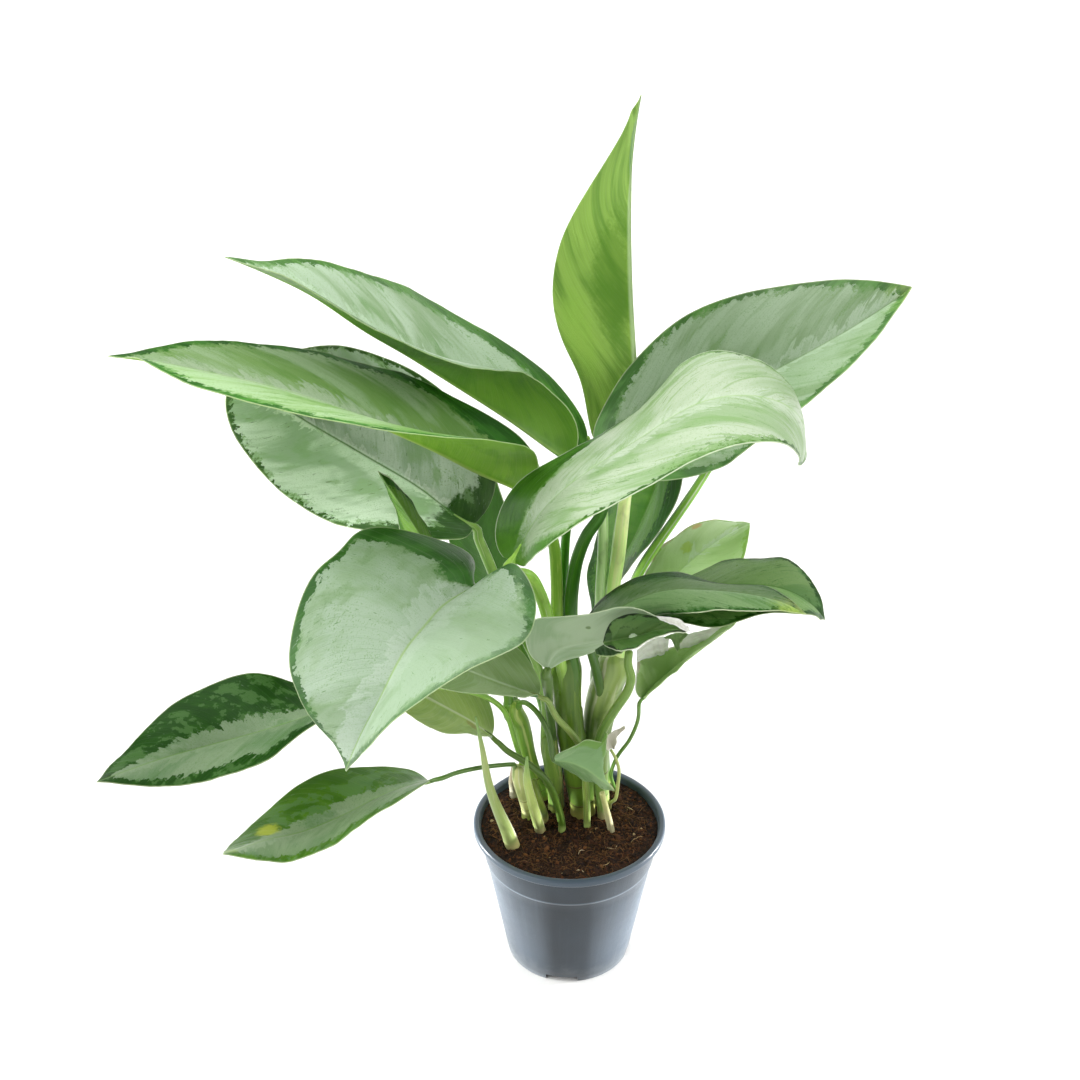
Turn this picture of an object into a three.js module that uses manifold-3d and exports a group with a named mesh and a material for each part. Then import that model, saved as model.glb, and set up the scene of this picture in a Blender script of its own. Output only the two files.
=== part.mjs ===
// Potted Chinese evergreen: nursery pot, potting mix, canes, petioles, leaf blades and sprouts.
// Millimetres, +Z up. Origin: centre of the pot's underside, on the surface it stands on.
// +X is to the right and -Y towards the front of the plant.
import * as THREE from 'three';
import { mergeVertices } from 'three/addons/utils/BufferGeometryUtils.js';
import Module from 'manifold-3d';

// ---- driving dimensions (mm) ----
const RIM_R = 60;            // outer radius of the rolled rim (12 cm pot)
const POT_H = 98.5;          // height of the pot
const BASE_R = 39.1;         // outer radius of the foot ring
const LIP_H = 4.5;           // depth of the rolled rim
const WALL = 1.3;            // wall thickness
const STEP_Z = 74.6;         // height of the moulded shoulder under the rim
const FOOT_H = 4.0;          // height of the foot ring under the pot floor
const PAD_R = 14;            // radius of the flat centre pad
const NOTCH_W = 20;          // width of the drainage notches in the foot ring
const NOTCH_H = 4.4;         // height of the drainage notches
const HOLE_R = 4;            // radius of the drainage holes in the floor
const SOIL_Z = 95.5;         // top of the potting mix
const GAP = 0.4;             // clearance between neighbouring pieces
const BLADE_T = 0.6;         // thickness of a leaf blade
const POT_SEGMENTS = 48;
const STEM_SIDES = 7;

const wasm = await Module();
wasm.setup();

const plant = new THREE.Group();

function finish(name, geometry, colour, roughness) {
  const mesh = new THREE.Mesh(
    geometry,
    new THREE.MeshStandardMaterial({ color: colour, roughness, metalness: 0 }),
  );
  mesh.name = name;
  plant.add(mesh);
  return mesh;
}

function toSolid(geometry) {
  const g = geometry.clone();
  g.deleteAttribute('normal');
  g.deleteAttribute('uv');
  const m = mergeVertices(g, 1e-4);
  return new wasm.Manifold(new wasm.Mesh({
    numProp: 3,
    vertProperties: new Float32Array(m.attributes.position.array),
    triVerts: new Uint32Array(m.index.array),
  }));
}

function toGeometry(solid) {
  const m = solid.getMesh();
  const g = new THREE.BufferGeometry();
  const pos = new Float32Array(m.numVert * 3);
  for (let i = 0; i < m.numVert; i++) {
    for (let k = 0; k < 3; k++) pos[3 * i + k] = m.vertProperties[i * m.numProp + k];
  }
  g.setAttribute('position', new THREE.BufferAttribute(pos, 3));
  g.setIndex(new THREE.BufferAttribute(new Uint32Array(m.triVerts), 1));
  g.computeVertexNormals();
  return g;
}

// a lathe profile given as [radius, height] is turned about +Z
function turned(profile, segments) {
  const g = new THREE.LatheGeometry(profile.map(([r, z]) => new THREE.Vector2(r, z)), segments);
  g.rotateX(Math.PI / 2);
  return g;
}

// ---- pot ----
const wallR = (z) => BASE_R + (z / POT_H) * 17.7;   // outer radius of the tapered wall
const shoulder = 0.7;                               // the wall steps out above STEP_Z
const potProfile = [
  [0, 0], [PAD_R, 0], [PAD_R + 1.2, FOOT_H], [BASE_R - 2.4, FOOT_H], [BASE_R - 1.8, 0],
  [BASE_R, 0], [wallR(STEP_Z), STEP_Z], [wallR(STEP_Z) + shoulder, STEP_Z + 0.8],
  [wallR(POT_H - LIP_H) + shoulder * 0.6, POT_H - LIP_H], [RIM_R - 0.6, POT_H - LIP_H],
  [RIM_R, POT_H - LIP_H + 0.8], [RIM_R, POT_H - 1.2], [RIM_R - 1.2, POT_H],
  [RIM_R - 3.2, POT_H], [RIM_R - 4.4, POT_H - 1.4], [wallR(STEP_Z) + shoulder - WALL, STEP_Z + 0.8],
  [wallR(STEP_Z) - WALL, STEP_Z - 0.6], [wallR(FOOT_H + 2.2) - WALL, FOOT_H + 2.2],
  [wallR(FOOT_H) - WALL - 1.2, FOOT_H + WALL], [PAD_R + 2.0, FOOT_H + WALL], [PAD_R - 0.6, WALL], [0, WALL],
];
let pot = toSolid(turned(potProfile, POT_SEGMENTS));
for (let i = 0; i < 4; i++) {
  const a = THREE.MathUtils.degToRad(-97 + 90 * i);
  const notch = new THREE.BoxGeometry(12, NOTCH_W, NOTCH_H * 2);
  notch.rotateZ(a);
  notch.translate(Math.cos(a) * BASE_R, Math.sin(a) * BASE_R, -NOTCH_H + NOTCH_H);
  pot = pot.subtract(toSolid(notch));
}
for (let i = 0; i < 8; i++) {
  const a = THREE.MathUtils.degToRad(-30 + 45 * i);
  const hole = new THREE.CylinderGeometry(HOLE_R, HOLE_R, 12, 12);
  hole.rotateX(Math.PI / 2);
  hole.translate(Math.cos(a) * 26, Math.sin(a) * 26, FOOT_H + 1);
  pot = pot.subtract(toSolid(hole));
}
finish('pot', toGeometry(pot), 0x4b555f, 0.45);

// ---- potting mix with its roots: fills the pot up to SOIL_Z ----
const soilR = (z) => wallR(z) - WALL - GAP - 0.2;
const soilProfile = [
  [0, FOOT_H + WALL + GAP + 0.2], [soilR(FOOT_H + 4) - 1.6, FOOT_H + WALL + GAP + 0.2],
  [soilR(FOOT_H + 4), FOOT_H + 4.4], [soilR(STEP_Z - 1), STEP_Z - 1],
  [soilR(STEP_Z + 2) + 0.3, STEP_Z + 2.4], [soilR(SOIL_Z) + 0.5, SOIL_Z], [0, SOIL_Z],
];
finish('soil', turned(soilProfile, 48), 0x3a2418, 0.95);

// ---- stems: each row is a centre-line point and radius, [x, y, z, r], from the base up ----
const STEMS = {
  cane_main: [[8.1,10.8,95.9,7.4], [8.1,10.8,98.9,7.4], [5.2,5.5,125,7.8], [-0.2,2.1,165.3,8.2], [-2.2,3.9,193.4,8.8], [-2.9,4,211.6,9.4], [-2.9,4,217.6,9.4]],
  cane_right: [[20.4,20,95.9,5], [20.4,20,98.9,5], [17.8,13.6,126.6,6.1], [16.7,11.4,154.9,8.2], [20.6,13.2,183.3,8.8], [26.1,14,203.7,9.2], [26.1,14,209.7,9.2]],
  cane_back: [[21.6,37.7,95.9,5], [21.6,37.7,98.9,5], [20,37.8,130,5.4], [19,40,165,6], [19.5,41.6,183,6.6], [19.5,41.6,189,6.6]],
  cane_left: [[-17.8,26.2,95.9,4.6], [-17.8,26.2,98.9,4.6], [-22.7,7.8,129.4,4.8], [-27,1.2,151,5], [-31.1,0.5,172.3,5.6], [-34.6,-0.6,180.2,6.4], [-34.6,-0.6,186.2,6.4]],
  cane_mid: [[-8.3,16.9,95.9,5], [-8.3,16.9,98.9,5], [-10.4,2.1,135.1,5.2], [-12.9,-2.1,156.3,5.4], [-12.9,-2.1,162.3,5.4]],
  cane_fore: [[-26.6,6.7,95.9,3.4], [-26.6,6.7,98.9,3.4], [-29.4,-10.3,127.8,3.4], [-31.7,-12.1,141.2,4.2], [-31.7,-12.1,147.2,4.2]],
  petiole_left_mid: [[-8.5,1.6,218,3.7], [-8.5,1.6,221,3.7], [-8.5,0,250.8,3.7], [-9.2,0,280.6,3.5], [-11,-3,300.1,3.3], [-16.7,-8,321.6,3], [-20.1,20.6,314.3,2.6], [-23.9,16.6,318.6,2.6]],
  petiole_right_back: [[0.5,0.6,218,4], [0.5,0.6,221,4], [-0.3,0,247.4,4], [0.2,0,265.8,3.9], [2.9,1,285.3,3.8], [8.4,1,301.8,3.6], [15.7,2,313.6,3.3], [19,5,325.5,3], [18.8,8,337.3,2.8], [18.2,3.5,350.6,2.6], [21,9.7,349.1,2.6]],
  petiole_left_top: [[-3.7,9.6,218,2.9], [-3.7,9.6,221,2.9], [-4.9,9.5,253.3,2.8], [-4.4,10,275.4,2.7], [-3.4,10,296.8,2.6], [-0.7,9,320.2,2.5], [1.4,10,332.5,2.4], [5.1,10,339.7,2.2], [2.1,12.5,340.6,2.2]],
  petiole_front_arch: [[-6.3,-5,218,3.3], [-6.3,-5,221,3.3], [-13.2,-11,250.8,3.6], [-18.4,-18,274,3.6], [-25.1,-27,291.8,3.3], [-36.9,-35.6,300.5,2.8], [-34.8,-36.4,305,2.8]],
  petiole_top_upright: [[29.3,13.5,210.1,4.2], [29.3,13.5,213.1,4.2], [25.5,13.5,238.3,4.2], [24.5,12.5,256.9,4.2], [27.5,13,286.4,4.2], [30,19,311.5,3.8], [32.5,29,323.9,3.2], [32.5,49.6,318.6,2.8], [33.5,49.9,324.6,2.8]],
  petiole_new_leaf: [[20.9,14.8,210.1,3.2], [20.9,14.8,213.1,3.2], [17.3,14.5,236.3,3.2], [17,13.5,252.2,3.2], [18.1,14,291.2,3.2], [17.2,17,315.9,3], [13.5,19,339.3,2.4], [8.7,20,354.7,0.8]],
  petiole_low_front: [[24.5,6.6,210.1,2.9], [24.5,6.6,213.1,2.9], [17,-9,222.1,2.7], [9.8,-7.5,239.4,2.4], [11.1,-10.7,243,2.4]],
  petiole_low_back: [[26.9,21.4,210.1,2.8], [26.9,21.4,213.1,2.8], [31.1,20.5,222.1,2.6], [34.8,15.1,238.3,2.2], [38.9,14.4,240.9,2.2]],
  petiole_back_right: [[23.1,42.8,189.4,3.1], [23.1,42.8,192.4,3.1], [26.2,45,202.7,3.1], [34.3,47,226.9,3.1], [41.2,48,247.6,3.1], [45.3,49,256.2,3.1], [54,51,270.4,3], [71.4,56,297.1,2.8], [80.1,60,310.5,2.6], [82.3,56.9,316.3,2.2], [83.1,59.7,315.6,2.2]],
  petiole_right_small: [[19.3,37.4,189.4,2.1], [19.3,37.4,192.4,2.1], [26,37.5,208,2.1], [36,42,222,2], [43.2,44.1,225.5,1.8], [46,45.3,228.1,1.8]],
  petiole_back_hanging: [[16.3,44.6,189.4,2.6], [16.3,44.6,192.4,2.6], [25,50,240,2.5], [29,53,280,2.4], [36,60,314,2.3], [46,68,333,2.2], [53,71,336,2], [56.6,69.4,325,1.9], [56.1,69.7,322.1,1.9]],
  petiole_front_heart: [[-37.2,-1.6,186.6,3], [-37.2,-1.6,189.6,3], [-39.6,2.4,214.6,2.8], [-44.5,2.6,250,2.8], [-44,-18,278,2.8], [-43,-42,295,2.7], [-45,-52.7,303.2,2.5], [-48.6,-56.2,303.5,2.5]],
  petiole_spear: [[-33.8,3.3,186.6,1.9], [-33.8,3.3,189.6,1.9], [-46,9,215,1.9], [-57,7,242,1.8], [-63,-4,262,1.8], [-66.6,-12.7,268.9,1.8], [-67.9,-14.9,273.3,1.8]],
  petiole_small_front: [[-31,-3.6,186.6,1.6], [-31,-3.6,189.6,1.6], [-26.1,-9.3,191.5,1.6], [-18.4,-15.5,187.9,1.6], [-13.1,-20.1,178.8,1.6], [-16.5,-22.4,160.4,1.5], [-13.5,-22.8,160.5,1.5]],
  petiole_left_wide: [[-15.6,-0.7,162.7,2.5], [-15.6,-0.7,165.7,2.5], [-15.4,-0.6,185.5,2.5], [-19.6,2,210.4,2.7], [-27.9,4,231.7,2.9], [-36,6,248.5,3], [-43.5,8,265.8,3.1], [-46.9,9,275.3,3.1], [-50.9,10.5,285.9,3], [-54.2,12,294.3,2.9], [-54.6,11.9,299.6,2.6], [-56.2,12.8,300.3,2.6]],
  petiole_center_curled: [[-10.7,-4.1,162.7,2.2], [-10.7,-4.1,165.7,2.2], [-13,-10.3,191.5,2.4], [-13.7,-18,206.8,2.8], [-14.4,-31,223.3,3.4], [-15,-46.3,239,3.2], [-14.9,-46.2,239.5,3.2]],
  petiole_low_left_1: [[-29.7,-10.5,147.6,1.5], [-29.7,-10.5,150.6,1.5], [-32.9,-11,163.6,1.5], [-38.6,-14.4,188.6,1.6], [-46.5,-22,203.8,1.7], [-61.6,-34,219,1.8], [-86.5,-46,229.9,1.8], [-111.4,-53,230.6,1.8], [-124.5,-55.3,228.1,1.6], [-128,-55.1,226.3,1.6]],
  petiole_under_2: [[-4.7,-6.2,95.9,2.4], [-4.7,-6.2,98.9,2.4], [-7.9,-7.1,116,2.4], [-14.8,-13.6,139.3,2.2], [-23.8,-17.7,152.9,2], [-38.8,-17,164.2,1.9], [-43,-16.3,168.8,1.7], [-45.3,-16.1,170.8,1.7]],
  petiole_back_left: [[-9,30.6,95.9,2.6], [-9,30.6,98.9,2.6], [-13,32.9,140,2.6], [-23,34.3,185,2.5], [-34,34,212,2.3], [-38,32.2,220.9,2], [-38.9,34.3,222.8,2]],
  petiole_low_left_2: [[-33.7,-13.5,147.6,1.6], [-33.7,-13.5,150.6,1.6], [-35.3,-17.7,154,1.6], [-40.5,-24.4,158.6,1.6], [-52.1,-35,164.9,1.6], [-67.3,-49.5,171.5,1.6], [-75.6,-62.6,177.1,1.7], [-79.4,-62.2,175.9,1.7]],
  petiole_under_1: [[11,-3.3,95.9,2.2], [11,-3.3,98.9,2.2], [9.9,-4.5,124.9,2.2], [6.3,-11.2,161.5,2.1], [0.2,-13.4,174.1,2], [-8.3,-16.5,187.2,2], [-16.6,-20,198.2,1.9], [-14.8,-25.3,206.4,1.7], [-17.5,-25.7,207.7,1.7]],
  petiole_right_lower: [[29.1,32.4,95.9,1.4], [29.1,32.4,98.9,1.4], [26.6,26.7,112.9,1.4], [29.8,19,132.7,1.4], [37.1,12.2,151.3,1.4], [41.4,8.3,168.3,1.4], [41.6,2.2,185.8,1.4], [42.6,3.9,186,1.4]],
  stalk_dry: [[20.6,5.7,95.9,2.9], [20.6,5.7,98.9,2.9], [18.7,-1.7,122.7,2.9], [16.4,-3.1,146.6,3], [19.1,-2.8,167.3,3], [26.1,-1.9,182,3], [33.7,-1,195.2,2.9], [35.8,-1,205.3,2.7], [33.8,-1,215.2,2.6], [34.2,-1,223.7,2.4]],
  stalk_loop: [[25.9,14.9,95.9,1], [25.9,14.9,98.9,1], [28.7,-2,117.5,1.1], [29.7,-2.3,128.5,1.1], [30,-2.6,138.7,1.1], [27.4,-3,148.8,1], [24.8,-2.7,153.8,0.9]],
  dry_remnant: [[24.4,-6.5,156.9,2], [24.3,-6.7,161.9,3.3], [25.7,-6.3,166.8,3], [28.6,-6.6,170.7,2], [32.5,-6.4,173.9,0.7]],
  stub_pale: [[25.8,-6.2,95.9,2.2], [25.8,-6.2,98.9,2.2], [22.4,-7.3,113.1,1.9], [19.7,-8.5,125.6,1.7]],
  sprout_front: [[-35.7,-20.9,95.9,4.6], [-35.7,-20.9,98.9,4.6], [-39.7,-27.1,115.6,3.9], [-46.3,-37,148.1,2.6], [-51.6,-45,179.6,1.6], [-54.8,-52,212.1,0.6]],
  sprout_mid: [[-18.4,-6.2,95.9,4.2], [-18.4,-6.2,98.9,4.2], [-22.6,-22.4,126.4,3.9], [-26.2,-29.8,152.3,2.9], [-26.1,-33.6,171.2,0.7]],
  sprout_behind: [[-15.9,3.7,95.9,3], [-15.9,3.7,98.9,3], [-18.4,-8,117.5,3], [-22.1,-7.9,135,1.6]],
  sprout_pale_back: [[-35,29.3,95.9,2.9], [-35,29.3,98.9,2.9], [-35.4,20.7,113.5,2.8], [-34.1,17.6,126.7,2.2]],
};

// a round stem of changing radius along a smooth centre line, closed at both ends
function stemGeometry(rows) {
  const curve = new THREE.CatmullRomCurve3(
    rows.map(([x, y, z]) => new THREE.Vector3(x, y, z)), false, 'centripetal',
  );
  const steps = Math.max(6, Math.min(22, Math.round(curve.getLength() / 11)));
  const lengths = [0];
  for (let i = 1; i < rows.length; i++) {
    const [a, b] = [rows[i - 1], rows[i]];
    lengths.push(lengths[i - 1] + Math.hypot(b[0] - a[0], b[1] - a[1], b[2] - a[2]));
  }
  const radiusAt = (u) => {
    const s = u * lengths[lengths.length - 1];
    let i = 1;
    while (i < lengths.length - 1 && lengths[i] < s) i++;
    const t = (s - lengths[i - 1]) / (lengths[i] - lengths[i - 1]);
    return THREE.MathUtils.lerp(rows[i - 1][3], rows[i][3], THREE.MathUtils.clamp(t, 0, 1));
  };
  const section = new THREE.Shape();
  for (let k = 0; k < STEM_SIDES; k++) {
    const a = (2 * Math.PI * k) / STEM_SIDES;
    if (k === 0) section.moveTo(Math.cos(a), Math.sin(a));
    else section.lineTo(Math.cos(a), Math.sin(a));
  }
  section.closePath();
  const g = new THREE.ExtrudeGeometry(section, { steps, extrudePath: curve, bevelEnabled: false });
  // the unit section is swept, then each ring is scaled to the local radius
  const centres = [];
  for (let i = 0; i <= steps; i++) centres.push(curve.getPointAt(i / steps));
  const p = g.attributes.position;
  const v = new THREE.Vector3();
  for (let j = 0; j < p.count; j++) {
    v.fromBufferAttribute(p, j);
    let best = 0;
    let dist = Infinity;
    for (let i = 0; i <= steps; i++) {
      const d = Math.abs(v.distanceTo(centres[i]) - 1);
      if (d < dist) { dist = d; best = i; }
    }
    v.sub(centres[best]).multiplyScalar(radiusAt(best / steps)).add(centres[best]);
    p.setXYZ(j, v.x, v.y, v.z);
  }
  return toGeometry(toSolid(g));
}

const stemColour = (name) => (name.startsWith('cane') ? 0x6f9a3c : name.startsWith('sprout') ? 0x9fbf5e : 0x8fb84f);
for (const [name, rows] of Object.entries(STEMS)) {
  finish(name, stemGeometry(rows), stemColour(name), 0.5);
}

// ---- leaf blades: each row runs across the blade, [left edge, midrib, right edge], from base to tip ----
const LEAVES = {
  leaf_top_upright: [
    [[33.2,53.7,326.4], [33.9,49.9,326.9], [30.1,51.3,327.5]],
    [[27.2,67.7,331.8], [36.6,50.5,343], [11.7,54.7,340.3]],
    [[23.3,76.7,343.3], [37.7,52.2,359.8], [5.9,59.6,367.9]],
    [[21.8,84.7,351.8], [36.7,56.2,378], [-3.3,63,389.5]],
    [[13.1,96.1,383.4], [35,61,399.9], [-9.5,66.5,407.3]],
    [[9.7,100.8,422.3], [33.5,62.8,421.8], [-11.2,69.3,425.5]],
    [[15.6,99.7,456.7], [32.4,62.1,444.6], [-8.4,71.8,445.7]],
    [[23.2,93.9,482.2], [31.6,61.2,468.7], [2.6,73.3,472]],
    [[28.3,85.1,503.2], [31.4,61.6,492.9], [25.8,70.8,512.6]],
    [[31.5,76.3,519.5], [32.7,62.5,513.6], [31.6,67.2,527.8]],
    [[35.9,65.3,536.9], [35.8,63.8,537.3], [35.8,63.8,537.3]],
  ],
  leaf_right_back: [
    [[17.6,12.3,349.7], [22,11.8,348.6], [23.4,9.4,345.7]],
    [[11.8,25,354.8], [26.9,22.4,346], [32,11.9,334.7]],
    [[18.4,38.5,366.2], [34.3,34.4,344.2], [47.7,15.3,328.8]],
    [[30.8,49.8,383], [47.3,47.4,345.3], [68.6,15.8,331.8]],
    [[51.3,61,400.7], [69.5,57.5,352.4], [86.2,8.4,343.3]],
    [[71.9,70.2,411.6], [92.4,57.9,364.7], [98.4,6.7,354.2]],
    [[99,71.3,421.4], [113.8,52.3,379.7], [116.5,5,370.8]],
    [[126.6,65.6,428.8], [134.6,45.5,395.7], [139.3,6.3,390.9]],
    [[150,56.8,434.6], [154.1,41.2,410.5], [158.8,13.2,410.8]],
    [[168.6,49.4,437], [170.2,40.1,422.7], [173.3,24.1,424.5]],
    [[187.2,42,436.4], [187.5,41.3,436.4], [187.2,40.1,436.9]],
  ],
  leaf_front_arch: [
    [[-38.7,-34.7,308], [-33.8,-36.8,307.2], [-29.9,-37.7,304.4]],
    [[-42.1,-27.9,324.8], [-27.4,-39.4,321.2], [-25.9,-51.2,312.8]],
    [[-30.7,-18.8,344.6], [-19.6,-43.2,337.6], [-22.3,-66.1,326.2]],
    [[-2.9,-13.8,363.1], [-7.2,-50.1,356.7], [-14,-85.8,344.6]],
    [[28.9,-13,382.5], [13.3,-59.6,378.8], [4.2,-108,371.6]],
    [[46.8,-17.6,405.3], [36.5,-66,398.7], [36.8,-115,394.3]],
    [[68.4,-24.1,424.9], [61.1,-68.7,416.6], [68.6,-112.8,412.8]],
    [[95.8,-32.8,424.4], [89.5,-69.8,421.5], [98.2,-104.2,412.5]],
    [[113.7,-40.4,410], [111.4,-66.5,410.8], [112.2,-88.5,396.2]],
    [[119.2,-45.9,390.4], [118.3,-60.2,392.7], [115,-71.7,383.1]],
    [[119.1,-48.6,371.7], [118.8,-49.6,372], [118.5,-50.3,372.1]],
  ],
  leaf_left_top: [
    [[0.9,12.2,344.5], [0.3,14,341.2], [2.2,16.7,342.6]],
    [[1.3,14,366.1], [-11.4,23.7,344.7], [9.1,40,345]],
    [[-9.7,18.5,380.7], [-24.6,34.3,350.1], [2.7,59.8,354.8]],
    [[-22.7,19.3,391.4], [-42.5,42.9,359.5], [-21.4,79.2,374.2]],
    [[-32.8,13,398.2], [-65.6,40.3,377], [-61.6,80,402.1]],
    [[-44.5,-3.2,407.4], [-81.8,23.7,396.4], [-90,56.6,428.2]],
    [[-68,-28.6,423.2], [-95.5,3.2,415.5], [-106.3,29.9,446.1]],
    [[-102.6,-44,446.7], [-113.3,-12.9,434.8], [-120.1,10.7,459]],
    [[-136.2,-39,466.4], [-134.3,-17.8,453.1], [-139.4,1,468]],
    [[-160.5,-27.4,472.7], [-155.3,-16.5,464.3], [-159.9,-4.9,470.2]],
    [[-181.2,-13.1,474.3], [-181.2,-12.3,473.9], [-181.5,-11.2,473.6]],
  ],
  leaf_left_mid: [
    [[-24.7,12.7,322.4], [-25.2,15.2,320.1], [-23.2,17.9,321.2]],
    [[-21.2,1.8,333.8], [-32.6,7.5,328.4], [-17.8,14.8,333.9]],
    [[-18.8,-9.3,345.6], [-42.3,-2.2,338.5], [-29.6,15.1,356.6]],
    [[-21.2,-25.3,366.8], [-55.4,-15.7,352.2], [-55.8,14.5,375.6]],
    [[-34.6,-58.5,389.5], [-73.5,-33.1,372], [-85.2,9.1,394.8]],
    [[-71.8,-87.2,406.8], [-95.8,-47.3,390.9], [-108,-4.1,410.1]],
    [[-118.2,-97.7,421.5], [-122.7,-55.2,408.1], [-134.9,-14.7,421.8]],
    [[-162.1,-93,429.7], [-153.4,-58.2,420.7], [-165.1,-25.2,430.8]],
    [[-195.1,-80.7,435.1], [-183.3,-58,428.3], [-192.9,-34.9,436.1]],
    [[-216.2,-68.1,439], [-208.4,-56.4,433.3], [-215,-43.3,436.3]],
    [[-237.1,-55.9,437.4], [-237.2,-54.9,437], [-237.6,-53.8,436.5]],
  ],
  leaf_left_wide: [
    [[-57.4,9.8,300.2], [-58.2,13.9,301.1], [-55.7,17.4,300.8]],
    [[-74.1,-8.9,304.8], [-68,19.5,305.1], [-45.8,37.7,309.3]],
    [[-93.8,-11.7,308.3], [-78.8,26.4,310.5], [-46.1,48.2,325.5]],
    [[-114.7,-8.6,309.3], [-93,34.7,317.6], [-60.2,59.1,348.7]],
    [[-135.5,-2.9,311.4], [-113.7,42.5,327.1], [-85.7,67.6,369.8]],
    [[-152.4,1.3,319.1], [-133.9,45.5,339], [-111,69.5,383]],
    [[-166.5,2.4,331.7], [-151.9,41.9,353.1], [-132.7,60.2,393.4]],
    [[-179.2,1.9,348.8], [-165.6,32.1,368.9], [-146,40.2,401.4]],
    [[-188.1,-0.5,368.4], [-174.7,18.9,383.3], [-158.9,21.2,406.2]],
    [[-190.3,-4,386.1], [-180.4,6.3,394.4], [-171.2,6.9,408.1]],
    [[-185.8,-9.4,405.2], [-185.5,-8.7,406.3], [-184.3,-8.9,407.1]],
  ],
  leaf_front_heart: [
    [[-47.1,-59.8,304.3], [-50.3,-57.8,303.7], [-51.9,-54,301.6]],
    [[-30.6,-67,321.6], [-57,-64.3,304.4], [-55.1,-32.8,305.7]],
    [[-21.4,-80.2,312.1], [-64.1,-72.7,304.6], [-75.4,-35,320.8]],
    [[-21.1,-95.6,305], [-71.9,-85.2,304.8], [-109.3,-55.8,337.4]],
    [[-25.3,-118.9,308.2], [-78.7,-103.7,305.6], [-122.4,-83.5,339.9]],
    [[-35.1,-142.5,315.1], [-85.4,-122,306], [-136.3,-107.7,334.7]],
    [[-55.2,-168.8,319.1], [-91.7,-139,302.3], [-145.3,-131.8,307.9]],
    [[-86.6,-187.8,308], [-98.3,-151.7,293], [-140.8,-142.7,290.9]],
    [[-101.9,-182.6,287], [-105.8,-156,279.5], [-133.5,-145.1,276.2]],
    [[-108.5,-168.6,270.3], [-111.6,-154.7,265.6], [-125.2,-144.4,263.6]],
    [[-117.6,-151,248.5], [-117.7,-150.2,247.9], [-118.1,-148.8,247.8]],
  ],
  leaf_low_left_1: [
    [[-129.8,-57.4,226.8], [-130.1,-55,225.2], [-130.4,-52.8,223.6]],
    [[-137.2,-72.2,226.7], [-139.3,-54.5,220.4], [-132.3,-38.7,213.9]],
    [[-150,-79.1,221.4], [-149.8,-53.6,214.9], [-141.2,-29,212.4]],
    [[-165.1,-83.3,209.9], [-162.9,-51.8,208.3], [-159.7,-21.8,215]],
    [[-183.8,-82.6,198.7], [-180.1,-49,200.1], [-185.3,-20.7,221.3]],
    [[-199.1,-80.7,190.5], [-197.6,-47.7,193.5], [-208.3,-23.4,216.5]],
    [[-212.4,-79.7,186.3], [-215.3,-49.7,189.1], [-230,-28,206.8]],
    [[-226,-80.3,184.8], [-232,-56,187.6], [-248.4,-38.5,194.6]],
    [[-239.2,-82,187.4], [-245.6,-65.2,188.1], [-259.5,-54.3,187.5]],
    [[-251.2,-83.8,189.8], [-255.6,-74.3,189.5], [-264.2,-68.7,187.6]],
    [[-265.4,-85.8,192.3], [-266,-85.1,191.8], [-266.3,-84.3,191.2]],
  ],
  leaf_low_left_2: [
    [[-81.4,-64.1,176.7], [-81.6,-62,175.1], [-81.7,-60,173.6]],
    [[-88.8,-75.6,179.6], [-90.6,-61.1,172.1], [-84.1,-47.7,165.4]],
    [[-99.2,-82,176.5], [-100.6,-60.4,168.1], [-93.9,-38.3,164.7]],
    [[-111.8,-87.2,170], [-112.7,-60.5,162], [-112.5,-33.1,163.2]],
    [[-125.3,-91.5,161.2], [-128,-62.7,153.7], [-137.3,-35.3,163.1]],
    [[-136,-95.5,153.6], [-143.5,-67.4,148.4], [-159,-43.7,159.5]],
    [[-147.8,-99.5,151.2], [-158.1,-75.1,147.5], [-177,-56.4,151.6]],
    [[-159.8,-104.4,151.4], [-170.8,-84.9,151.6], [-189.4,-74.6,147.4]],
    [[-170.8,-109.5,155.6], [-180.1,-96.3,156.6], [-194.4,-92.2,151.2]],
    [[-180.6,-113.9,160.8], [-186.4,-106.5,161.5], [-194.5,-104.9,158]],
    [[-191.8,-118.7,167.9], [-192.6,-118.2,167.6], [-192.7,-117.7,167.3]],
  ],
  leaf_spear: [
    [[-69.6,-14.5,275.4], [-68.5,-15.9,275.4], [-68.7,-14.2,275]],
    [[-76.6,-11.2,279.4], [-70,-18.5,280.4], [-69.6,-8.7,281.6]],
    [[-81.9,-11.9,284.6], [-71.8,-21.3,286.4], [-72.4,-7.8,289.2]],
    [[-86.6,-13.8,293], [-74.2,-24.8,294.1], [-76.5,-8.9,298.4]],
    [[-91.1,-17.1,304.1], [-77.8,-28.9,304.5], [-80.7,-12.1,309.9]],
    [[-94.7,-20.4,315], [-81.7,-32.3,315], [-83.6,-15.8,321]],
    [[-96.7,-23.1,326.1], [-86,-34.9,325.5], [-86.8,-20.1,331.6]],
    [[-99.1,-26.5,336.9], [-90.9,-36.7,336.1], [-91,-24.7,341.4]],
    [[-101.6,-30.3,346.3], [-95.9,-37.7,345.9], [-95.9,-29.4,349.7]],
    [[-103.3,-33.9,354], [-100.3,-38.2,353.9], [-100.2,-33.7,356.1]],
    [[-105.1,-37.9,362.8], [-105,-38.5,362.9], [-105,-38.3,363]],
  ],
  leaf_under_heart_1: [
    [[-19.6,-28.3,210.3], [-19.6,-26,208.7], [-19,-23.1,208.5]],
    [[-19.5,-41.9,219.6], [-25.6,-26.8,211.6], [-20.5,-8.6,213.8]],
    [[-19.7,-48.9,224.4], [-32.4,-28,215.1], [-27.5,-2.3,223.1]],
    [[-23.4,-55.3,228.9], [-40.5,-30.2,220.2], [-40.1,-0.4,231.6]],
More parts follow.
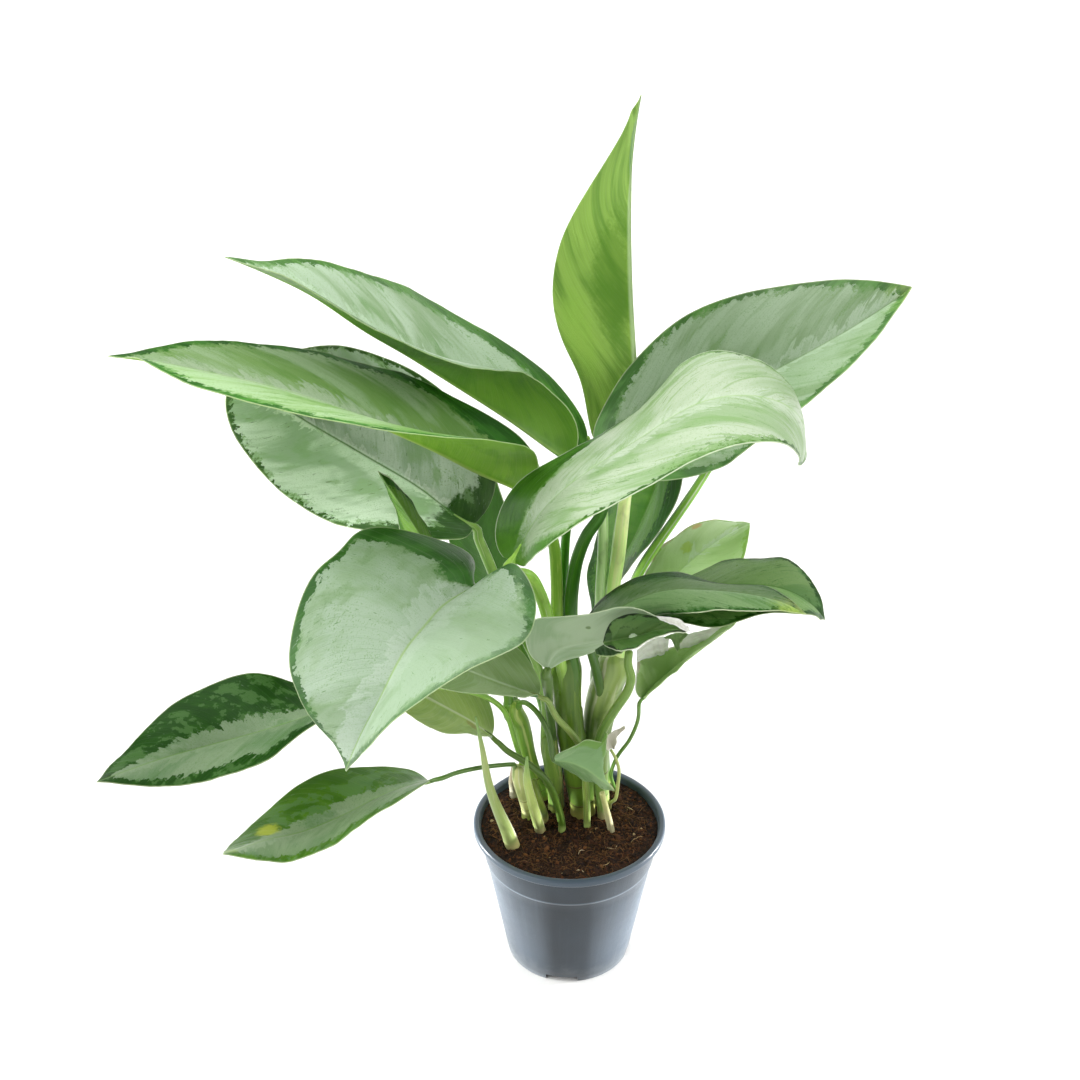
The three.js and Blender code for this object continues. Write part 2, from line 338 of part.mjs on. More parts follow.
    [[-31.1,-62.1,234], [-50.2,-34.7,227.9], [-56.4,-3.8,240.9]],
    [[-41.7,-68.6,239.8], [-59.1,-40.2,236.1], [-70.7,-11.7,249.2]],
    [[-56.3,-74.4,245.1], [-67.6,-46.2,244.6], [-82.1,-21.8,255.6]],
    [[-74,-76.8,248.5], [-76.3,-52.2,253.1], [-89.7,-32.7,260.5]],
    [[-88,-74.7,254.8], [-84.9,-57.5,260.7], [-93.7,-43.2,264.5]],
    [[-95.7,-71.2,262.9], [-92.5,-61.7,266.9], [-96.8,-53,268.6]],
    [[-101,-67,273.4], [-101.2,-66.2,273.7], [-101.3,-65.3,273.3]],
  ],
  leaf_under_heart_2: [
    [[-47,-18,173.7], [-47.1,-16,172.3], [-47.2,-13.7,170.7]],
    [[-46.6,-29.7,182.1], [-51.4,-15.6,175.9], [-45.8,-0.1,173.1]],
    [[-47.4,-35.6,186.6], [-56.3,-15.4,180.1], [-48.7,6.8,181.3]],
    [[-51.1,-40.7,191.1], [-62.4,-15.8,185.4], [-57.5,11,191.6]],
    [[-58.3,-45.2,196.1], [-70.4,-18,192.6], [-71.1,10.3,202.6]],
    [[-68.1,-49.1,200.1], [-77.7,-21.3,200.2], [-83.8,5.1,211.6]],
    [[-80.1,-51.7,204.5], [-84.6,-25.4,208], [-94.3,-2.6,218.9]],
    [[-91.4,-51.7,211.7], [-91.2,-29.9,216], [-102.1,-12.2,222.7]],
    [[-99.8,-49.4,220.3], [-97,-33.8,223.8], [-105.5,-21.4,227.1]],
    [[-104,-45.8,228.7], [-101.7,-36.8,230.6], [-106.4,-29.6,231.9]],
    [[-106.8,-41.2,238.2], [-106.9,-40.2,238.2], [-107.1,-39.5,237.9]],
  ],
  leaf_right_low_front: [
    [[10.5,-11.2,247], [11.8,-12.2,244.8], [14.3,-12.5,245.1]],
    [[7.7,-7.5,251.4], [14.4,-18.7,252], [30.1,-19,251.8]],
    [[11.9,-5.5,255.8], [17.8,-24.9,260.1], [39.1,-26.4,261.8]],
    [[22.6,-2.4,264.2], [24.1,-28.9,269.8], [47.8,-36.1,270.6]],
    [[38.6,0.4,274.2], [37.8,-29.2,278.2], [56.7,-47.2,278.7]],
    [[60.9,-0.4,278.1], [54,-28,282.6], [63.6,-53.5,283.3]],
    [[83.7,-7.7,276], [71.3,-29.5,283.6], [74.3,-55.4,285.1]],
    [[102.7,-17.2,278.6], [88.7,-32.8,284.2], [88.9,-54.5,285]],
    [[115.9,-27.4,280.3], [104.3,-37,283.8], [103.5,-52.4,284.2]],
    [[123.1,-36,279.3], [116.5,-40.9,282.1], [115.6,-49.8,282.2]],
    [[129.2,-45.5,277.6], [129.1,-46.1,278], [128.9,-46.7,278.3]],
  ],
  leaf_right_low_back: [
    [[41.1,16.6,240.6], [40.9,14,242.2], [40.7,11.6,243.6]],
    [[47.1,31,240.5], [48.1,12.8,246.8], [39.8,-2.9,252.6]],
    [[59.7,36.8,245.4], [56,11,252], [41.5,-11.3,256.9]],
    [[75.6,38.4,254.3], [65.8,7.7,258.2], [50.4,-21,259.2]],
    [[92.7,34.4,264.9], [78.4,2.4,265.9], [66.9,-30.3,262]],
    [[106.8,27.7,271.7], [91.6,-3.2,271.3], [85.6,-36.8,264.7]],
    [[118.8,20.9,276.2], [105.5,-7.5,273.9], [105.1,-38.5,272.5]],
    [[130.3,13.9,275.9], [119.7,-9.6,272.6], [124.1,-35,270.9]],
    [[138.7,7.1,268.1], [131.4,-9.8,267], [137,-27.4,264.6]],
    [[143.9,0.7,259.8], [139.6,-9,259.9], [143,-19,257.8]],
    [[147.1,-6.8,250], [147,-7.9,250.3], [146.9,-8.5,250.6]],
  ],
  leaf_right_up_small: [
    [[47.8,48.2,228.3], [47.7,46,229.6], [47.5,43.9,230.9]],
    [[47.1,60.8,226.5], [51.1,47.4,232.8], [47.9,33,237.5]],
    [[46.5,68.2,230.9], [55.1,49.1,236.5], [54.7,28,240.6]],
    [[50,74.8,237.6], [60.2,51.2,241.1], [65.5,25.9,243.1]],
    [[56.2,80.1,246.7], [67.1,54.2,247], [78.6,28.8,246.6]],
    [[65.1,83.5,254.1], [74.1,57.2,252.5], [89.8,34.4,249.7]],
    [[74.2,86.7,260.9], [81.4,60.4,257.5], [98.9,39.2,253.5]],
    [[86.6,88.5,262.8], [89.2,63.5,261.9], [104.4,43.2,262.8]],
    [[98.1,87.7,263.1], [96.5,66.1,265.6], [106.6,48.1,272.2]],
    [[105.9,83.4,264.7], [102.9,68,268.4], [108,55,276.1]],
    [[110.4,71.6,270.7], [110.2,70.1,271.6], [110,68.5,272.4]],
  ],
  leaf_center_curled: [
    [[-14.4,-44.2,239.6], [-14.5,-46,241], [-15.7,-46.8,242.6]],
    [[-9.3,-34.7,236], [-13.5,-45.5,245.5], [-24.5,-47.4,253.3]],
    [[-3.5,-30.9,237], [-11.4,-45.2,250.1], [-26.9,-46.7,265.1]],
    [[3.6,-29.1,238.6], [-6.8,-45.6,254.7], [-24.1,-49.4,274.1]],
    [[12.3,-28.6,242.5], [1.6,-47.6,258.7], [-15.6,-53.5,280]],
    [[23.2,-30.1,248.2], [11.6,-49.7,262], [4.7,-57.8,284.1]],
    [[34.9,-34.6,253], [22.4,-50.9,265.8], [21,-57.5,288.1]],
    [[45.4,-39.7,259.5], [33.5,-51.7,270], [34.1,-56.9,289.1]],
    [[53.6,-45.5,265.7], [44.1,-53.3,272.8], [45.1,-59.1,284.2]],
    [[58.7,-50.9,270.5], [53.1,-55.3,274.6], [54.7,-58.7,281.3]],
    [[63.5,-57.3,275.9], [63.4,-57.9,276.3], [63.1,-58.2,276.6]],
  ],
  leaf_center_small: [
    [[16.5,-62.9,271.5], [16.1,-63.9,270.4], [17,-65.3,269.7]],
    [[18.1,-61.6,278], [19.1,-63.4,270.9], [22.1,-68.8,269.1]],
    [[20.8,-60.5,282], [22.6,-62.9,271.5], [24.1,-70.9,269.6]],
    [[26.1,-59.4,285.1], [26.9,-62.5,272.2], [24.8,-72.5,270.7]],
    [[34.3,-59.1,286.5], [32.5,-62.4,273.2], [27.6,-73.6,271.9]],
    [[43.3,-59.7,285.2], [38,-62.4,274.9], [32.5,-74.1,273.9]],
    [[51.6,-59.8,283.5], [43.4,-62.4,276.9], [39.1,-73.8,276.8]],
    [[56.9,-59.4,282.5], [49,-62.7,278.3], [46.2,-72.2,279.4]],
    [[59.8,-59.8,280.5], [54.2,-63.2,278.5], [53.2,-70,280]],
    [[61.5,-60.7,278.9], [58.6,-63.6,278.3], [58.6,-67.5,279.4]],
    [[63.3,-62.7,277.6], [63.4,-63.9,278.1], [63.4,-64.4,278.4]],
  ],
  leaf_right_lower: [
    [[41.7,5.7,186.6], [43.8,6,186.1], [44.2,4.6,187.5]],
    [[39.4,12.4,196.1], [46.1,9.8,186.4], [50.2,1.9,195.4]],
    [[40.1,18.4,200.5], [49,14.2,186.7], [54.7,3.3,199.5]],
    [[40.6,23.6,202], [53.1,19.1,187.7], [59.2,5.4,202.8]],
    [[40.8,26,200.4], [59.5,24.3,190.4], [62.9,7.3,205.4]],
    [[51.8,29.3,204.1], [66.7,27.5,195.2], [67.3,9.4,208.5]],
    [[84.1,37.8,210.2], [74.4,28.7,201.6], [75.1,12.4,213.7]],
    [[93.5,38.1,216.4], [82.4,28.3,209.3], [84,15.6,219.5]],
    [[97.6,34,222.2], [89.7,26.9,216.8], [91.3,18.3,224.6]],
    [[99.7,29.4,227], [95.4,25.4,223.6], [96.1,20.8,228.4]],
    [[101.2,24,231.8], [101.2,23.9,231.8], [101.1,23.4,232.2]],
  ],
  leaf_back_right: [
    [[81.1,62.5,317.3], [83.7,62,315.1], [86.6,61.3,317.2]],
    [[79.2,72.9,334], [87,73.1,312.3], [105.2,67.5,327.3]],
    [[85.3,89.8,341.4], [90.7,85.7,309.2], [115.7,76,330.2]],
    [[92,117.4,337.9], [96.1,100.9,306.4], [122.9,83.7,331.1]],
    [[88.7,154,303.2], [106,118.1,308.8], [128.8,90.2,333.9]],
    [[99.3,168.7,318.2], [118.2,129.4,318.7], [131.6,92.2,335.9]],
    [[120.2,168.4,348.7], [130.5,133.7,333.2], [134.9,94.8,338.2]],
    [[139.6,152.5,370.6], [142.5,129.1,348.6], [141.4,96.9,344.5]],
    [[149,132.5,382.3], [150.9,119.6,362.9], [149.3,97.3,356.3]],
    [[153.4,115.5,386], [156,109.6,374.5], [156,97,369.2]],
    [[160,97.8,387.9], [160.9,97.5,387.2], [160.5,96.5,386.5]],
  ],
  leaf_small_front: [
    [[-10.5,-23,161.8], [-11.1,-23.1,160.6], [-11.2,-21.9,159.7]],
    [[-4.5,-23.2,168.1], [-8.8,-23.4,160.7], [-10.3,-15.6,154.2]],
    [[0.2,-23.2,170.8], [-6.1,-23.8,160.7], [-7.3,-14.6,150.6]],
    [[5.2,-22.8,173.4], [-2.7,-24.2,160.7], [-3.3,-14.1,147.4]],
    [[11.3,-21.7,175.2], [1.6,-25.1,160.1], [0.9,-14.7,145.3]],
    [[20.5,-21.5,173.7], [5.5,-26,158.8], [4.1,-15.9,144.3]],
    [[21.4,-17.6,177.6], [9.4,-26.8,157.1], [7.3,-17.8,143.8]],
    [[20.1,-20.5,167.7], [13.4,-27.6,154.3], [11.2,-20.6,143.3]],
    [[19.7,-20.6,163.4], [17.5,-28.4,150.9], [15.9,-24,142.7]],
    [[19,-24.3,155], [21.4,-28.9,147.8], [20.6,-26.8,142.7]],
    [[23.1,-27.9,147.2], [26.2,-29.4,144], [26.1,-29.5,143.4]],
  ],
  leaf_back_hanging: [
    [[57.9,68.3,319.1], [55.8,69.9,319.7], [52.7,68.8,319.9]],
    [[66.3,56.2,312.9], [54.4,70.8,310.7], [37.9,75.7,312.5]],
    [[63.2,47.8,301.3], [52.7,71.8,300.4], [36.7,89,305.2]],
    [[54.1,42.5,285.2], [49.9,73.5,288], [35.8,99.8,296.7]],
    [[43,43.4,265.6], [45.3,76.6,272.2], [30.3,105.5,282.4]],
    [[34.5,48.5,247.9], [40.5,80.1,256.7], [24.5,108.3,265.8]],
    [[27,56,232.5], [35.3,84,241.5], [19.8,109.7,248.5]],
    [[21.2,65.5,219], [30,87.7,226.5], [15.7,108.5,231.1]],
    [[17.7,75.6,208], [24.6,91.3,213], [12.8,105.9,215.4]],
    [[16.2,85.3,199.9], [20.1,94.4,202.3], [13.9,103.1,203.2]],
    [[15.2,97,190.9], [15.4,97.8,190.5], [15.2,99,190.5]],
  ],
  leaf_back_left: [
    [[-39.6,33.6,225.8], [-39.7,36,224.3], [-39.7,38.2,222.9]],
    [[-37,28,239.1], [-42.3,41.7,229.5], [-40,51.2,214.9]],
    [[-33.5,32.4,250.5], [-45.2,48.3,235.3], [-45.5,60.7,213.9]],
    [[-33.3,42,263], [-48.9,56.7,242.6], [-56.3,71.1,217.5]],
    [[-34.2,56,274.9], [-54,67.5,252.4], [-67.8,84.2,228.7]],
    [[-39,68.9,285], [-59.6,77,263], [-75.6,96.2,243.8]],
    [[-44.8,80.9,294.7], [-65.9,84.4,274.5], [-80.9,104.8,261.1]],
    [[-55.4,88.3,304.7], [-72.6,89.5,286.9], [-85.5,107.5,278.8]],
    [[-68.9,90.9,312.7], [-80,91.8,298], [-88.6,105.3,293.8]],
    [[-80,90.5,315.5], [-85.7,92.3,307.2], [-90.3,100.3,305.1]],
    [[-91.3,91.2,317.7], [-91.7,92.1,317.3], [-91.8,92.9,316.9]],
  ],
};

// blades whose pale underside is turned to the front
const UNDERSIDE_SHOWN = ['leaf_top_upright', 'leaf_under_heart_1', 'leaf_under_heart_2', 'leaf_center_curled', 'leaf_back_left'];
const CROWN = 0.05;   // each half of a blade is arched by this part of its width

// a thin closed shell around the surface through the two edges and the midrib
function bladeGeometry(rows) {
  const grid = rows.map((r, i) => {
    const [L, M, R] = r.map((q) => new THREE.Vector3(...q));
    const prev = new THREE.Vector3(...rows[Math.max(0, i - 1)][1]);
    const next = new THREE.Vector3(...rows[Math.min(rows.length - 1, i + 1)][1]);
    const along = next.sub(prev).normalize();
    const half = (edge, side) => {
      const across = edge.clone().sub(M);
      const up = across.clone().multiplyScalar(side).cross(along).normalize();
      return M.clone().addScaledVector(across, 0.5).addScaledVector(up, CROWN * across.length());
    };
    return [L, half(L, -1), M, half(R, 1), R];
  });
  const nr = grid.length;
  const nc = grid[0].length;
  const normal = (i, j) => {
    const a = grid[Math.min(nr - 1, i + 1)][j].clone().sub(grid[Math.max(0, i - 1)][j]);
    const b = grid[i][Math.min(nc - 1, j + 1)].clone().sub(grid[i][Math.max(0, j - 1)]);
    return b.cross(a).normalize();
  };
  const pos = [];
  for (const side of [0.5, -0.5]) {
    for (let i = 0; i < nr; i++) {
      for (let j = 0; j < nc; j++) {
        const q = grid[i][j].clone().addScaledVector(normal(i, j), side * BLADE_T);
        pos.push(q.x, q.y, q.z);
      }
    }
  }
  const top = (i, j) => i * nc + j;
  const low = (i, j) => nr * nc + i * nc + j;
  const tri = [];
  const quad = (a, b, c, d) => tri.push(a, b, c, a, c, d);
  for (let i = 0; i < nr - 1; i++) {
    for (let j = 0; j < nc - 1; j++) {
      quad(top(i, j), top(i, j + 1), top(i + 1, j + 1), top(i + 1, j));
      quad(low(i, j), low(i + 1, j), low(i + 1, j + 1), low(i, j + 1));
    }
    quad(top(i, 0), top(i + 1, 0), low(i + 1, 0), low(i, 0));
    quad(top(i, nc - 1), low(i, nc - 1), low(i + 1, nc - 1), top(i + 1, nc - 1));
  }
  for (let j = 0; j < nc - 1; j++) {
    quad(top(0, j), low(0, j), low(0, j + 1), top(0, j + 1));
    quad(top(nr - 1, j), top(nr - 1, j + 1), low(nr - 1, j + 1), low(nr - 1, j));
  }
  const g = new THREE.BufferGeometry();
  g.setAttribute('position', new THREE.Float32BufferAttribute(pos, 3));
  g.setIndex(tri);
  g.computeVertexNormals();
  return g;
}

for (const [name, rows] of Object.entries(LEAVES)) {
  finish(name, bladeGeometry(rows), UNDERSIDE_SHOWN.includes(name) ? 0x86b55a : 0x8fb58a, 0.4);
}

export default plant;
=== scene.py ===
# Looks of the potted Chinese evergreen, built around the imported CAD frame. Metres, +Z up, -Y is the plant's front.
import bpy
import math
import numpy as np
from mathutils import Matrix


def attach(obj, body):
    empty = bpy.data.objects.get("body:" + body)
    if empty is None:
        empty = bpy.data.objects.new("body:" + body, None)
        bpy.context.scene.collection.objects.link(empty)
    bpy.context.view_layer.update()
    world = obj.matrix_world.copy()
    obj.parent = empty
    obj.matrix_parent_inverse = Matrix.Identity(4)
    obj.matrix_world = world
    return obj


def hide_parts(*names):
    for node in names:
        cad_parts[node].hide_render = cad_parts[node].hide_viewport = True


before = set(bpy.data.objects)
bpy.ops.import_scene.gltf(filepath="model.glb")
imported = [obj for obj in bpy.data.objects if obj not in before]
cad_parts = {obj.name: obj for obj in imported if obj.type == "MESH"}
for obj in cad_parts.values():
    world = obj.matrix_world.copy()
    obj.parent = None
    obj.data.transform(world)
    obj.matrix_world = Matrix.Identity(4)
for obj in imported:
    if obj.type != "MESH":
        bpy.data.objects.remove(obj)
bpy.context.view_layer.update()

# ---------------------------------------------------------------- camera
cam_data = bpy.data.cameras.new("camera")
cam_data.lens = 60.0
cam_data.sensor_width = 36.0
cam_data.clip_start = 0.02
cam_data.clip_end = 50.0
cam = bpy.data.objects.new("camera", cam_data)
cam.location = (-0.0184, -0.8952, 0.8033)
cam.rotation_euler = (math.radians(90 - 29.39), 0.0, 0.0)
bpy.context.scene.collection.objects.link(cam)
bpy.context.scene.camera = cam

# ---------------------------------------------------------------- tables, millimetres
# stations along a blade, base to tip
T = np.array([0, .02, .06, .13, .22, .34, .46, .58, .70, .81, .90, .96, 1.0])
# each row runs across the blade: left edge, midrib, right edge
LEAVES = {
    "leaf_top_upright": [
        ((33.2, 53.7, 326.4), (33.9, 49.9, 326.9), (30.1, 51.3, 327.5)),
        ((30.3, 60.7, 328.2), (34.9, 50.1, 332.4), (20.3, 52.5, 330.3)),
        ((27.2, 67.7, 331.8), (36.6, 50.5, 343), (11.7, 54.7, 340.3)),
        ((23.3, 76.7, 343.3), (37.7, 52.2, 359.8), (5.9, 59.6, 367.9)),
        ((21.8, 84.7, 351.8), (36.7, 56.2, 378), (-3.3, 63, 389.5)),
        ((13.1, 96.1, 383.4), (35, 61, 399.9), (-9.5, 66.5, 407.3)),
        ((9.7, 100.8, 422.3), (33.5, 62.8, 421.8), (-11.2, 69.3, 425.5)),
        ((15.6, 99.7, 456.7), (32.4, 62.1, 444.6), (-8.4, 71.8, 445.7)),
        ((23.2, 93.9, 482.2), (31.6, 61.2, 468.7), (2.6, 73.3, 472)),
        ((28.3, 85.1, 503.2), (31.4, 61.6, 492.9), (25.8, 70.8, 512.6)),
        ((31.5, 76.3, 519.5), (32.7, 62.5, 513.6), (31.6, 67.2, 527.8)),
        ((33.9, 69.8, 529.4), (34.4, 63.3, 527.8), (34, 65, 533.2)),
        ((35.9, 65.3, 536.9), (35.8, 63.8, 537.3), (35.8, 63.8, 537.3)),
    ],
    "leaf_right_back": [
        ((17.6, 12.3, 349.7), (22, 11.8, 348.6), (23.4, 9.4, 345.7)),
        ((14.6, 16.3, 350.2), (23.6, 15.3, 347.7), (24.8, 10.1, 341.4)),
        ((11.8, 25, 354.8), (26.9, 22.4, 346), (32, 11.9, 334.7)),
        ((18.4, 38.5, 366.2), (34.3, 34.4, 344.2), (47.7, 15.3, 328.8)),
        ((30.8, 49.8, 383), (47.3, 47.4, 345.3), (68.6, 15.8, 331.8)),
        ((51.3, 61, 400.7), (69.5, 57.5, 352.4), (86.2, 8.4, 343.3)),
        ((71.9, 70.2, 411.6), (92.4, 57.9, 364.7), (98.4, 6.7, 354.2)),
        ((99, 71.3, 421.4), (113.8, 52.3, 379.7), (116.5, 5, 370.8)),
        ((126.6, 65.6, 428.8), (134.6, 45.5, 395.7), (139.3, 6.3, 390.9)),
        ((150, 56.8, 434.6), (154.1, 41.2, 410.5), (158.8, 13.2, 410.8)),
        ((168.6, 49.4, 437), (170.2, 40.1, 422.7), (173.3, 24.1, 424.5)),
        ((180.4, 45.1, 436.9), (180.9, 40.6, 430.8), (182.2, 33.5, 431.9)),
        ((187.2, 42, 436.4), (187.5, 41.3, 436.4), (187.2, 40.1, 436.9)),
    ],
    "leaf_front_arch": [
        ((-38.7, -34.7, 308), (-33.8, -36.8, 307.2), (-29.9, -37.7, 304.4)),
        ((-41.8, -33, 313.1), (-31.7, -37.7, 311.8), (-27.1, -42.2, 306.2)),
        ((-42.1, -27.9, 324.8), (-27.4, -39.4, 321.2), (-25.9, -51.2, 312.8)),
        ((-30.7, -18.8, 344.6), (-19.6, -43.2, 337.6), (-22.3, -66.1, 326.2)),
        ((-2.9, -13.8, 363.1), (-7.2, -50.1, 356.7), (-14, -85.8, 344.6)),
        ((28.9, -13, 382.5), (13.3, -59.6, 378.8), (4.2, -108, 371.6)),
        ((46.8, -17.6, 405.3), (36.5, -66, 398.7), (36.8, -115, 394.3)),
        ((68.4, -24.1, 424.9), (61.1, -68.7, 416.6), (68.6, -112.8, 412.8)),
        ((95.8, -32.8, 424.4), (89.5, -69.8, 421.5), (98.2, -104.2, 412.5)),
        ((113.7, -40.4, 410), (111.4, -66.5, 410.8), (112.2, -88.5, 396.2)),
        ((119.2, -45.9, 390.4), (118.3, -60.2, 392.7), (115, -71.7, 383.1)),
        ((122, -48.9, 378.1), (119.6, -54.3, 380.1), (117.1, -58.8, 376.8)),
        ((119.1, -48.6, 371.7), (118.8, -49.6, 372), (118.5, -50.3, 372.1)),
    ],
    "leaf_left_top": [
        ((0.9, 12.2, 344.5), (0.3, 14, 341.2), (2.2, 16.7, 342.6)),
        ((2.5, 11.2, 353.7), (-3.6, 17.3, 342.3), (6.4, 26.3, 343.9)),
        ((1.3, 14, 366.1), (-11.4, 23.7, 344.7), (9.1, 40, 345)),
        ((-9.7, 18.5, 380.7), (-24.6, 34.3, 350.1), (2.7, 59.8, 354.8)),
        ((-22.7, 19.3, 391.4), (-42.5, 42.9, 359.5), (-21.4, 79.2, 374.2)),
        ((-32.8, 13, 398.2), (-65.6, 40.3, 377), (-61.6, 80, 402.1)),
        ((-44.5, -3.2, 407.4), (-81.8, 23.7, 396.4), (-90, 56.6, 428.2)),
        ((-68, -28.6, 423.2), (-95.5, 3.2, 415.5), (-106.3, 29.9, 446.1)),
        ((-102.6, -44, 446.7), (-113.3, -12.9, 434.8), (-120.1, 10.7, 459)),
        ((-136.2, -39, 466.4), (-134.3, -17.8, 453.1), (-139.4, 1, 468)),
        ((-160.5, -27.4, 472.7), (-155.3, -16.5, 464.3), (-159.9, -4.9, 470.2)),
        ((-173.2, -18.5, 473.6), (-170.7, -14.1, 470.4), (-172.9, -8.8, 472.1)),
        ((-181.2, -13.1, 474.3), (-181.2, -12.3, 473.9), (-181.5, -11.2, 473.6)),
    ],
    "leaf_left_mid": [
        ((-24.7, 12.7, 322.4), (-25.2, 15.2, 320.1), (-23.2, 17.9, 321.2)),
        ((-23.7, 8.6, 326.2), (-27.7, 12.7, 322.8), (-21, 16.7, 324.5)),
        ((-21.2, 1.8, 333.8), (-32.6, 7.5, 328.4), (-17.8, 14.8, 333.9)),
        ((-18.8, -9.3, 345.6), (-42.3, -2.2, 338.5), (-29.6, 15.1, 356.6)),
        ((-21.2, -25.3, 366.8), (-55.4, -15.7, 352.2), (-55.8, 14.5, 375.6)),
        ((-34.6, -58.5, 389.5), (-73.5, -33.1, 372), (-85.2, 9.1, 394.8)),
        ((-71.8, -87.2, 406.8), (-95.8, -47.3, 390.9), (-108, -4.1, 410.1)),
        ((-118.2, -97.7, 421.5), (-122.7, -55.2, 408.1), (-134.9, -14.7, 421.8)),
        ((-162.1, -93, 429.7), (-153.4, -58.2, 420.7), (-165.1, -25.2, 430.8)),
        ((-195.1, -80.7, 435.1), (-183.3, -58, 428.3), (-192.9, -34.9, 436.1)),
        ((-216.2, -68.1, 439), (-208.4, -56.4, 433.3), (-215, -43.3, 436.3)),
        ((-228.5, -60.6, 438), (-225.6, -55.4, 435.7), (-228.7, -49.7, 436.4)),
        ((-237.1, -55.9, 437.4), (-237.2, -54.9, 437), (-237.6, -53.8, 436.5)),
    ],
    "leaf_left_wide": [
        ((-57.4, 9.8, 300.2), (-58.2, 13.9, 301.1), (-55.7, 17.4, 300.8)),
        ((-62, 0, 300.2), (-61.5, 15.7, 302.4), (-50.4, 26.8, 302.7)),
        ((-74.1, -8.9, 304.8), (-68, 19.5, 305.1), (-45.8, 37.7, 309.3)),
        ((-93.8, -11.7, 308.3), (-78.8, 26.4, 310.5), (-46.1, 48.2, 325.5)),
        ((-114.7, -8.6, 309.3), (-93, 34.7, 317.6), (-60.2, 59.1, 348.7)),
        ((-135.5, -2.9, 311.4), (-113.7, 42.5, 327.1), (-85.7, 67.6, 369.8)),
        ((-152.4, 1.3, 319.1), (-133.9, 45.5, 339), (-111, 69.5, 383)),
        ((-166.5, 2.4, 331.7), (-151.9, 41.9, 353.1), (-132.7, 60.2, 393.4)),
        ((-179.2, 1.9, 348.8), (-165.6, 32.1, 368.9), (-146, 40.2, 401.4)),
        ((-188.1, -0.5, 368.4), (-174.7, 18.9, 383.3), (-158.9, 21.2, 406.2)),
        ((-190.3, -4, 386.1), (-180.4, 6.3, 394.4), (-171.2, 6.9, 408.1)),
        ((-188, -6.8, 397.8), (-183.6, -2.7, 401.6), (-179.2, -2.7, 407.4)),
        ((-185.8, -9.4, 405.2), (-185.5, -8.7, 406.3), (-184.3, -8.9, 407.1)),
    ],
    "leaf_front_heart": [
        ((-47.1, -59.8, 304.3), (-50.3, -57.8, 303.7), (-51.9, -54, 301.6)),
        ((-40.2, -61.7, 314.3), (-52.6, -60, 304), (-56.1, -44.4, 297.5)),
        ((-30.6, -67, 321.6), (-57, -64.3, 304.4), (-55.1, -32.8, 305.7)),
        ((-21.4, -80.2, 312.1), (-64.1, -72.7, 304.6), (-75.4, -35, 320.8)),
        ((-21.1, -95.6, 305), (-71.9, -85.2, 304.8), (-109.3, -55.8, 337.4)),
        ((-25.3, -118.9, 308.2), (-78.7, -103.7, 305.6), (-122.4, -83.5, 339.9)),
        ((-35.1, -142.5, 315.1), (-85.4, -122, 306), (-136.3, -107.7, 334.7)),
        ((-55.2, -168.8, 319.1), (-91.7, -139, 302.3), (-145.3, -131.8, 307.9)),
        ((-86.6, -187.8, 308), (-98.3, -151.7, 293), (-140.8, -142.7, 290.9)),
        ((-101.9, -182.6, 287), (-105.8, -156, 279.5), (-133.5, -145.1, 276.2)),
        ((-108.5, -168.6, 270.3), (-111.6, -154.7, 265.6), (-125.2, -144.4, 263.6)),
        ((-113.6, -157.9, 257.5), (-115.3, -152.2, 255.1), (-119.7, -146.2, 254.3)),
        ((-117.6, -151, 248.5), (-117.7, -150.2, 247.9), (-118.1, -148.8, 247.8)),
    ],
    "leaf_low_left_1": [
        ((-129.8, -57.4, 226.8), (-130.1, -55, 225.2), (-130.4, -52.8, 223.6)),
        ((-131.5, -63.8, 227.8), (-133.2, -54.9, 223.6), (-131.2, -46.6, 219.4)),
        ((-137.2, -72.2, 226.7), (-139.3, -54.5, 220.4), (-132.3, -38.7, 213.9)),
        ((-150, -79.1, 221.4), (-149.8, -53.6, 214.9), (-141.2, -29, 212.4)),
        ((-165.1, -83.3, 209.9), (-162.9, -51.8, 208.3), (-159.7, -21.8, 215)),
        ((-183.8, -82.6, 198.7), (-180.1, -49, 200.1), (-185.3, -20.7, 221.3)),
        ((-199.1, -80.7, 190.5), (-197.6, -47.7, 193.5), (-208.3, -23.4, 216.5)),
        ((-212.4, -79.7, 186.3), (-215.3, -49.7, 189.1), (-230, -28, 206.8)),
        ((-226, -80.3, 184.8), (-232, -56, 187.6), (-248.4, -38.5, 194.6)),
        ((-239.2, -82, 187.4), (-245.6, -65.2, 188.1), (-259.5, -54.3, 187.5)),
        ((-251.2, -83.8, 189.8), (-255.6, -74.3, 189.5), (-264.2, -68.7, 187.6)),
        ((-259.8, -84.9, 191.2), (-261.9, -80.7, 190.8), (-265.4, -78.1, 189.7)),
        ((-265.4, -85.8, 192.3), (-266, -85.1, 191.8), (-266.3, -84.3, 191.2)),
    ],
    "leaf_low_left_2": [
        ((-81.4, -64.1, 176.7), (-81.6, -62, 175.1), (-81.7, -60, 173.6)),
        ((-83.4, -69.1, 178.7), (-84.6, -61.7, 174.1), (-82.1, -54.8, 169.7)),
        ((-88.8, -75.6, 179.6), (-90.6, -61.1, 172.1), (-84.1, -47.7, 165.4)),
        ((-99.2, -82, 176.5), (-100.6, -60.4, 168.1), (-93.9, -38.3, 164.7)),
        ((-111.8, -87.2, 170), (-112.7, -60.5, 162), (-112.5, -33.1, 163.2)),
        ((-125.3, -91.5, 161.2), (-128, -62.7, 153.7), (-137.3, -35.3, 163.1)),
        ((-136, -95.5, 153.6), (-143.5, -67.4, 148.4), (-159, -43.7, 159.5)),
        ((-147.8, -99.5, 151.2), (-158.1, -75.1, 147.5), (-177, -56.4, 151.6)),
        ((-159.8, -104.4, 151.4), (-170.8, -84.9, 151.6), (-189.4, -74.6, 147.4)),
        ((-170.8, -109.5, 155.6), (-180.1, -96.3, 156.6), (-194.4, -92.2, 151.2)),
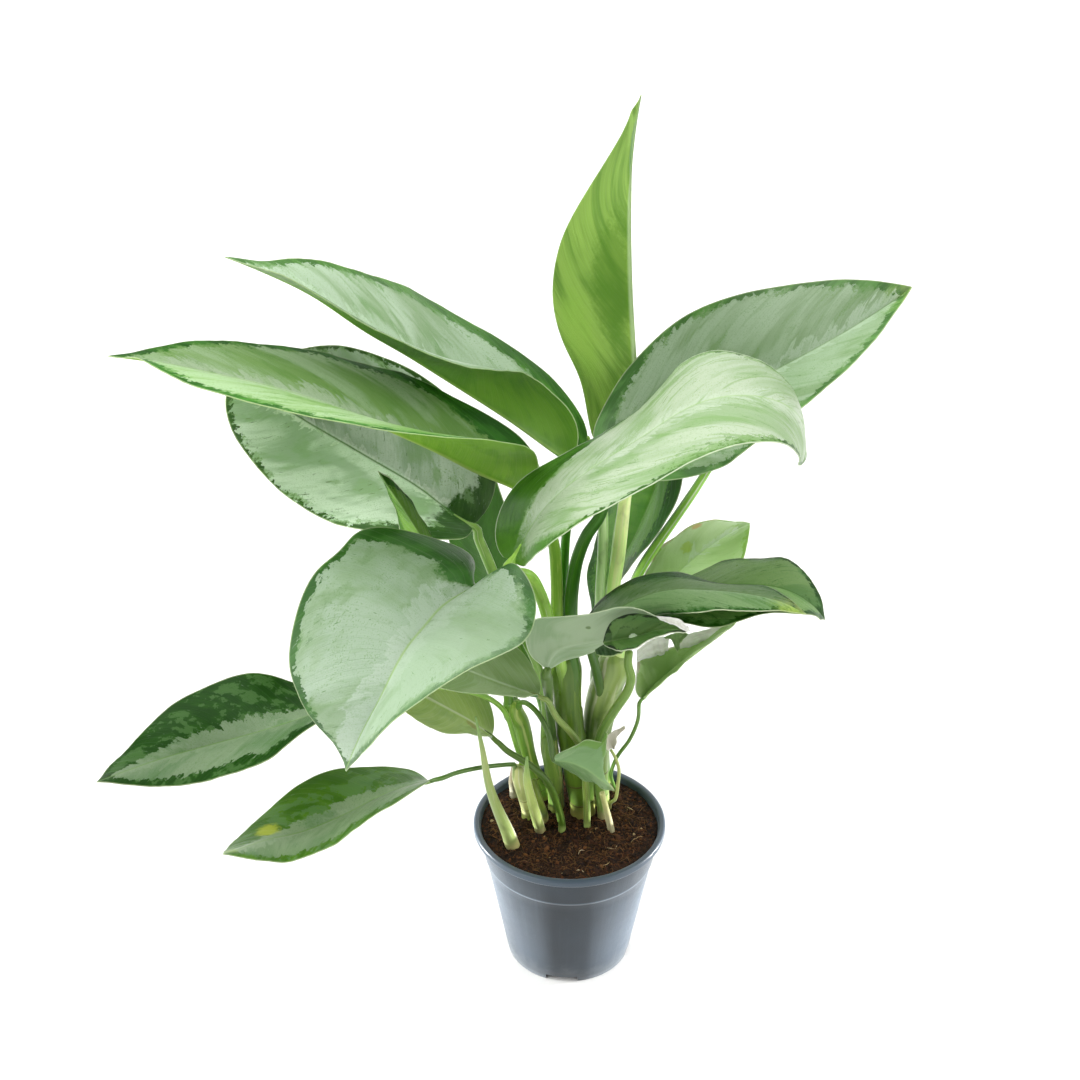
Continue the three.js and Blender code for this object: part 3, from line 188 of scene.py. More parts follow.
        ((-180.6, -113.9, 160.8), (-186.4, -106.5, 161.5), (-194.5, -104.9, 158)),
        ((-187.4, -116.6, 165), (-190.2, -113.5, 165.1), (-193.2, -112.5, 163.7)),
        ((-191.8, -118.7, 167.9), (-192.6, -118.2, 167.6), (-192.7, -117.7, 167.3)),
    ],
    "leaf_spear": [
        ((-69.6, -14.5, 275.4), (-68.5, -15.9, 275.4), (-68.7, -14.2, 275)),
        ((-72.4, -12.7, 276.7), (-69, -16.8, 277), (-69, -11.6, 277.1)),
        ((-76.6, -11.2, 279.4), (-70, -18.5, 280.4), (-69.6, -8.7, 281.6)),
        ((-81.9, -11.9, 284.6), (-71.8, -21.3, 286.4), (-72.4, -7.8, 289.2)),
        ((-86.6, -13.8, 293), (-74.2, -24.8, 294.1), (-76.5, -8.9, 298.4)),
        ((-91.1, -17.1, 304.1), (-77.8, -28.9, 304.5), (-80.7, -12.1, 309.9)),
        ((-94.7, -20.4, 315), (-81.7, -32.3, 315), (-83.6, -15.8, 321)),
        ((-96.7, -23.1, 326.1), (-86, -34.9, 325.5), (-86.8, -20.1, 331.6)),
        ((-99.1, -26.5, 336.9), (-90.9, -36.7, 336.1), (-91, -24.7, 341.4)),
        ((-101.6, -30.3, 346.3), (-95.9, -37.7, 345.9), (-95.9, -29.4, 349.7)),
        ((-103.3, -33.9, 354), (-100.3, -38.2, 353.9), (-100.2, -33.7, 356.1)),
        ((-104.3, -36.4, 359.2), (-103.1, -38.4, 359.3), (-103.1, -36.6, 360.3)),
        ((-105.1, -37.9, 362.8), (-105, -38.5, 362.9), (-105, -38.3, 363)),
    ],
    "leaf_under_heart_1": [
        ((-19, -23.1, 208.5), (-19.6, -26, 208.7), (-19.6, -28.3, 210.3)),
        ((-18.1, -16.5, 209.8), (-21.6, -26.2, 209.7), (-19.5, -34.3, 214.4)),
        ((-20.5, -8.6, 213.8), (-25.6, -26.8, 211.6), (-19.5, -41.9, 219.6)),
        ((-27.5, -2.3, 223.1), (-32.4, -28, 215.1), (-19.7, -48.9, 224.4)),
        ((-40.1, -0.4, 231.6), (-40.5, -30.2, 220.2), (-23.4, -55.3, 228.9)),
        ((-56.4, -3.8, 240.9), (-50.2, -34.7, 227.9), (-31.1, -62.1, 234)),
        ((-70.7, -11.7, 249.2), (-59.1, -40.2, 236.1), (-41.7, -68.6, 239.8)),
        ((-82.1, -21.8, 255.6), (-67.6, -46.2, 244.6), (-56.3, -74.4, 245.1)),
        ((-89.7, -32.7, 260.5), (-76.3, -52.2, 253.1), (-74, -76.8, 248.5)),
        ((-93.7, -43.2, 264.5), (-84.9, -57.5, 260.7), (-88, -74.7, 254.8)),
        ((-96.8, -53, 268.6), (-92.5, -61.7, 266.9), (-95.7, -71.2, 262.9)),
        ((-99.3, -60.3, 271.4), (-97.7, -64.4, 270.9), (-99, -68.5, 269.3)),
        ((-101.3, -65.3, 273.3), (-101.2, -66.2, 273.7), (-101, -67, 273.4)),
    ],
    "leaf_under_heart_2": [
        ((-47.2, -13.7, 170.7), (-47.1, -16, 172.3), (-47, -18, 173.7)),
        ((-46.8, -7.9, 170.2), (-48.5, -15.8, 173.5), (-46.8, -23.2, 177.4)),
        ((-45.8, -0.1, 173.1), (-51.4, -15.6, 175.9), (-46.6, -29.7, 182.1)),
        ((-48.7, 6.8, 181.3), (-56.3, -15.4, 180.1), (-47.4, -35.6, 186.6)),
        ((-57.5, 11, 191.6), (-62.4, -15.8, 185.4), (-51.1, -40.7, 191.1)),
        ((-71.1, 10.3, 202.6), (-70.4, -18, 192.6), (-58.3, -45.2, 196.1)),
        ((-83.8, 5.1, 211.6), (-77.7, -21.3, 200.2), (-68.1, -49.1, 200.1)),
        ((-94.3, -2.6, 218.9), (-84.6, -25.4, 208), (-80.1, -51.7, 204.5)),
        ((-102.1, -12.2, 222.7), (-91.2, -29.9, 216), (-91.4, -51.7, 211.7)),
        ((-105.5, -21.4, 227.1), (-97, -33.8, 223.8), (-99.8, -49.4, 220.3)),
        ((-106.4, -29.6, 231.9), (-101.7, -36.8, 230.6), (-104, -45.8, 228.7)),
        ((-106.6, -35.5, 235.5), (-104.8, -38.9, 235.2), (-105.7, -42.9, 234.5)),
        ((-107.1, -39.5, 237.9), (-106.9, -40.2, 238.2), (-106.8, -41.2, 238.2)),
    ],
    "leaf_right_low_front": [
        ((10.5, -11.2, 247), (11.8, -12.2, 244.8), (14.3, -12.5, 245.1)),
        ((8.5, -9.4, 250.6), (12.6, -14.5, 247.2), (21.2, -14.7, 247.1)),
        ((7.7, -7.5, 251.4), (14.4, -18.7, 252), (30.1, -19, 251.8)),
        ((11.9, -5.5, 255.8), (17.8, -24.9, 260.1), (39.1, -26.4, 261.8)),
        ((22.6, -2.4, 264.2), (24.1, -28.9, 269.8), (47.8, -36.1, 270.6)),
        ((38.6, 0.4, 274.2), (37.8, -29.2, 278.2), (56.7, -47.2, 278.7)),
        ((60.9, -0.4, 278.1), (54, -28, 282.6), (63.6, -53.5, 283.3)),
        ((83.7, -7.7, 276), (71.3, -29.5, 283.6), (74.3, -55.4, 285.1)),
        ((102.7, -17.2, 278.6), (88.7, -32.8, 284.2), (88.9, -54.5, 285)),
        ((115.9, -27.4, 280.3), (104.3, -37, 283.8), (103.5, -52.4, 284.2)),
        ((123.1, -36, 279.3), (116.5, -40.9, 282.1), (115.6, -49.8, 282.2)),
        ((126.6, -41.8, 278.4), (124.1, -44, 279.7), (123.5, -47.8, 279.8)),
        ((129.2, -45.5, 277.6), (129.1, -46.1, 278), (128.9, -46.7, 278.3)),
    ],
    "leaf_right_low_back": [
        ((41.1, 16.6, 240.6), (40.9, 14, 242.2), (40.7, 11.6, 243.6)),
        ((42.8, 22.8, 239.1), (43.3, 13.6, 243.7), (40.3, 5.2, 247.6)),
        ((47.1, 31, 240.5), (48.1, 12.8, 246.8), (39.8, -2.9, 252.6)),
        ((59.7, 36.8, 245.4), (56, 11, 252), (41.5, -11.3, 256.9)),
        ((75.6, 38.4, 254.3), (65.8, 7.7, 258.2), (50.4, -21, 259.2)),
        ((92.7, 34.4, 264.9), (78.4, 2.4, 265.9), (66.9, -30.3, 262)),
        ((106.8, 27.7, 271.7), (91.6, -3.2, 271.3), (85.6, -36.8, 264.7)),
        ((118.8, 20.9, 276.2), (105.5, -7.5, 273.9), (105.1, -38.5, 272.5)),
        ((130.3, 13.9, 275.9), (119.7, -9.6, 272.6), (124.1, -35, 270.9)),
        ((138.7, 7.1, 268.1), (131.4, -9.8, 267), (137, -27.4, 264.6)),
        ((143.9, 0.7, 259.8), (139.6, -9, 259.9), (143, -19, 257.8)),
        ((146.2, -4, 253.9), (144.1, -8.4, 254.2), (145.2, -12.5, 253.5)),
        ((147.1, -6.8, 250), (147, -7.9, 250.3), (146.9, -8.5, 250.6)),
    ],
    "leaf_right_up_small": [
        ((47.8, 48.2, 228.3), (47.7, 46, 229.6), (47.5, 43.9, 230.9)),
        ((47.8, 53.5, 226.5), (48.8, 46.5, 230.7), (47.2, 39.1, 233.9)),
        ((47.1, 60.8, 226.5), (51.1, 47.4, 232.8), (47.9, 33, 237.5)),
        ((46.5, 68.2, 230.9), (55.1, 49.1, 236.5), (54.7, 28, 240.6)),
        ((50, 74.8, 237.6), (60.2, 51.2, 241.1), (65.5, 25.9, 243.1)),
        ((56.2, 80.1, 246.7), (67.1, 54.2, 247), (78.6, 28.8, 246.6)),
        ((65.1, 83.5, 254.1), (74.1, 57.2, 252.5), (89.8, 34.4, 249.7)),
        ((74.2, 86.7, 260.9), (81.4, 60.4, 257.5), (98.9, 39.2, 253.5)),
        ((86.6, 88.5, 262.8), (89.2, 63.5, 261.9), (104.4, 43.2, 262.8)),
        ((98.1, 87.7, 263.1), (96.5, 66.1, 265.6), (106.6, 48.1, 272.2)),
        ((105.9, 83.4, 264.7), (102.9, 68, 268.4), (108, 55, 276.1)),
        ((109.2, 77.5, 267.6), (107.3, 69.3, 270.3), (109.1, 62.1, 275)),
        ((110.4, 71.6, 270.7), (110.2, 70.1, 271.6), (110, 68.5, 272.4)),
    ],
    "leaf_center_curled": [
        ((-14.4, -44.2, 239.6), (-14.5, -46, 241), (-15.7, -46.8, 242.6)),
        ((-13.2, -39.9, 237.3), (-14.2, -45.9, 242.5), (-19.6, -47.3, 246.9)),
        ((-9.3, -34.7, 236), (-13.5, -45.5, 245.5), (-24.5, -47.4, 253.3)),
        ((-3.5, -30.9, 237), (-11.4, -45.2, 250.1), (-26.9, -46.7, 265.1)),
        ((3.6, -29.1, 238.6), (-6.8, -45.6, 254.7), (-24.1, -49.4, 274.1)),
        ((12.3, -28.6, 242.5), (1.6, -47.6, 258.7), (-15.6, -53.5, 280)),
        ((23.2, -30.1, 248.2), (11.6, -49.7, 262), (4.7, -57.8, 284.1)),
        ((34.9, -34.6, 253), (22.4, -50.9, 265.8), (21, -57.5, 288.1)),
        ((45.4, -39.7, 259.5), (33.5, -51.7, 270), (34.1, -56.9, 289.1)),
        ((53.6, -45.5, 265.7), (44.1, -53.3, 272.8), (45.1, -59.1, 284.2)),
        ((58.7, -50.9, 270.5), (53.1, -55.3, 274.6), (54.7, -58.7, 281.3)),
        ((61.5, -54.8, 273.8), (59.2, -56.9, 275.6), (60.1, -58.1, 278.8)),
        ((63.5, -57.3, 275.9), (63.4, -57.9, 276.3), (63.1, -58.2, 276.6)),
    ],
    "leaf_center_small": [
        ((16.5, -62.9, 271.5), (16.1, -63.9, 270.4), (17, -65.3, 269.7)),
        ((17.1, -62.1, 274.2), (17.1, -63.8, 270.6), (19.1, -67, 269.2)),
        ((18.1, -61.6, 278), (19.1, -63.4, 270.9), (22.1, -68.8, 269.1)),
        ((20.8, -60.5, 282), (22.6, -62.9, 271.5), (24.1, -70.9, 269.6)),
        ((26.1, -59.4, 285.1), (26.9, -62.5, 272.2), (24.8, -72.5, 270.7)),
        ((34.3, -59.1, 286.5), (32.5, -62.4, 273.2), (27.6, -73.6, 271.9)),
        ((43.3, -59.7, 285.2), (38, -62.4, 274.9), (32.5, -74.1, 273.9)),
        ((51.6, -59.8, 283.5), (43.4, -62.4, 276.9), (39.1, -73.8, 276.8)),
        ((56.9, -59.4, 282.5), (49, -62.7, 278.3), (46.2, -72.2, 279.4)),
        ((59.8, -59.8, 280.5), (54.2, -63.2, 278.5), (53.2, -70, 280)),
        ((61.5, -60.7, 278.9), (58.6, -63.6, 278.3), (58.6, -67.5, 279.4)),
        ((62.5, -61.7, 278.1), (61.5, -63.8, 278.2), (61.6, -65.5, 278.8)),
        ((63.3, -62.7, 277.6), (63.4, -63.9, 278.1), (63.4, -64.4, 278.4)),
    ],
    "leaf_right_lower": [
        ((41.7, 5.7, 186.6), (43.8, 6, 186.1), (44.2, 4.6, 187.5)),
        ((39.3, 7.8, 190.2), (44.6, 7.3, 186.2), (46.5, 2.8, 190.8)),
        ((39.4, 12.4, 196.1), (46.1, 9.8, 186.4), (50.2, 1.9, 195.4)),
        ((40.1, 18.4, 200.5), (49, 14.2, 186.7), (54.7, 3.3, 199.5)),
        ((40.6, 23.6, 202), (53.1, 19.1, 187.7), (59.2, 5.4, 202.8)),
        ((40.8, 26, 200.4), (59.5, 24.3, 190.4), (62.9, 7.3, 205.4)),
        ((51.8, 29.3, 204.1), (66.7, 27.5, 195.2), (67.3, 9.4, 208.5)),
        ((84.1, 37.8, 210.2), (74.4, 28.7, 201.6), (75.1, 12.4, 213.7)),
        ((93.5, 38.1, 216.4), (82.4, 28.3, 209.3), (84, 15.6, 219.5)),
        ((97.6, 34, 222.2), (89.7, 26.9, 216.8), (91.3, 18.3, 224.6)),
        ((99.7, 29.4, 227), (95.4, 25.4, 223.6), (96.1, 20.8, 228.4)),
        ((100.5, 26, 229.9), (98.9, 24.5, 228.5), (99.1, 22.5, 230.6)),
        ((101.2, 24, 231.8), (101.2, 23.9, 231.8), (101.1, 23.4, 232.2)),
    ],
    "leaf_back_right": [
        ((81.1, 62.5, 317.3), (83.7, 62, 315.1), (86.6, 61.3, 317.2)),
        ((77.3, 65.7, 323.4), (84.9, 65.7, 314.1), (94.7, 62.8, 322.2)),
        ((79.2, 72.9, 334), (87, 73.1, 312.3), (105.2, 67.5, 327.3)),
        ((85.3, 89.8, 341.4), (90.7, 85.7, 309.2), (115.7, 76, 330.2)),
        ((92, 117.4, 337.9), (96.1, 100.9, 306.4), (122.9, 83.7, 331.1)),
        ((88.7, 154, 303.2), (106, 118.1, 308.8), (128.8, 90.2, 333.9)),
        ((99.3, 168.7, 318.2), (118.2, 129.4, 318.7), (131.6, 92.2, 335.9)),
        ((120.2, 168.4, 348.7), (130.5, 133.7, 333.2), (134.9, 94.8, 338.2)),
        ((139.6, 152.5, 370.6), (142.5, 129.1, 348.6), (141.4, 96.9, 344.5)),
        ((149, 132.5, 382.3), (150.9, 119.6, 362.9), (149.3, 97.3, 356.3)),
        ((153.4, 115.5, 386), (156, 109.6, 374.5), (156, 97, 369.2)),
        ((157.2, 104.6, 387.2), (159, 102.4, 382.2), (158.8, 97.1, 379.4)),
        ((160, 97.8, 387.9), (160.9, 97.5, 387.2), (160.5, 96.5, 386.5)),
    ],
    "leaf_small_front": [
        ((-10.5, -23, 161.8), (-11.1, -23.1, 160.6), (-11.2, -21.9, 159.7)),
        ((-8.6, -22.9, 165), (-10.3, -23.2, 160.6), (-11.2, -18.9, 157.5)),
        ((-4.5, -23.2, 168.1), (-8.8, -23.4, 160.7), (-10.3, -15.6, 154.2)),
        ((0.2, -23.2, 170.8), (-6.1, -23.8, 160.7), (-7.3, -14.6, 150.6)),
        ((5.2, -22.8, 173.4), (-2.7, -24.2, 160.7), (-3.3, -14.1, 147.4)),
        ((11.3, -21.7, 175.2), (1.6, -25.1, 160.1), (0.9, -14.7, 145.3)),
        ((20.5, -21.5, 173.7), (5.5, -26, 158.8), (4.1, -15.9, 144.3)),
        ((21.4, -17.6, 177.6), (9.4, -26.8, 157.1), (7.3, -17.8, 143.8)),
        ((20.1, -20.5, 167.7), (13.4, -27.6, 154.3), (11.2, -20.6, 143.3)),
        ((19.7, -20.6, 163.4), (17.5, -28.4, 150.9), (15.9, -24, 142.7)),
        ((19, -24.3, 155), (21.4, -28.9, 147.8), (20.6, -26.8, 142.7)),
        ((19.5, -26.1, 150.9), (24.3, -29.2, 145.5), (23.9, -28.5, 143.1)),
        ((23.1, -27.9, 147.2), (26.2, -29.4, 144), (26.1, -29.5, 143.4)),
    ],
    "leaf_back_hanging": [
        ((57.9, 68.3, 319.1), (55.8, 69.9, 319.7), (52.7, 68.8, 319.9)),
        ((62.6, 63.5, 317.1), (55.3, 70.2, 316.7), (45.5, 69.7, 317.6)),
        ((66.3, 56.2, 312.9), (54.4, 70.8, 310.7), (37.9, 75.7, 312.5)),
        ((63.2, 47.8, 301.3), (52.7, 71.8, 300.4), (36.7, 89, 305.2)),
        ((54.1, 42.5, 285.2), (49.9, 73.5, 288), (35.8, 99.8, 296.7)),
        ((43, 43.4, 265.6), (45.3, 76.6, 272.2), (30.3, 105.5, 282.4)),
        ((34.5, 48.5, 247.9), (40.5, 80.1, 256.7), (24.5, 108.3, 265.8)),
        ((27, 56, 232.5), (35.3, 84, 241.5), (19.8, 109.7, 248.5)),
        ((21.2, 65.5, 219), (30, 87.7, 226.5), (15.7, 108.5, 231.1)),
        ((17.7, 75.6, 208), (24.6, 91.3, 213), (12.8, 105.9, 215.4)),
        ((16.2, 85.3, 199.9), (20.1, 94.4, 202.3), (13.9, 103.1, 203.2)),
        ((15.9, 92.5, 194.7), (17.2, 96.4, 195.2), (14.8, 100.6, 195.4)),
        ((15.2, 97, 190.9), (15.4, 97.8, 190.5), (15.2, 99, 190.5)),
    ],
    "leaf_back_left": [
        ((-39.6, 33.6, 225.8), (-39.7, 36, 224.3), (-39.7, 38.2, 222.9)),
        ((-38.9, 29.8, 230.8), (-40.6, 37.9, 226), (-39.9, 43.9, 219.4)),
        ((-37, 28, 239.1), (-42.3, 41.7, 229.5), (-40, 51.2, 214.9)),
        ((-33.5, 32.4, 250.5), (-45.2, 48.3, 235.3), (-45.5, 60.7, 213.9)),
        ((-33.3, 42, 263), (-48.9, 56.7, 242.6), (-56.3, 71.1, 217.5)),
        ((-34.2, 56, 274.9), (-54, 67.5, 252.4), (-67.8, 84.2, 228.7)),
        ((-39, 68.9, 285), (-59.6, 77, 263), (-75.6, 96.2, 243.8)),
        ((-44.8, 80.9, 294.7), (-65.9, 84.4, 274.5), (-80.9, 104.8, 261.1)),
        ((-55.4, 88.3, 304.7), (-72.6, 89.5, 286.9), (-85.5, 107.5, 278.8)),
        ((-68.9, 90.9, 312.7), (-80, 91.8, 298), (-88.6, 105.3, 293.8)),
        ((-80, 90.5, 315.5), (-85.7, 92.3, 307.2), (-90.3, 100.3, 305.1)),
        ((-87, 90.8, 316.9), (-89.3, 92.2, 313.3), (-91.1, 95.8, 312.1)),
        ((-91.3, 91.2, 317.7), (-91.7, 92.1, 317.3), (-91.8, 92.9, 316.9)),
    ],
}
# centre-line points and radius, from the base up
STEMS = {
    "cane_main": [(8.1, 10.8, 95.9, 7.4), (8.1, 10.8, 98.9, 7.4), (5.2, 5.5, 125, 7.8), (-0.2, 2.1, 165.3, 8.2), (-2.2, 3.9, 193.4, 8.8), (-2.9, 4, 211.6, 9.4), (-2.9, 4, 217.6, 9.4)],
    "cane_right": [(20.4, 20, 95.9, 5), (20.4, 20, 98.9, 5), (17.8, 13.6, 126.6, 6.1), (16.7, 11.4, 154.9, 8.2), (20.6, 13.2, 183.3, 8.8), (26.1, 14, 203.7, 9.2), (26.1, 14, 209.7, 9.2)],
    "cane_back": [(21.6, 37.7, 95.9, 5), (21.6, 37.7, 98.9, 5), (20, 37.8, 130, 5.4), (19, 40, 165, 6), (19.5, 41.6, 183, 6.6), (19.5, 41.6, 189, 6.6)],
    "cane_left": [(-17.8, 26.2, 95.9, 4.6), (-17.8, 26.2, 98.9, 4.6), (-22.7, 7.8, 129.4, 4.8), (-27, 1.2, 151, 5), (-31.1, 0.5, 172.3, 5.6), (-34.6, -0.6, 180.2, 6.4), (-34.6, -0.6, 186.2, 6.4)],
    "cane_mid": [(-8.3, 16.9, 95.9, 5), (-8.3, 16.9, 98.9, 5), (-10.4, 2.1, 135.1, 5.2), (-12.9, -2.1, 156.3, 5.4), (-12.9, -2.1, 162.3, 5.4)],
    "cane_fore": [(-26.6, 6.7, 95.9, 3.4), (-26.6, 6.7, 98.9, 3.4), (-29.4, -10.3, 127.8, 3.4), (-31.7, -12.1, 141.2, 4.2), (-31.7, -12.1, 147.2, 4.2)],
    "petiole_left_mid": [(-8.5, 1.6, 218, 3.7), (-8.5, 1.6, 221, 3.7), (-8.5, 0, 250.8, 3.7), (-9.2, 0, 280.6, 3.5), (-11, -3, 300.1, 3.3), (-16.7, -8, 321.6, 3), (-20.1, 20.6, 314.3, 2.6), (-23.9, 16.6, 318.6, 2.6)],
    "petiole_right_back": [(0.5, 0.6, 218, 4), (0.5, 0.6, 221, 4), (-0.3, 0, 247.4, 4), (0.2, 0, 265.8, 3.9), (2.9, 1, 285.3, 3.8), (8.4, 1, 301.8, 3.6), (15.7, 2, 313.6, 3.3), (19, 5, 325.5, 3), (18.8, 8, 337.3, 2.8), (18.2, 3.5, 350.6, 2.6), (21, 9.7, 349.1, 2.6)],
    "petiole_left_top": [(-3.7, 9.6, 218, 2.9), (-3.7, 9.6, 221, 2.9), (-4.9, 9.5, 253.3, 2.8), (-4.4, 10, 275.4, 2.7), (-3.4, 10, 296.8, 2.6), (-0.7, 9, 320.2, 2.5), (1.4, 10, 332.5, 2.4), (5.1, 10, 339.7, 2.2), (2.1, 12.5, 340.6, 2.2)],
    "petiole_front_arch": [(-6.3, -5, 218, 3.3), (-6.3, -5, 221, 3.3), (-13.2, -11, 250.8, 3.6), (-18.4, -18, 274, 3.6), (-25.1, -27, 291.8, 3.3), (-36.9, -35.6, 300.5, 2.8), (-34.8, -36.4, 305, 2.8)],
    "petiole_top_upright": [(29.3, 13.5, 210.1, 4.2), (29.3, 13.5, 213.1, 4.2), (25.5, 13.5, 238.3, 4.2), (24.5, 12.5, 256.9, 4.2), (27.5, 13, 286.4, 4.2), (30, 19, 311.5, 3.8), (32.5, 29, 323.9, 3.2), (32.5, 49.6, 318.6, 2.8), (33.5, 49.9, 324.6, 2.8)],
    "petiole_new_leaf": [(20.9, 14.8, 210.1, 3.2), (20.9, 14.8, 213.1, 3.2), (17.3, 14.5, 236.3, 3.2), (17, 13.5, 252.2, 3.2), (18.1, 14, 291.2, 3.2), (17.2, 17, 315.9, 3), (13.5, 19, 339.3, 2.4), (8.7, 20, 354.7, 0.8)],
    "petiole_low_front": [(24.5, 6.6, 210.1, 2.9), (24.5, 6.6, 213.1, 2.9), (17, -9, 222.1, 2.7), (9.8, -7.5, 239.4, 2.4), (11.1, -10.7, 243, 2.4)],
    "petiole_low_back": [(26.9, 21.4, 210.1, 2.8), (26.9, 21.4, 213.1, 2.8), (31.1, 20.5, 222.1, 2.6), (34.8, 15.1, 238.3, 2.2), (38.9, 14.4, 240.9, 2.2)],
    "petiole_back_right": [(23.1, 42.8, 189.4, 3.1), (23.1, 42.8, 192.4, 3.1), (26.2, 45, 202.7, 3.1), (34.3, 47, 226.9, 3.1), (41.2, 48, 247.6, 3.1), (45.3, 49, 256.2, 3.1), (54, 51, 270.4, 3), (71.4, 56, 297.1, 2.8), (80.1, 60, 310.5, 2.6), (82.3, 56.9, 316.3, 2.2), (83.1, 59.7, 315.6, 2.2)],
    "petiole_right_small": [(19.3, 37.4, 189.4, 2.1), (19.3, 37.4, 192.4, 2.1), (26, 37.5, 208, 2.1), (36, 42, 222, 2), (43.2, 44.1, 225.5, 1.8), (46, 45.3, 228.1, 1.8)],
    "petiole_back_hanging": [(16.3, 44.6, 189.4, 2.6), (16.3, 44.6, 192.4, 2.6), (25, 50, 240, 2.5), (29, 53, 280, 2.4), (36, 60, 314, 2.3), (46, 68, 333, 2.2), (53, 71, 336, 2), (56.6, 69.4, 325, 1.9), (56.1, 69.7, 322.1, 1.9)],
    "petiole_front_heart": [(-37.2, -1.6, 186.6, 3), (-37.2, -1.6, 189.6, 3), (-39.6, 2.4, 214.6, 2.8), (-44.5, 2.6, 250, 2.8), (-44, -18, 278, 2.8), (-43, -42, 295, 2.7), (-45, -52.7, 303.2, 2.5), (-48.6, -56.2, 303.5, 2.5)],
    "petiole_spear": [(-33.8, 3.3, 186.6, 1.9), (-33.8, 3.3, 189.6, 1.9), (-46, 9, 215, 1.9), (-57, 7, 242, 1.8), (-63, -4, 262, 1.8), (-66.6, -12.7, 268.9, 1.8), (-67.9, -14.9, 273.3, 1.8)],
    "petiole_small_front": [(-31, -3.6, 186.6, 1.6), (-31, -3.6, 189.6, 1.6), (-26.1, -9.3, 191.5, 1.6), (-18.4, -15.5, 187.9, 1.6), (-13.1, -20.1, 178.8, 1.6), (-16.5, -22.4, 160.4, 1.5), (-13.5, -22.8, 160.5, 1.5)],
    "petiole_left_wide": [(-15.6, -0.7, 162.7, 2.5), (-15.6, -0.7, 165.7, 2.5), (-15.4, -0.6, 185.5, 2.5), (-19.6, 2, 210.4, 2.7), (-27.9, 4, 231.7, 2.9), (-36, 6, 248.5, 3), (-43.5, 8, 265.8, 3.1), (-46.9, 9, 275.3, 3.1), (-50.9, 10.5, 285.9, 3), (-54.2, 12, 294.3, 2.9), (-54.6, 11.9, 299.6, 2.6), (-56.2, 12.8, 300.3, 2.6)],
    "petiole_center_curled": [(-10.7, -4.1, 162.7, 2.2), (-10.7, -4.1, 165.7, 2.2), (-13, -10.3, 191.5, 2.4), (-13.7, -18, 206.8, 2.8), (-14.4, -31, 223.3, 3.4), (-15, -46.3, 239, 3.2), (-14.9, -46.2, 239.5, 3.2)],
    "petiole_low_left_1": [(-29.7, -10.5, 147.6, 1.5), (-29.7, -10.5, 150.6, 1.5), (-32.9, -11, 163.6, 1.5), (-38.6, -14.4, 188.6, 1.6), (-46.5, -22, 203.8, 1.7), (-61.6, -34, 219, 1.8), (-86.5, -46, 229.9, 1.8), (-111.4, -53, 230.6, 1.8), (-124.5, -55.3, 228.1, 1.6), (-128, -55.1, 226.3, 1.6)],
    "petiole_under_2": [(-4.7, -6.2, 95.9, 2.4), (-4.7, -6.2, 98.9, 2.4), (-7.9, -7.1, 116, 2.4), (-14.8, -13.6, 139.3, 2.2), (-23.8, -17.7, 152.9, 2), (-38.8, -17, 164.2, 1.9), (-43, -16.3, 168.8, 1.7), (-45.3, -16.1, 170.8, 1.7)],
    "petiole_back_left": [(-9, 30.6, 95.9, 2.6), (-9, 30.6, 98.9, 2.6), (-13, 32.9, 140, 2.6), (-23, 34.3, 185, 2.5), (-34, 34, 212, 2.3), (-38, 32.2, 220.9, 2), (-38.9, 34.3, 222.8, 2)],
    "petiole_low_left_2": [(-33.7, -13.5, 147.6, 1.6), (-33.7, -13.5, 150.6, 1.6), (-35.3, -17.7, 154, 1.6), (-40.5, -24.4, 158.6, 1.6), (-52.1, -35, 164.9, 1.6), (-67.3, -49.5, 171.5, 1.6), (-75.6, -62.6, 177.1, 1.7), (-79.4, -62.2, 175.9, 1.7)],
    "petiole_under_1": [(11, -3.3, 95.9, 2.2), (11, -3.3, 98.9, 2.2), (9.9, -4.5, 124.9, 2.2), (6.3, -11.2, 161.5, 2.1), (0.2, -13.4, 174.1, 2), (-8.3, -16.5, 187.2, 2), (-16.6, -20, 198.2, 1.9), (-14.8, -25.3, 206.4, 1.7), (-17.5, -25.7, 207.7, 1.7)],
    "petiole_right_lower": [(29.1, 32.4, 95.9, 1.4), (29.1, 32.4, 98.9, 1.4), (26.6, 26.7, 112.9, 1.4), (29.8, 19, 132.7, 1.4), (37.1, 12.2, 151.3, 1.4), (41.4, 8.3, 168.3, 1.4), (41.6, 2.2, 185.8, 1.4), (42.6, 3.9, 186, 1.4)],
    "stalk_dry": [(20.6, 5.7, 95.9, 2.9), (20.6, 5.7, 98.9, 2.9), (18.7, -1.7, 122.7, 2.9), (16.4, -3.1, 146.6, 3), (19.1, -2.8, 167.3, 3), (26.1, -1.9, 182, 3), (33.7, -1, 195.2, 2.9), (35.8, -1, 205.3, 2.7), (33.8, -1, 215.2, 2.6), (34.2, -1, 223.7, 2.4)],
    "stalk_loop": [(25.9, 14.9, 95.9, 1), (25.9, 14.9, 98.9, 1), (28.7, -2, 117.5, 1.1), (29.7, -2.3, 128.5, 1.1), (30, -2.6, 138.7, 1.1), (27.4, -3, 148.8, 1), (24.8, -2.7, 153.8, 0.9)],
    "dry_remnant": [(24.4, -6.5, 156.9, 2), (24.3, -6.7, 161.9, 3.3), (25.7, -6.3, 166.8, 3), (28.6, -6.6, 170.7, 2), (32.5, -6.4, 173.9, 0.7)],
    "stub_pale": [(25.8, -6.2, 95.9, 2.2), (25.8, -6.2, 98.9, 2.2), (22.4, -7.3, 113.1, 1.9), (19.7, -8.5, 125.6, 1.7)],
    "sprout_front": [(-35.7, -20.9, 95.9, 4.6), (-35.7, -20.9, 98.9, 4.6), (-39.7, -27.1, 115.6, 3.9), (-46.3, -37, 148.1, 2.6), (-51.6, -45, 179.6, 1.6), (-54.8, -52, 212.1, 0.6)],
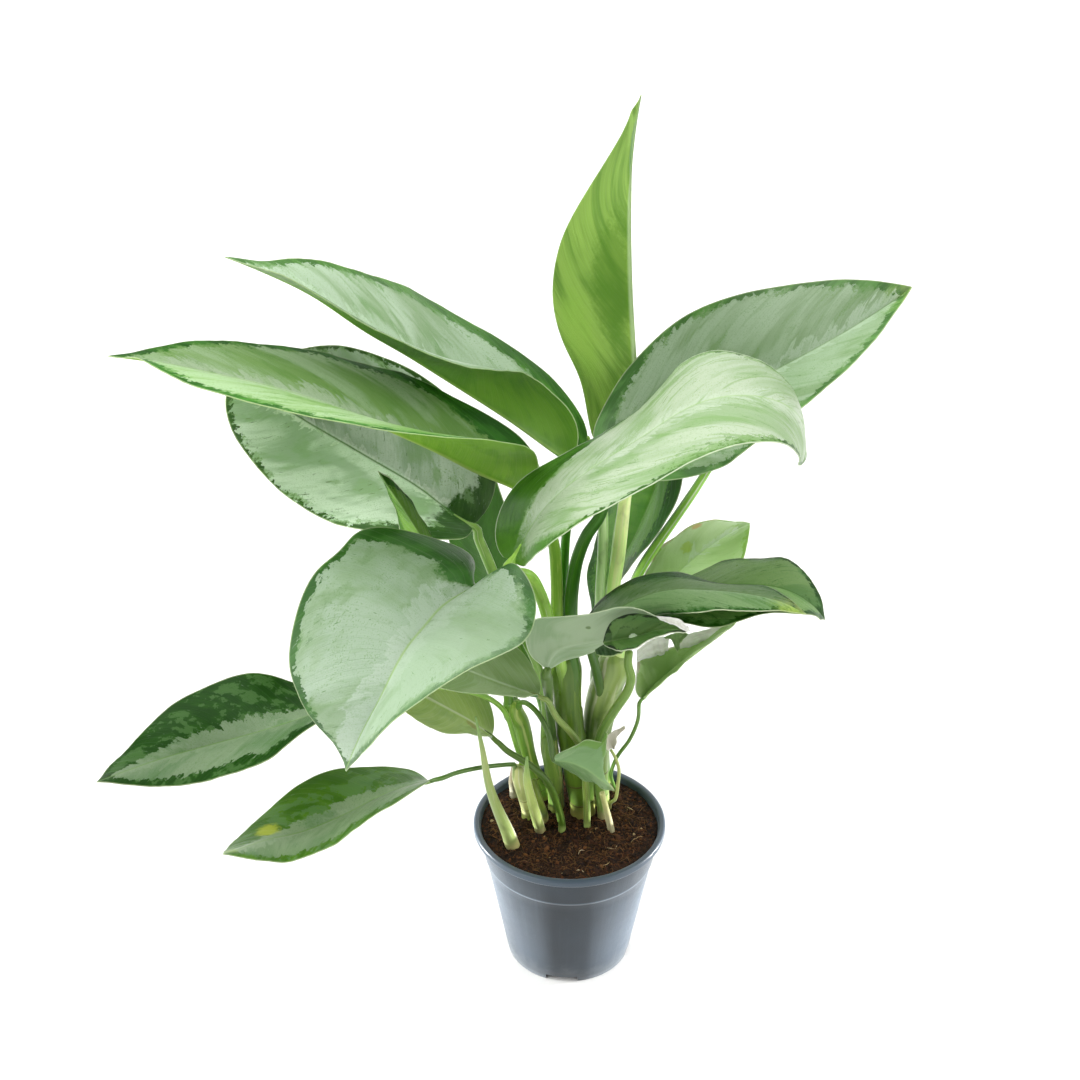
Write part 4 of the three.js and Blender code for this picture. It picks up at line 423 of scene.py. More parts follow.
    "sprout_mid": [(-18.4, -6.2, 95.9, 4.2), (-18.4, -6.2, 98.9, 4.2), (-22.6, -22.4, 126.4, 3.9), (-26.2, -29.8, 152.3, 2.9), (-26.1, -33.6, 171.2, 0.7)],
    "sprout_behind": [(-15.9, 3.7, 95.9, 3), (-15.9, 3.7, 98.9, 3), (-18.4, -8, 117.5, 3), (-22.1, -7.9, 135, 1.6)],
    "sprout_pale_back": [(-35, 29.3, 95.9, 2.9), (-35, 29.3, 98.9, 2.9), (-35.4, 20.7, 113.5, 2.8), (-34.1, 17.6, 126.7, 2.2)],
}
# what a stalk springs from, and the blade it carries
PARENT = {
    "petiole_left_mid": "cane_main",
    "petiole_right_back": "cane_main",
    "petiole_left_top": "cane_main",
    "petiole_front_arch": "cane_main",
    "petiole_top_upright": "cane_right",
    "petiole_new_leaf": "cane_right",
    "petiole_low_front": "cane_right",
    "petiole_low_back": "cane_right",
    "petiole_back_right": "cane_back",
    "petiole_right_small": "cane_back",
    "petiole_back_hanging": "cane_back",
    "petiole_front_heart": "cane_left",
    "petiole_spear": "cane_left",
    "petiole_small_front": "cane_left",
    "petiole_left_wide": "cane_mid",
    "petiole_center_curled": "cane_mid",
    "petiole_low_left_1": "cane_fore",
    "petiole_low_left_2": "cane_fore",
}
BLADE = {
    "petiole_left_mid": "leaf_left_mid",
    "petiole_right_back": "leaf_right_back",
    "petiole_left_top": "leaf_left_top",
    "petiole_front_arch": "leaf_front_arch",
    "petiole_top_upright": "leaf_top_upright",
    "petiole_low_front": "leaf_right_low_front",
    "petiole_low_back": "leaf_right_low_back",
    "petiole_back_right": "leaf_back_right",
    "petiole_right_small": "leaf_right_up_small",
    "petiole_back_hanging": "leaf_back_hanging",
    "petiole_front_heart": "leaf_front_heart",
    "petiole_spear": "leaf_spear",
    "petiole_small_front": "leaf_small_front",
    "petiole_left_wide": "leaf_left_wide",
    "petiole_center_curled": "leaf_center_curled",
    "petiole_low_left_1": "leaf_low_left_1",
    "petiole_under_2": "leaf_under_heart_2",
    "petiole_back_left": "leaf_back_left",
    "petiole_low_left_2": "leaf_low_left_2",
    "petiole_under_1": "leaf_under_heart_1",
    "petiole_right_lower": "leaf_right_lower",
}


# ---------------------------------------------------------------- small tools
def spline(P, x):
    """natural cubic spline through the rows of P, at the fractional row numbers x"""
    P = np.asarray(P, float)
    n = len(P)
    A = np.eye(n)
    B = np.zeros_like(P)
    for i in range(1, n - 1):
        A[i, i - 1:i + 2] = (1, 4, 1)
        B[i] = 6 * (P[i + 1] - 2 * P[i] + P[i - 1])
    D = np.linalg.solve(A, B)
    i = np.clip(np.floor(x).astype(int), 0, n - 2)
    f = x - i
    if P.ndim > 1:
        f = f[:, None]
    a = 1 - f
    return a * P[i] + f * P[i + 1] + ((a ** 3 - a) * D[i] + (f ** 3 - f) * D[i + 1]) / 6


def unit(v):
    return v / np.maximum(np.linalg.norm(v, axis=-1, keepdims=True), 1e-12)


def ramp(x, a, b):
    y = np.clip((x - a) / (b - a), 0, 1)
    return y * y * (3 - 2 * y)


def make_mesh(name, verts, faces, attrs=None, sharp=None):
    """a smooth-shaded object from points in millimetres; attrs are per-point values, sharp marks edges by a pair test"""
    me = bpy.data.meshes.new(name)
    me.from_pydata((np.asarray(verts) * 0.001).tolist(), [], faces)
    me.update()
    me.shade_smooth()
    for key, values in (attrs or {}).items():
        values = np.asarray(values, np.float32)
        kind = "FLOAT_VECTOR" if values.ndim == 2 else "FLOAT"
        at = me.attributes.new(key, kind, "POINT")
        at.data.foreach_set("vector" if values.ndim == 2 else "value", values.ravel())
    if sharp is not None:
        pairs = np.zeros(len(me.edges) * 2, np.int32)
        me.edges.foreach_get("vertices", pairs)
        pairs = pairs.reshape(-1, 2)
        flags = sharp(pairs)
        at = me.attributes.get("sharp_edge") or me.attributes.new("sharp_edge", "BOOLEAN", "EDGE")
        at.data.foreach_set("value", flags)
    ob = bpy.data.objects.new(name, me)
    bpy.context.scene.collection.objects.link(ob)
    return ob


def place(ob, material, node=None):
    ob.data.materials.clear()
    ob.data.materials.append(material)
    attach(ob, "root")
    if node:
        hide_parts(node)
    return ob


class Graph:
    """a short way to write a node material"""

    def __init__(self, name):
        self.mat = bpy.data.materials.new(name)
        self.mat.use_nodes = True
        self.tree = self.mat.node_tree
        self.tree.nodes.clear()
        self.out = self.tree.nodes.new("ShaderNodeOutputMaterial")

    def put(self, socket, value):
        if isinstance(value, bpy.types.NodeSocket):
            self.tree.links.new(value, socket)
        elif value is not None:
            if isinstance(value, (tuple, list)) and len(value) == 3 and len(getattr(socket, "default_value", (0, 0, 0))) == 4:
                value = (*value, 1.0)
            socket.default_value = value

    def node(self, kind, **sets):
        n = self.tree.nodes.new("ShaderNode" + kind)
        for k, v in sets.items():
            setattr(n, k, v)
        return n

    def math(self, op, a, b=None, c=None, clamp=False):
        n = self.node("Math", operation=op, use_clamp=clamp)
        for i, v in enumerate((a, b, c)):
            if v is not None:
                self.put(n.inputs[i], v)
        return n.outputs[0]

    def add(self, a, b): return self.math("ADD", a, b)
    def sub(self, a, b): return self.math("SUBTRACT", a, b)
    def mul(self, a, b): return self.math("MULTIPLY", a, b)
    def mx(self, a, b): return self.math("MAXIMUM", a, b)
    def mn(self, a, b): return self.math("MINIMUM", a, b)
    def ab(self, a): return self.math("ABSOLUTE", a)

    def attr(self, name):
        n = self.node("Attribute", attribute_type="GEOMETRY", attribute_name=name)
        return n

    def split(self, vec):
        n = self.node("SeparateXYZ")
        self.put(n.inputs[0], vec)
        return n.outputs

    def vec(self, x, y, z):
        n = self.node("CombineXYZ")
        for i, v in enumerate((x, y, z)):
            self.put(n.inputs[i], v)
        return n.outputs[0]

    def noise(self, vec, scale=1.0, detail=2.0, rough=0.5, distort=0.0):
        n = self.node("TexNoise")
        self.put(n.inputs["Vector"], vec)
        n.inputs["Scale"].default_value = scale
        n.inputs["Detail"].default_value = detail
        n.inputs["Roughness"].default_value = rough
        n.inputs["Distortion"].default_value = distort
        return n.outputs["Fac"]

    def step(self, x, a, b, lo=0.0, hi=1.0):
        """smooth step of x from a to b, giving lo to hi"""
        n = self.node("MapRange", interpolation_type="SMOOTHSTEP")
        self.put(n.inputs["Value"], x)
        self.put(n.inputs["From Min"], a)
        self.put(n.inputs["From Max"], b)
        self.put(n.inputs["To Min"], lo)
        self.put(n.inputs["To Max"], hi)
        return n.outputs[0]

    def line(self, x, a, b, lo=0.0, hi=1.0):
        n = self.node("MapRange", interpolation_type="LINEAR", clamp=True)
        self.put(n.inputs["Value"], x)
        self.put(n.inputs["From Min"], a)
        self.put(n.inputs["From Max"], b)
        self.put(n.inputs["To Min"], lo)
        self.put(n.inputs["To Max"], hi)
        return n.outputs[0]

    def mix(self, fac, a, b, mode="MIX"):
        n = self.node("Mix", data_type="RGBA", blend_type=mode)
        self.put(n.inputs[0], fac)
        self.put(n.inputs[6], a)
        self.put(n.inputs[7], b)
        return n.outputs[2]

    def bump(self, height, distance, strength=1.0, normal=None):
        n = self.node("Bump")
        n.inputs["Strength"].default_value = strength
        n.inputs["Distance"].default_value = distance
        self.put(n.inputs["Height"], height)
        if normal is not None:
            self.put(n.inputs["Normal"], normal)
        return n.outputs[0]

    def surface(self, color, rough, normal=None, translucent=None, through=0.3, specular=0.5, coat=0.0, coat_rough=0.2, sheen=0.0, sheen_tint=(0.80, 0.90, 1.0)):
        p = self.node("BsdfPrincipled")
        self.put(p.inputs["Base Color"], color)
        self.put(p.inputs["Roughness"], rough)
        p.inputs["Specular IOR Level"].default_value = specular
        if coat:
            p.inputs["Coat Weight"].default_value = coat
            p.inputs["Coat Roughness"].default_value = coat_rough
        if sheen:
            p.inputs["Sheen Weight"].default_value = sheen
            p.inputs["Sheen Roughness"].default_value = 0.45
            p.inputs["Sheen Tint"].default_value = (*sheen_tint, 1.0)
        if normal is not None:
            self.put(p.inputs["Normal"], normal)
        shader = p.outputs[0]
        if translucent is not None:
            t = self.node("BsdfTranslucent")
            self.put(t.inputs["Color"], translucent)
            if normal is not None:
                self.put(t.inputs["Normal"], normal)
            m = self.node("MixShader")
            m.inputs[0].default_value = through
            self.tree.links.new(shader, m.inputs[1])
            self.tree.links.new(t.outputs[0], m.inputs[2])
            shader = m.outputs[0]
        self.tree.links.new(shader, self.out.inputs[0])
        return self.mat


def hexc(h, gain=0.75):
    """sRGB hex to linear colour, scaled to the reflectance of the real thing"""
    c = [int(h[i:i + 2], 16) / 255 for i in (0, 2, 4)]
    return tuple(min(1.0, gain * (v / 12.92 if v <= 0.04045 else ((v + 0.055) / 1.055) ** 2.4)) for v in c)


# ---------------------------------------------------------------- leaf blades
HALF = np.array([0, .012, .028, .05, .08, .12, .175, .24, .31, .39, .47, .55, .63, .71, .78, .845, .90, .945, .98, 1.0])
ROWS = 97
THICK = 0.42


def build_leaf(name, rows, seed, pleat=0.28, wave=0.8, ridge=1.3, period=10.0, hole=None, bulge=0.0, sweep=(0.42, 0.50)):
    rows = np.array(rows, float)
    Lp, Mp, Rp = rows[:, 0], rows[:, 1], rows[:, 2]
    x = np.linspace(0, len(T) - 1, ROWS)
    L, M, R = spline(Lp, x), spline(Mp, x), spline(Rp, x)
    along = unit(np.gradient(M, axis=0))
    seg = np.r_[0, np.cumsum(np.linalg.norm(np.diff(M, axis=0), axis=1))]
    length = seg[-1]
    t = seg / length
    nr = ROWS
    cols = np.r_[-HALF[::-1], HALF[1:]]
    nc = len(cols)
    P = np.zeros((nr, nc, 3))
    d = np.zeros((nr, nc))
    wid = np.zeros((nr, nc))
    for j, s in enumerate(cols):
        E, sg = (R, 1) if s >= 0 else (L, -1)
        across = E - M
        w = np.linalg.norm(across, axis=1)
        up = unit(np.cross(across * sg, along))
        a = abs(s)
        P[:, j] = M + across * a + up * (0.05 * 4 * a * (1 - a) * w)[:, None]
        d[:, j] = a * w
        wid[:, j] = w
    rs = np.random.RandomState(seed)
    W = wid.max()
    S = np.broadcast_to(cols, (nr, nc))
    A = np.abs(S)
    q = t[:, None] * length - W * (sweep[0] * A + sweep[1] * A * A) * np.minimum(1, wid / W * 1.15)
    # folds along the side veins, and a slow wave of the margins
    gi = np.gradient(P, axis=0)
    gj = np.gradient(P, cols, axis=1)
    N = unit(np.cross(gj, gi))
    ph = rs.rand(8) * 6.28
    env = ramp(A, 0.03, 0.3) * (1 - 0.55 * ramp(A, 0.6, 1)) * ramp(t, 0.03, 0.15)[:, None] * ramp(1 - t, 0.02, 0.2)[:, None]
    fold = np.cos(q * 2 * math.pi / period + 0.8 * np.sin(q * 0.05 + ph[0]) + np.where(S > 0, 0, 1.7))
    fold = 0.6 * fold + 0.25 * np.cos(2 * q * 2 * math.pi / period + ph[1] + np.where(S > 0, 0, 0.9))
    ends = (ramp(t, 0.0, 0.12) * ramp(1 - t, 0.0, 0.10))[:, None]
    slow = A ** 2.2 * (np.sin(t[:, None] * (9 + 3 * rs.rand()) + ph[2] + S) + 0.6 * np.sin(t[:, None] * (21 + 5 * rs.rand()) + ph[3] - 2 * S))
    fine = A ** 6 * np.sin(t[:, None] * length / 5.2 + ph[4] + 3 * S) * np.sin(t[:, None] * 17 + ph[5])
    off = pleat * env * fold + ends * (wave * slow + 0.35 * fine)
    if bulge:
        # shallow quilting between the side veins
        cell = np.sin(math.pi * ((q / period) % 1.0)) * np.sin(math.pi * np.clip(A, 0, 1)) ** 0.7
        off = off + bulge * env * (cell - 0.5) * (0.6 + 0.4 * np.sin(q * 0.11 + ph[6]))
    P = P + N * off[..., None]
    gi = np.gradient(P, axis=0)
    gj = np.gradient(P, cols, axis=1)
    N = unit(np.cross(gj, gi))
    rib_w = 0.9 + 1.0 * (1 - t) ** 1.2
    rib_h = ridge * (0.12 + 0.88 * (1 - t) ** 1.3)
    rib = rib_h[:, None] * np.exp(-(d / rib_w[:, None]) ** 2)
    dip = 0.28 * rib_h[:, None] * np.exp(-(d / (0.8 * rib_w[:, None])) ** 2)
    top = P + N * (THICK / 2 - dip)[..., None]
    low = P - N * (THICK / 2 + rib)[..., None]
    e = (1 - A) * wid
    e = np.minimum(e, np.minimum((1 - t) * length * 0.45 + 0.2, t * length * 0.9 + 0.5)[:, None])
    n = nr * nc
    keep = np.ones((nr - 1, nc - 1), bool)
    if hole:
        tc, sc = np.meshgrid((t[1:] + t[:-1]) / 2, (cols[1:] + cols[:-1]) / 2, indexing="ij")
        for (ht, hs, rt, rsd) in hole:
            keep &= ((tc - ht) / rt) ** 2 + ((sc - hs) / rsd) ** 2 > 1
    ii, jj = np.nonzero(keep)
    a = ii * nc + jj
    faces = np.concatenate([
        np.stack([a, a + 1, a + nc + 1, a + nc], 1),
        np.stack([a + n, a + nc + n, a + nc + 1 + n, a + 1 + n], 1)])
    walls = []
    K = np.zeros((nr + 1, nc + 1), bool)
    K[1:-1, 1:-1] = keep
    for i in range(nr):          # edges across the blade, between cell rows i-1 and i
        for j in range(nc - 1):
            lo_k, hi_k = K[i, j + 1], K[i + 1, j + 1]
            if lo_k != hi_k:
                p, r = i * nc + j, i * nc + j + 1
                walls.append((p, p + n, r + n, r) if hi_k else (p, r, r + n, p + n))
    for i in range(nr - 1):      # edges along the blade
        for j in range(nc):
            lf_k, rt_k = K[i + 1, j], K[i + 1, j + 1]
            if lf_k != rt_k:
                p, r = i * nc + j, (i + 1) * nc + j
                walls.append((p, r, r + n, p + n) if rt_k else (p, p + n, r + n, r))
    verts = np.concatenate([top.reshape(-1, 3), low.reshape(-1, 3)])
    tt = np.broadcast_to(t[:, None], (nr, nc))
    one = np.ones((nr, nc))
    lfa = np.concatenate([np.stack([S, tt, one], -1).reshape(-1, 3), np.stack([S, tt, 0 * one], -1).reshape(-1, 3)])
    lfb = np.stack([d, e, q], -1).reshape(-1, 3)
    lfb = np.concatenate([lfb, lfb])
    used = np.unique(np.concatenate([faces.ravel(), np.array(walls).ravel()]))
    remap = -np.ones(2 * n, int)
    remap[used] = np.arange(len(used))
    faces = remap[faces].tolist() + remap[np.array(walls)].tolist()
    upper = (used < n)

    def sharp(pairs):
        # a rim edge joins a point to its neighbour on the same side, along an open border
        key = {}
        for w4 in walls:
            for u, v in ((w4[0], w4[1]), (w4[1], w4[2]), (w4[2], w4[3]), (w4[3], w4[0])):
                if (u < n) == (v < n):
                    key[(min(remap[u], remap[v]), max(remap[u], remap[v]))] = True
        return [(min(p), max(p)) in key for p in pairs.tolist()]

    return make_mesh("vis_" + name, verts[used], faces, {"lfa": lfa[used], "lfb": lfb[used]}, sharp)


DEF = dict(silver="a3bf9b", silver2="86a97c", pale="bcd3b2", pale_w=0.0, dark="285a20", dark2="3f7a30", mid="6d9a58", margin=5.0, margin_base=14.0, margin_tip=5.0,
           feather=5.0, flecks=0.5, base_dark=0.10, rib="9cbf7c", rib_w=0.6, rib_amt=0.5, edge="cfdfae", pale_edge_and_rim_light_amt=0.5,
           under="86b04e", under2="6f9c3e", under_rib="b9d489", through=0.15, rough=0.31, yellow=0.0, yellow_t=0.8, yellow_col="b3c95a", dry=None,
           band=None, left_half_painted_light=1.0, right_half_painted_light=1.0, glow="a9cf4e", vein=0.25, period=10.0, mottle=0.45, cloud=1.0, spots=(), coat=0.05, islands=0.6, streak=0.22, pale_edge_and_rim_light_side=0,
           gain=0.75, length=150.0, ragged=1.0, grain=0.30, wide=(), vein_u=0.20, shine=0.34)


colour_of = hexc


def leaf_material(name, seed, **over):
    p = dict(DEF)
    p.update(over)
    g = Graph("leaf_look_" + name)

    def hexc(h, k=p["gain"]):
        return colour_of(h, k)

    A = g.split(g.attr("lfa").outputs["Vector"])
    B = g.split(g.attr("lfb").outputs["Vector"])
    s, t, side = A[0], A[1], A[2]
    d, e, q = B[0], B[1], B[2]
    k = 7.3 * seed
    sgn = g.math("SIGN", s)
    zz = g.add(g.mul(sgn, 3.7), k)

    def field(across, along, off, detail=3.0, rough=0.55, distort=0.0):
        """noise stretched along the side veins; lengths of one wave in mm"""
        return g.noise(g.vec(g.mul(q, 1.0 / across), g.mul(d, 1.0 / along), g.add(zz, off)), 1.0, detail, rough, distort)

    nA = field(34.0, 26.0, 0.0, 2.0, 0.5, 0.6)       # broad clouds
    nB = field(5.5, 17.0, 11.0, 3.0, 0.55, 0.5)      # streaks along the side veins
    along = g.mul(t, p["length"])

    def even(size, off, detail=3.0, rough=0.55):
        """noise with waves of the same size both ways, in mm"""
        return g.noise(g.vec(g.mul(along, 1.0 / size), g.mul(d, 1.0 / size), g.add(zz, off)), 1.0, detail, rough)

    nC = even(4.2, 23.0, 4.0, 0.62)                  # ragged edge
    nD = even(1.3, 31.0, 2.0, 0.60)                  # small teeth and specks
    nE = field(16.0, 12.0, 43.0, 3.0, 0.55, 0.4)     # patches
    nF = even(0.75, 57.0, 1.0, 0.5)                  # grain
    cA, cB, cC, cD, cE, cF = (g.sub(n, 0.5) for n in (nA, nB, nC, nD, nE, nF))
    # the dark margin with its ragged inner border
    m0 = g.line(t, 0.04, 0.30, p["margin_base"], p["margin"])
    m1 = g.line(t, 0.72, 0.97, 0.0, p["margin_tip"] - p["margin"])
    m = g.add(g.add(m0, m1), g.mul(cE, 1.2 * p["feather"]))
    for (sd, t0, t1, t2, t3, mm) in p["wide"]:
        # a wider dark margin on one side between these shares of the length
        w = g.mul(g.line(t, t0, t1, 0.0, mm), g.line(t, t2, t3, 1.0, 0.0))
        m = g.add(m, g.mul(w, g.step(g.mul(s, sd), 0.05, 0.30)))
    k2 = p["ragged"] * p["feather"] / 4.0
    rag = g.add(g.mul(cB, 4.5 * k2), g.add(g.mul(cC, 12.0 * k2), g.mul(cD, 5.5 * k2)))
    x = g.add(g.sub(e, m), rag)
    silver = g.step(x, -0.22, 0.22)
    tb = g.add(t, g.add(g.mul(cB, 0.07), g.mul(cC, 0.07)))
    silver = g.mul(silver, g.step(tb, p["base_dark"] - 0.012, p["base_dark"] + 0.012))
    if p["band"]:
        # silver only in a band along the midrib, this far out on the left and on the right, as a share of the half width
        lo, hi = p["band"]
        lim = g.line(s, -0.05, 0.05, lo, hi)
        y = g.sub(lim, g.ab(s))
        y = g.add(y, g.add(g.mul(cB, 0.45), g.add(g.mul(cC, 0.30), g.mul(cD, 0.12))))
        silver = g.mul(silver, g.step(y, -0.015, 0.015))
    # silver: clouds, a paler zone along the midrib with feathered sides, soft green patches
    col_s = g.mix(g.step(g.add(nA, g.mul(cB, 0.25)), 0.38, 0.64), hexc(p["silver"]), hexc(p["silver2"]))
    if p["pale_w"]:
        py = g.add(g.sub(p["pale_w"], d), g.add(g.mul(cB, 26.0), g.add(g.mul(cC, 9.0), g.mul(cA, 22.0))))
        col_s = g.mix(g.mul(g.step(py, -1.2, 1.2), 0.85), col_s, hexc(p["pale"]))
    gm = g.mul(g.step(g.add(nE, g.add(g.mul(cA, 0.8 * p["cloud"]), g.mul(cB, 0.25))), 0.56, 0.70), p["mottle"])
    col_s = g.mix(gm, col_s, hexc(p["mid"]))
    col_d = g.mix(g.step(g.add(nE, g.mul(cB, 0.5)), 0.38, 0.66), hexc(p["dark"]), hexc(p["dark2"]))
    col = g.mix(silver, col_d, col_s)
    # a half-tone fringe and detached islands just inside the border
    fr = g.mul(g.step(x, 2.2, 1.9), g.step(g.add(nE, g.mul(cD, 0.4)), 0.50, 0.53))
    col = g.mix(g.mul(g.mul(fr, silver), 0.8), col, hexc(p["mid"]))
    fr2 = g.mul(g.step(x, -1.6, -1.3), g.step(g.add(nE, g.mul(cC, 0.6)), 0.52, 0.55))
    col = g.mix(g.mul(g.mul(fr2, g.sub(1.0, silver)), 0.55), col, hexc(p["mid"]))
    isl = g.mul(g.step(x, 11.0, 2.0), p["islands"])
    isl = g.mul(isl, g.step(g.add(even(3.0, 91.0, 3.0, 0.6), g.add(g.mul(cD, 0.25), g.mul(cE, 0.45))), 0.665, 0.680))
    col = g.mix(isl, col, hexc(p["dark2"]))
    # dark dashes along the side veins
    dash = field(1.3, 7.0, 71.0, 2.0, 0.5)
    fl = g.mul(g.step(g.add(dash, g.mul(cE, 0.35)), 0.80 - 0.12 * p["flecks"], 0.82 - 0.12 * p["flecks"]), g.step(d, 2.5, 5.0))
    col = g.mix(g.mul(fl, 0.85), col, hexc(p["dark2"]))
    pl = g.mul(g.step(g.add(dash, g.mul(cC, 0.5)), 0.27, 0.24), g.sub(1.0, silver))
    col = g.mix(g.mul(pl, 0.6), col, hexc(p["silver2"]))
    # side veins
    u = g.math("FRACT", g.add(g.math("DIVIDE", q, p["period"] * 0.5), g.mul(cA, 0.35)))
    vein = g.step(g.ab(g.sub(u, 0.5)), 0.07, 0.0)
    vein = g.mul(vein, g.step(d, 0.5, 6.0))
    u2 = g.math("FRACT", g.add(g.math("DIVIDE", q, p["period"] * 0.125), g.mul(cA, 0.9)))
    vein2 = g.mul(g.step(g.ab(g.sub(u2, 0.5)), 0.30, 0.0), g.step(d, 1.0, 5.0))
    col = g.mix(g.mul(vein, p["vein"] * 0.5), col, hexc(p["mid"]))
    col = g.mix(g.mul(g.step(g.add(nF, g.mul(cD, 0.5)), 0.52, 0.72), g.mul(silver, p["grain"])), col, hexc(p["mid"]))
    col = g.mix(g.mul(g.step(g.add(nF, g.mul(cE, 0.8)), 0.70, 0.76), g.mul(silver, 0.6)), col, hexc(p["mid"]))
    col = g.mix(g.mul(g.step(nB, 0.54, 0.66), g.mul(silver, p["streak"])), col, hexc(p["mid"]))
    for (st, ss, rt, rsd, hx, amt) in p["spots"]:
        # a blotch at a place on the blade: share of the length, of the half width, its two radii, colour, strength
        dt = g.mul(g.sub(t, st), 1.0 / rt)
        dsx = g.mul(g.sub(s, ss), 1.0 / rsd)
        rr = g.math("SQRT", g.add(g.mul(dt, dt), g.mul(dsx, dsx)))
        rr = g.add(rr, g.add(g.mul(cC, 0.9), g.mul(cD, 0.5)))
        col = g.mix(g.mul(g.step(rr, 1.15, 0.55), amt), col, hexc(hx))
    # midrib, and the thin pale margin, partly the blade's own pale rim and partly painted rim light
    rib = g.mul(g.step(d, p["rib_w"] + 0.45, p["rib_w"] * 0.35), p["rib_amt"])
    col = g.mix(rib, col, hexc(p["rib"]))
    edge = g.mul(g.step(e, 0.75, 0.25), p["pale_edge_and_rim_light_amt"])
    if p["pale_edge_and_rim_light_side"]:
        edge = g.mul(edge, g.step(g.mul(s, p["pale_edge_and_rim_light_side"]), -0.2, 0.2))
    col = g.mix(edge, col, hexc(p["edge"]))
    # underside: plain, with paler veins
    cu = g.mix(g.step(g.add(nA, g.mul(cB, 0.5)), 0.36, 0.66), hexc(p["under"]), hexc(p["under2"]))
    cu = g.mix(g.mul(vein, p["vein_u"]), cu, hexc(p["under_rib"]))
    cu = g.mix(g.mul(vein2, 0.13), cu, hexc(p["under_rib"]))
    cu = g.mix(g.mul(g.step(dash, 0.60, 0.75), 0.10), cu, hexc(p["under_rib"]))
    # underside blotches: brown marks on some blades, but on the upright blade they are painted light and shade, with
    # lighter patches, a darker patch and a painted highlight near the tip
    for (st, ss, rt, rsd, hx, amt) in p.get("under_blotches_and_painted_light", ()):
        dt = g.mul(g.sub(t, st), 1.0 / rt)
        dsx = g.mul(g.sub(s, ss), 1.0 / rsd)
        rr = g.add(g.math("SQRT", g.add(g.mul(dt, dt), g.mul(dsx, dsx))), g.add(g.mul(cC, 0.9), g.mul(cD, 0.5)))
        cu = g.mix(g.mul(g.step(rr, 1.15, 0.55), amt), cu, hexc(hx))
    cu = g.mix(g.mul(g.step(d, p["rib_w"] + 1.5, p["rib_w"] * 0.5), 0.85), cu, hexc(p["under_rib"]))
    # the underside gets the same pale margin, partly painted rim light
    cu = g.mix(edge, cu, hexc(p["edge"]))
    full = g.mix(side, cu, col)
    if p["yellow"]:
        yl = g.mul(g.step(g.add(t, g.add(g.mul(cE, 0.12), g.mul(cB, 0.06))), p["yellow_t"] - 0.05, p["yellow_t"] + 0.06), p["yellow"])
        full = g.mix(g.mul(yl, g.step(nC, 0.30, 0.6)), full, hexc(p["yellow_col"]))
    rough = g.line(nC, 0.3, 0.7, p["rough"] - 0.04, p["rough"] + 0.08)
    rough = g.add(rough, g.mul(g.sub(1.0, side), 0.10))
    if p["dry"]:
        # a withered, papery margin on one side: (side, from this share of the half width, colour)
        sg, th, colour = p["dry"]
        dm = g.step(g.add(g.mul(s, sg), g.add(g.mul(cB, 0.22), g.mul(cC, 0.18))), th - 0.03, th + 0.04)
        paper = g.mix(g.step(nB, 0.35, 0.7), hexc(colour), hexc("b9ab8c"))
        full = g.mix(dm, full, paper)
        rough = g.add(rough, g.mul(dm, 0.3))
    # each half of the blade is scaled by its own factor to match the light falling on that half: painted light and
    # shade
    if p["left_half_painted_light"] != 1.0 or p["right_half_painted_light"] != 1.0:
        tone = g.line(s, -0.04, 0.04, p["left_half_painted_light"], p["right_half_painted_light"])
        full = g.mix(1.0, full, g.vec(tone, tone, tone), "MULTIPLY")
    bh = g.add(g.mul(vein, -0.30), g.add(g.mul(vein2, -0.10), g.add(g.mul(nC, 0.35), g.add(g.mul(nB, 0.55), g.mul(nF, 0.10)))))
    nm = g.bump(bh, 0.0005, 0.6)
    glow = g.mix(0.45, full, hexc(p["glow"]))
    return g.surface(full, rough, nm, glow, p["through"], p["shine"], p["coat"], 0.22)
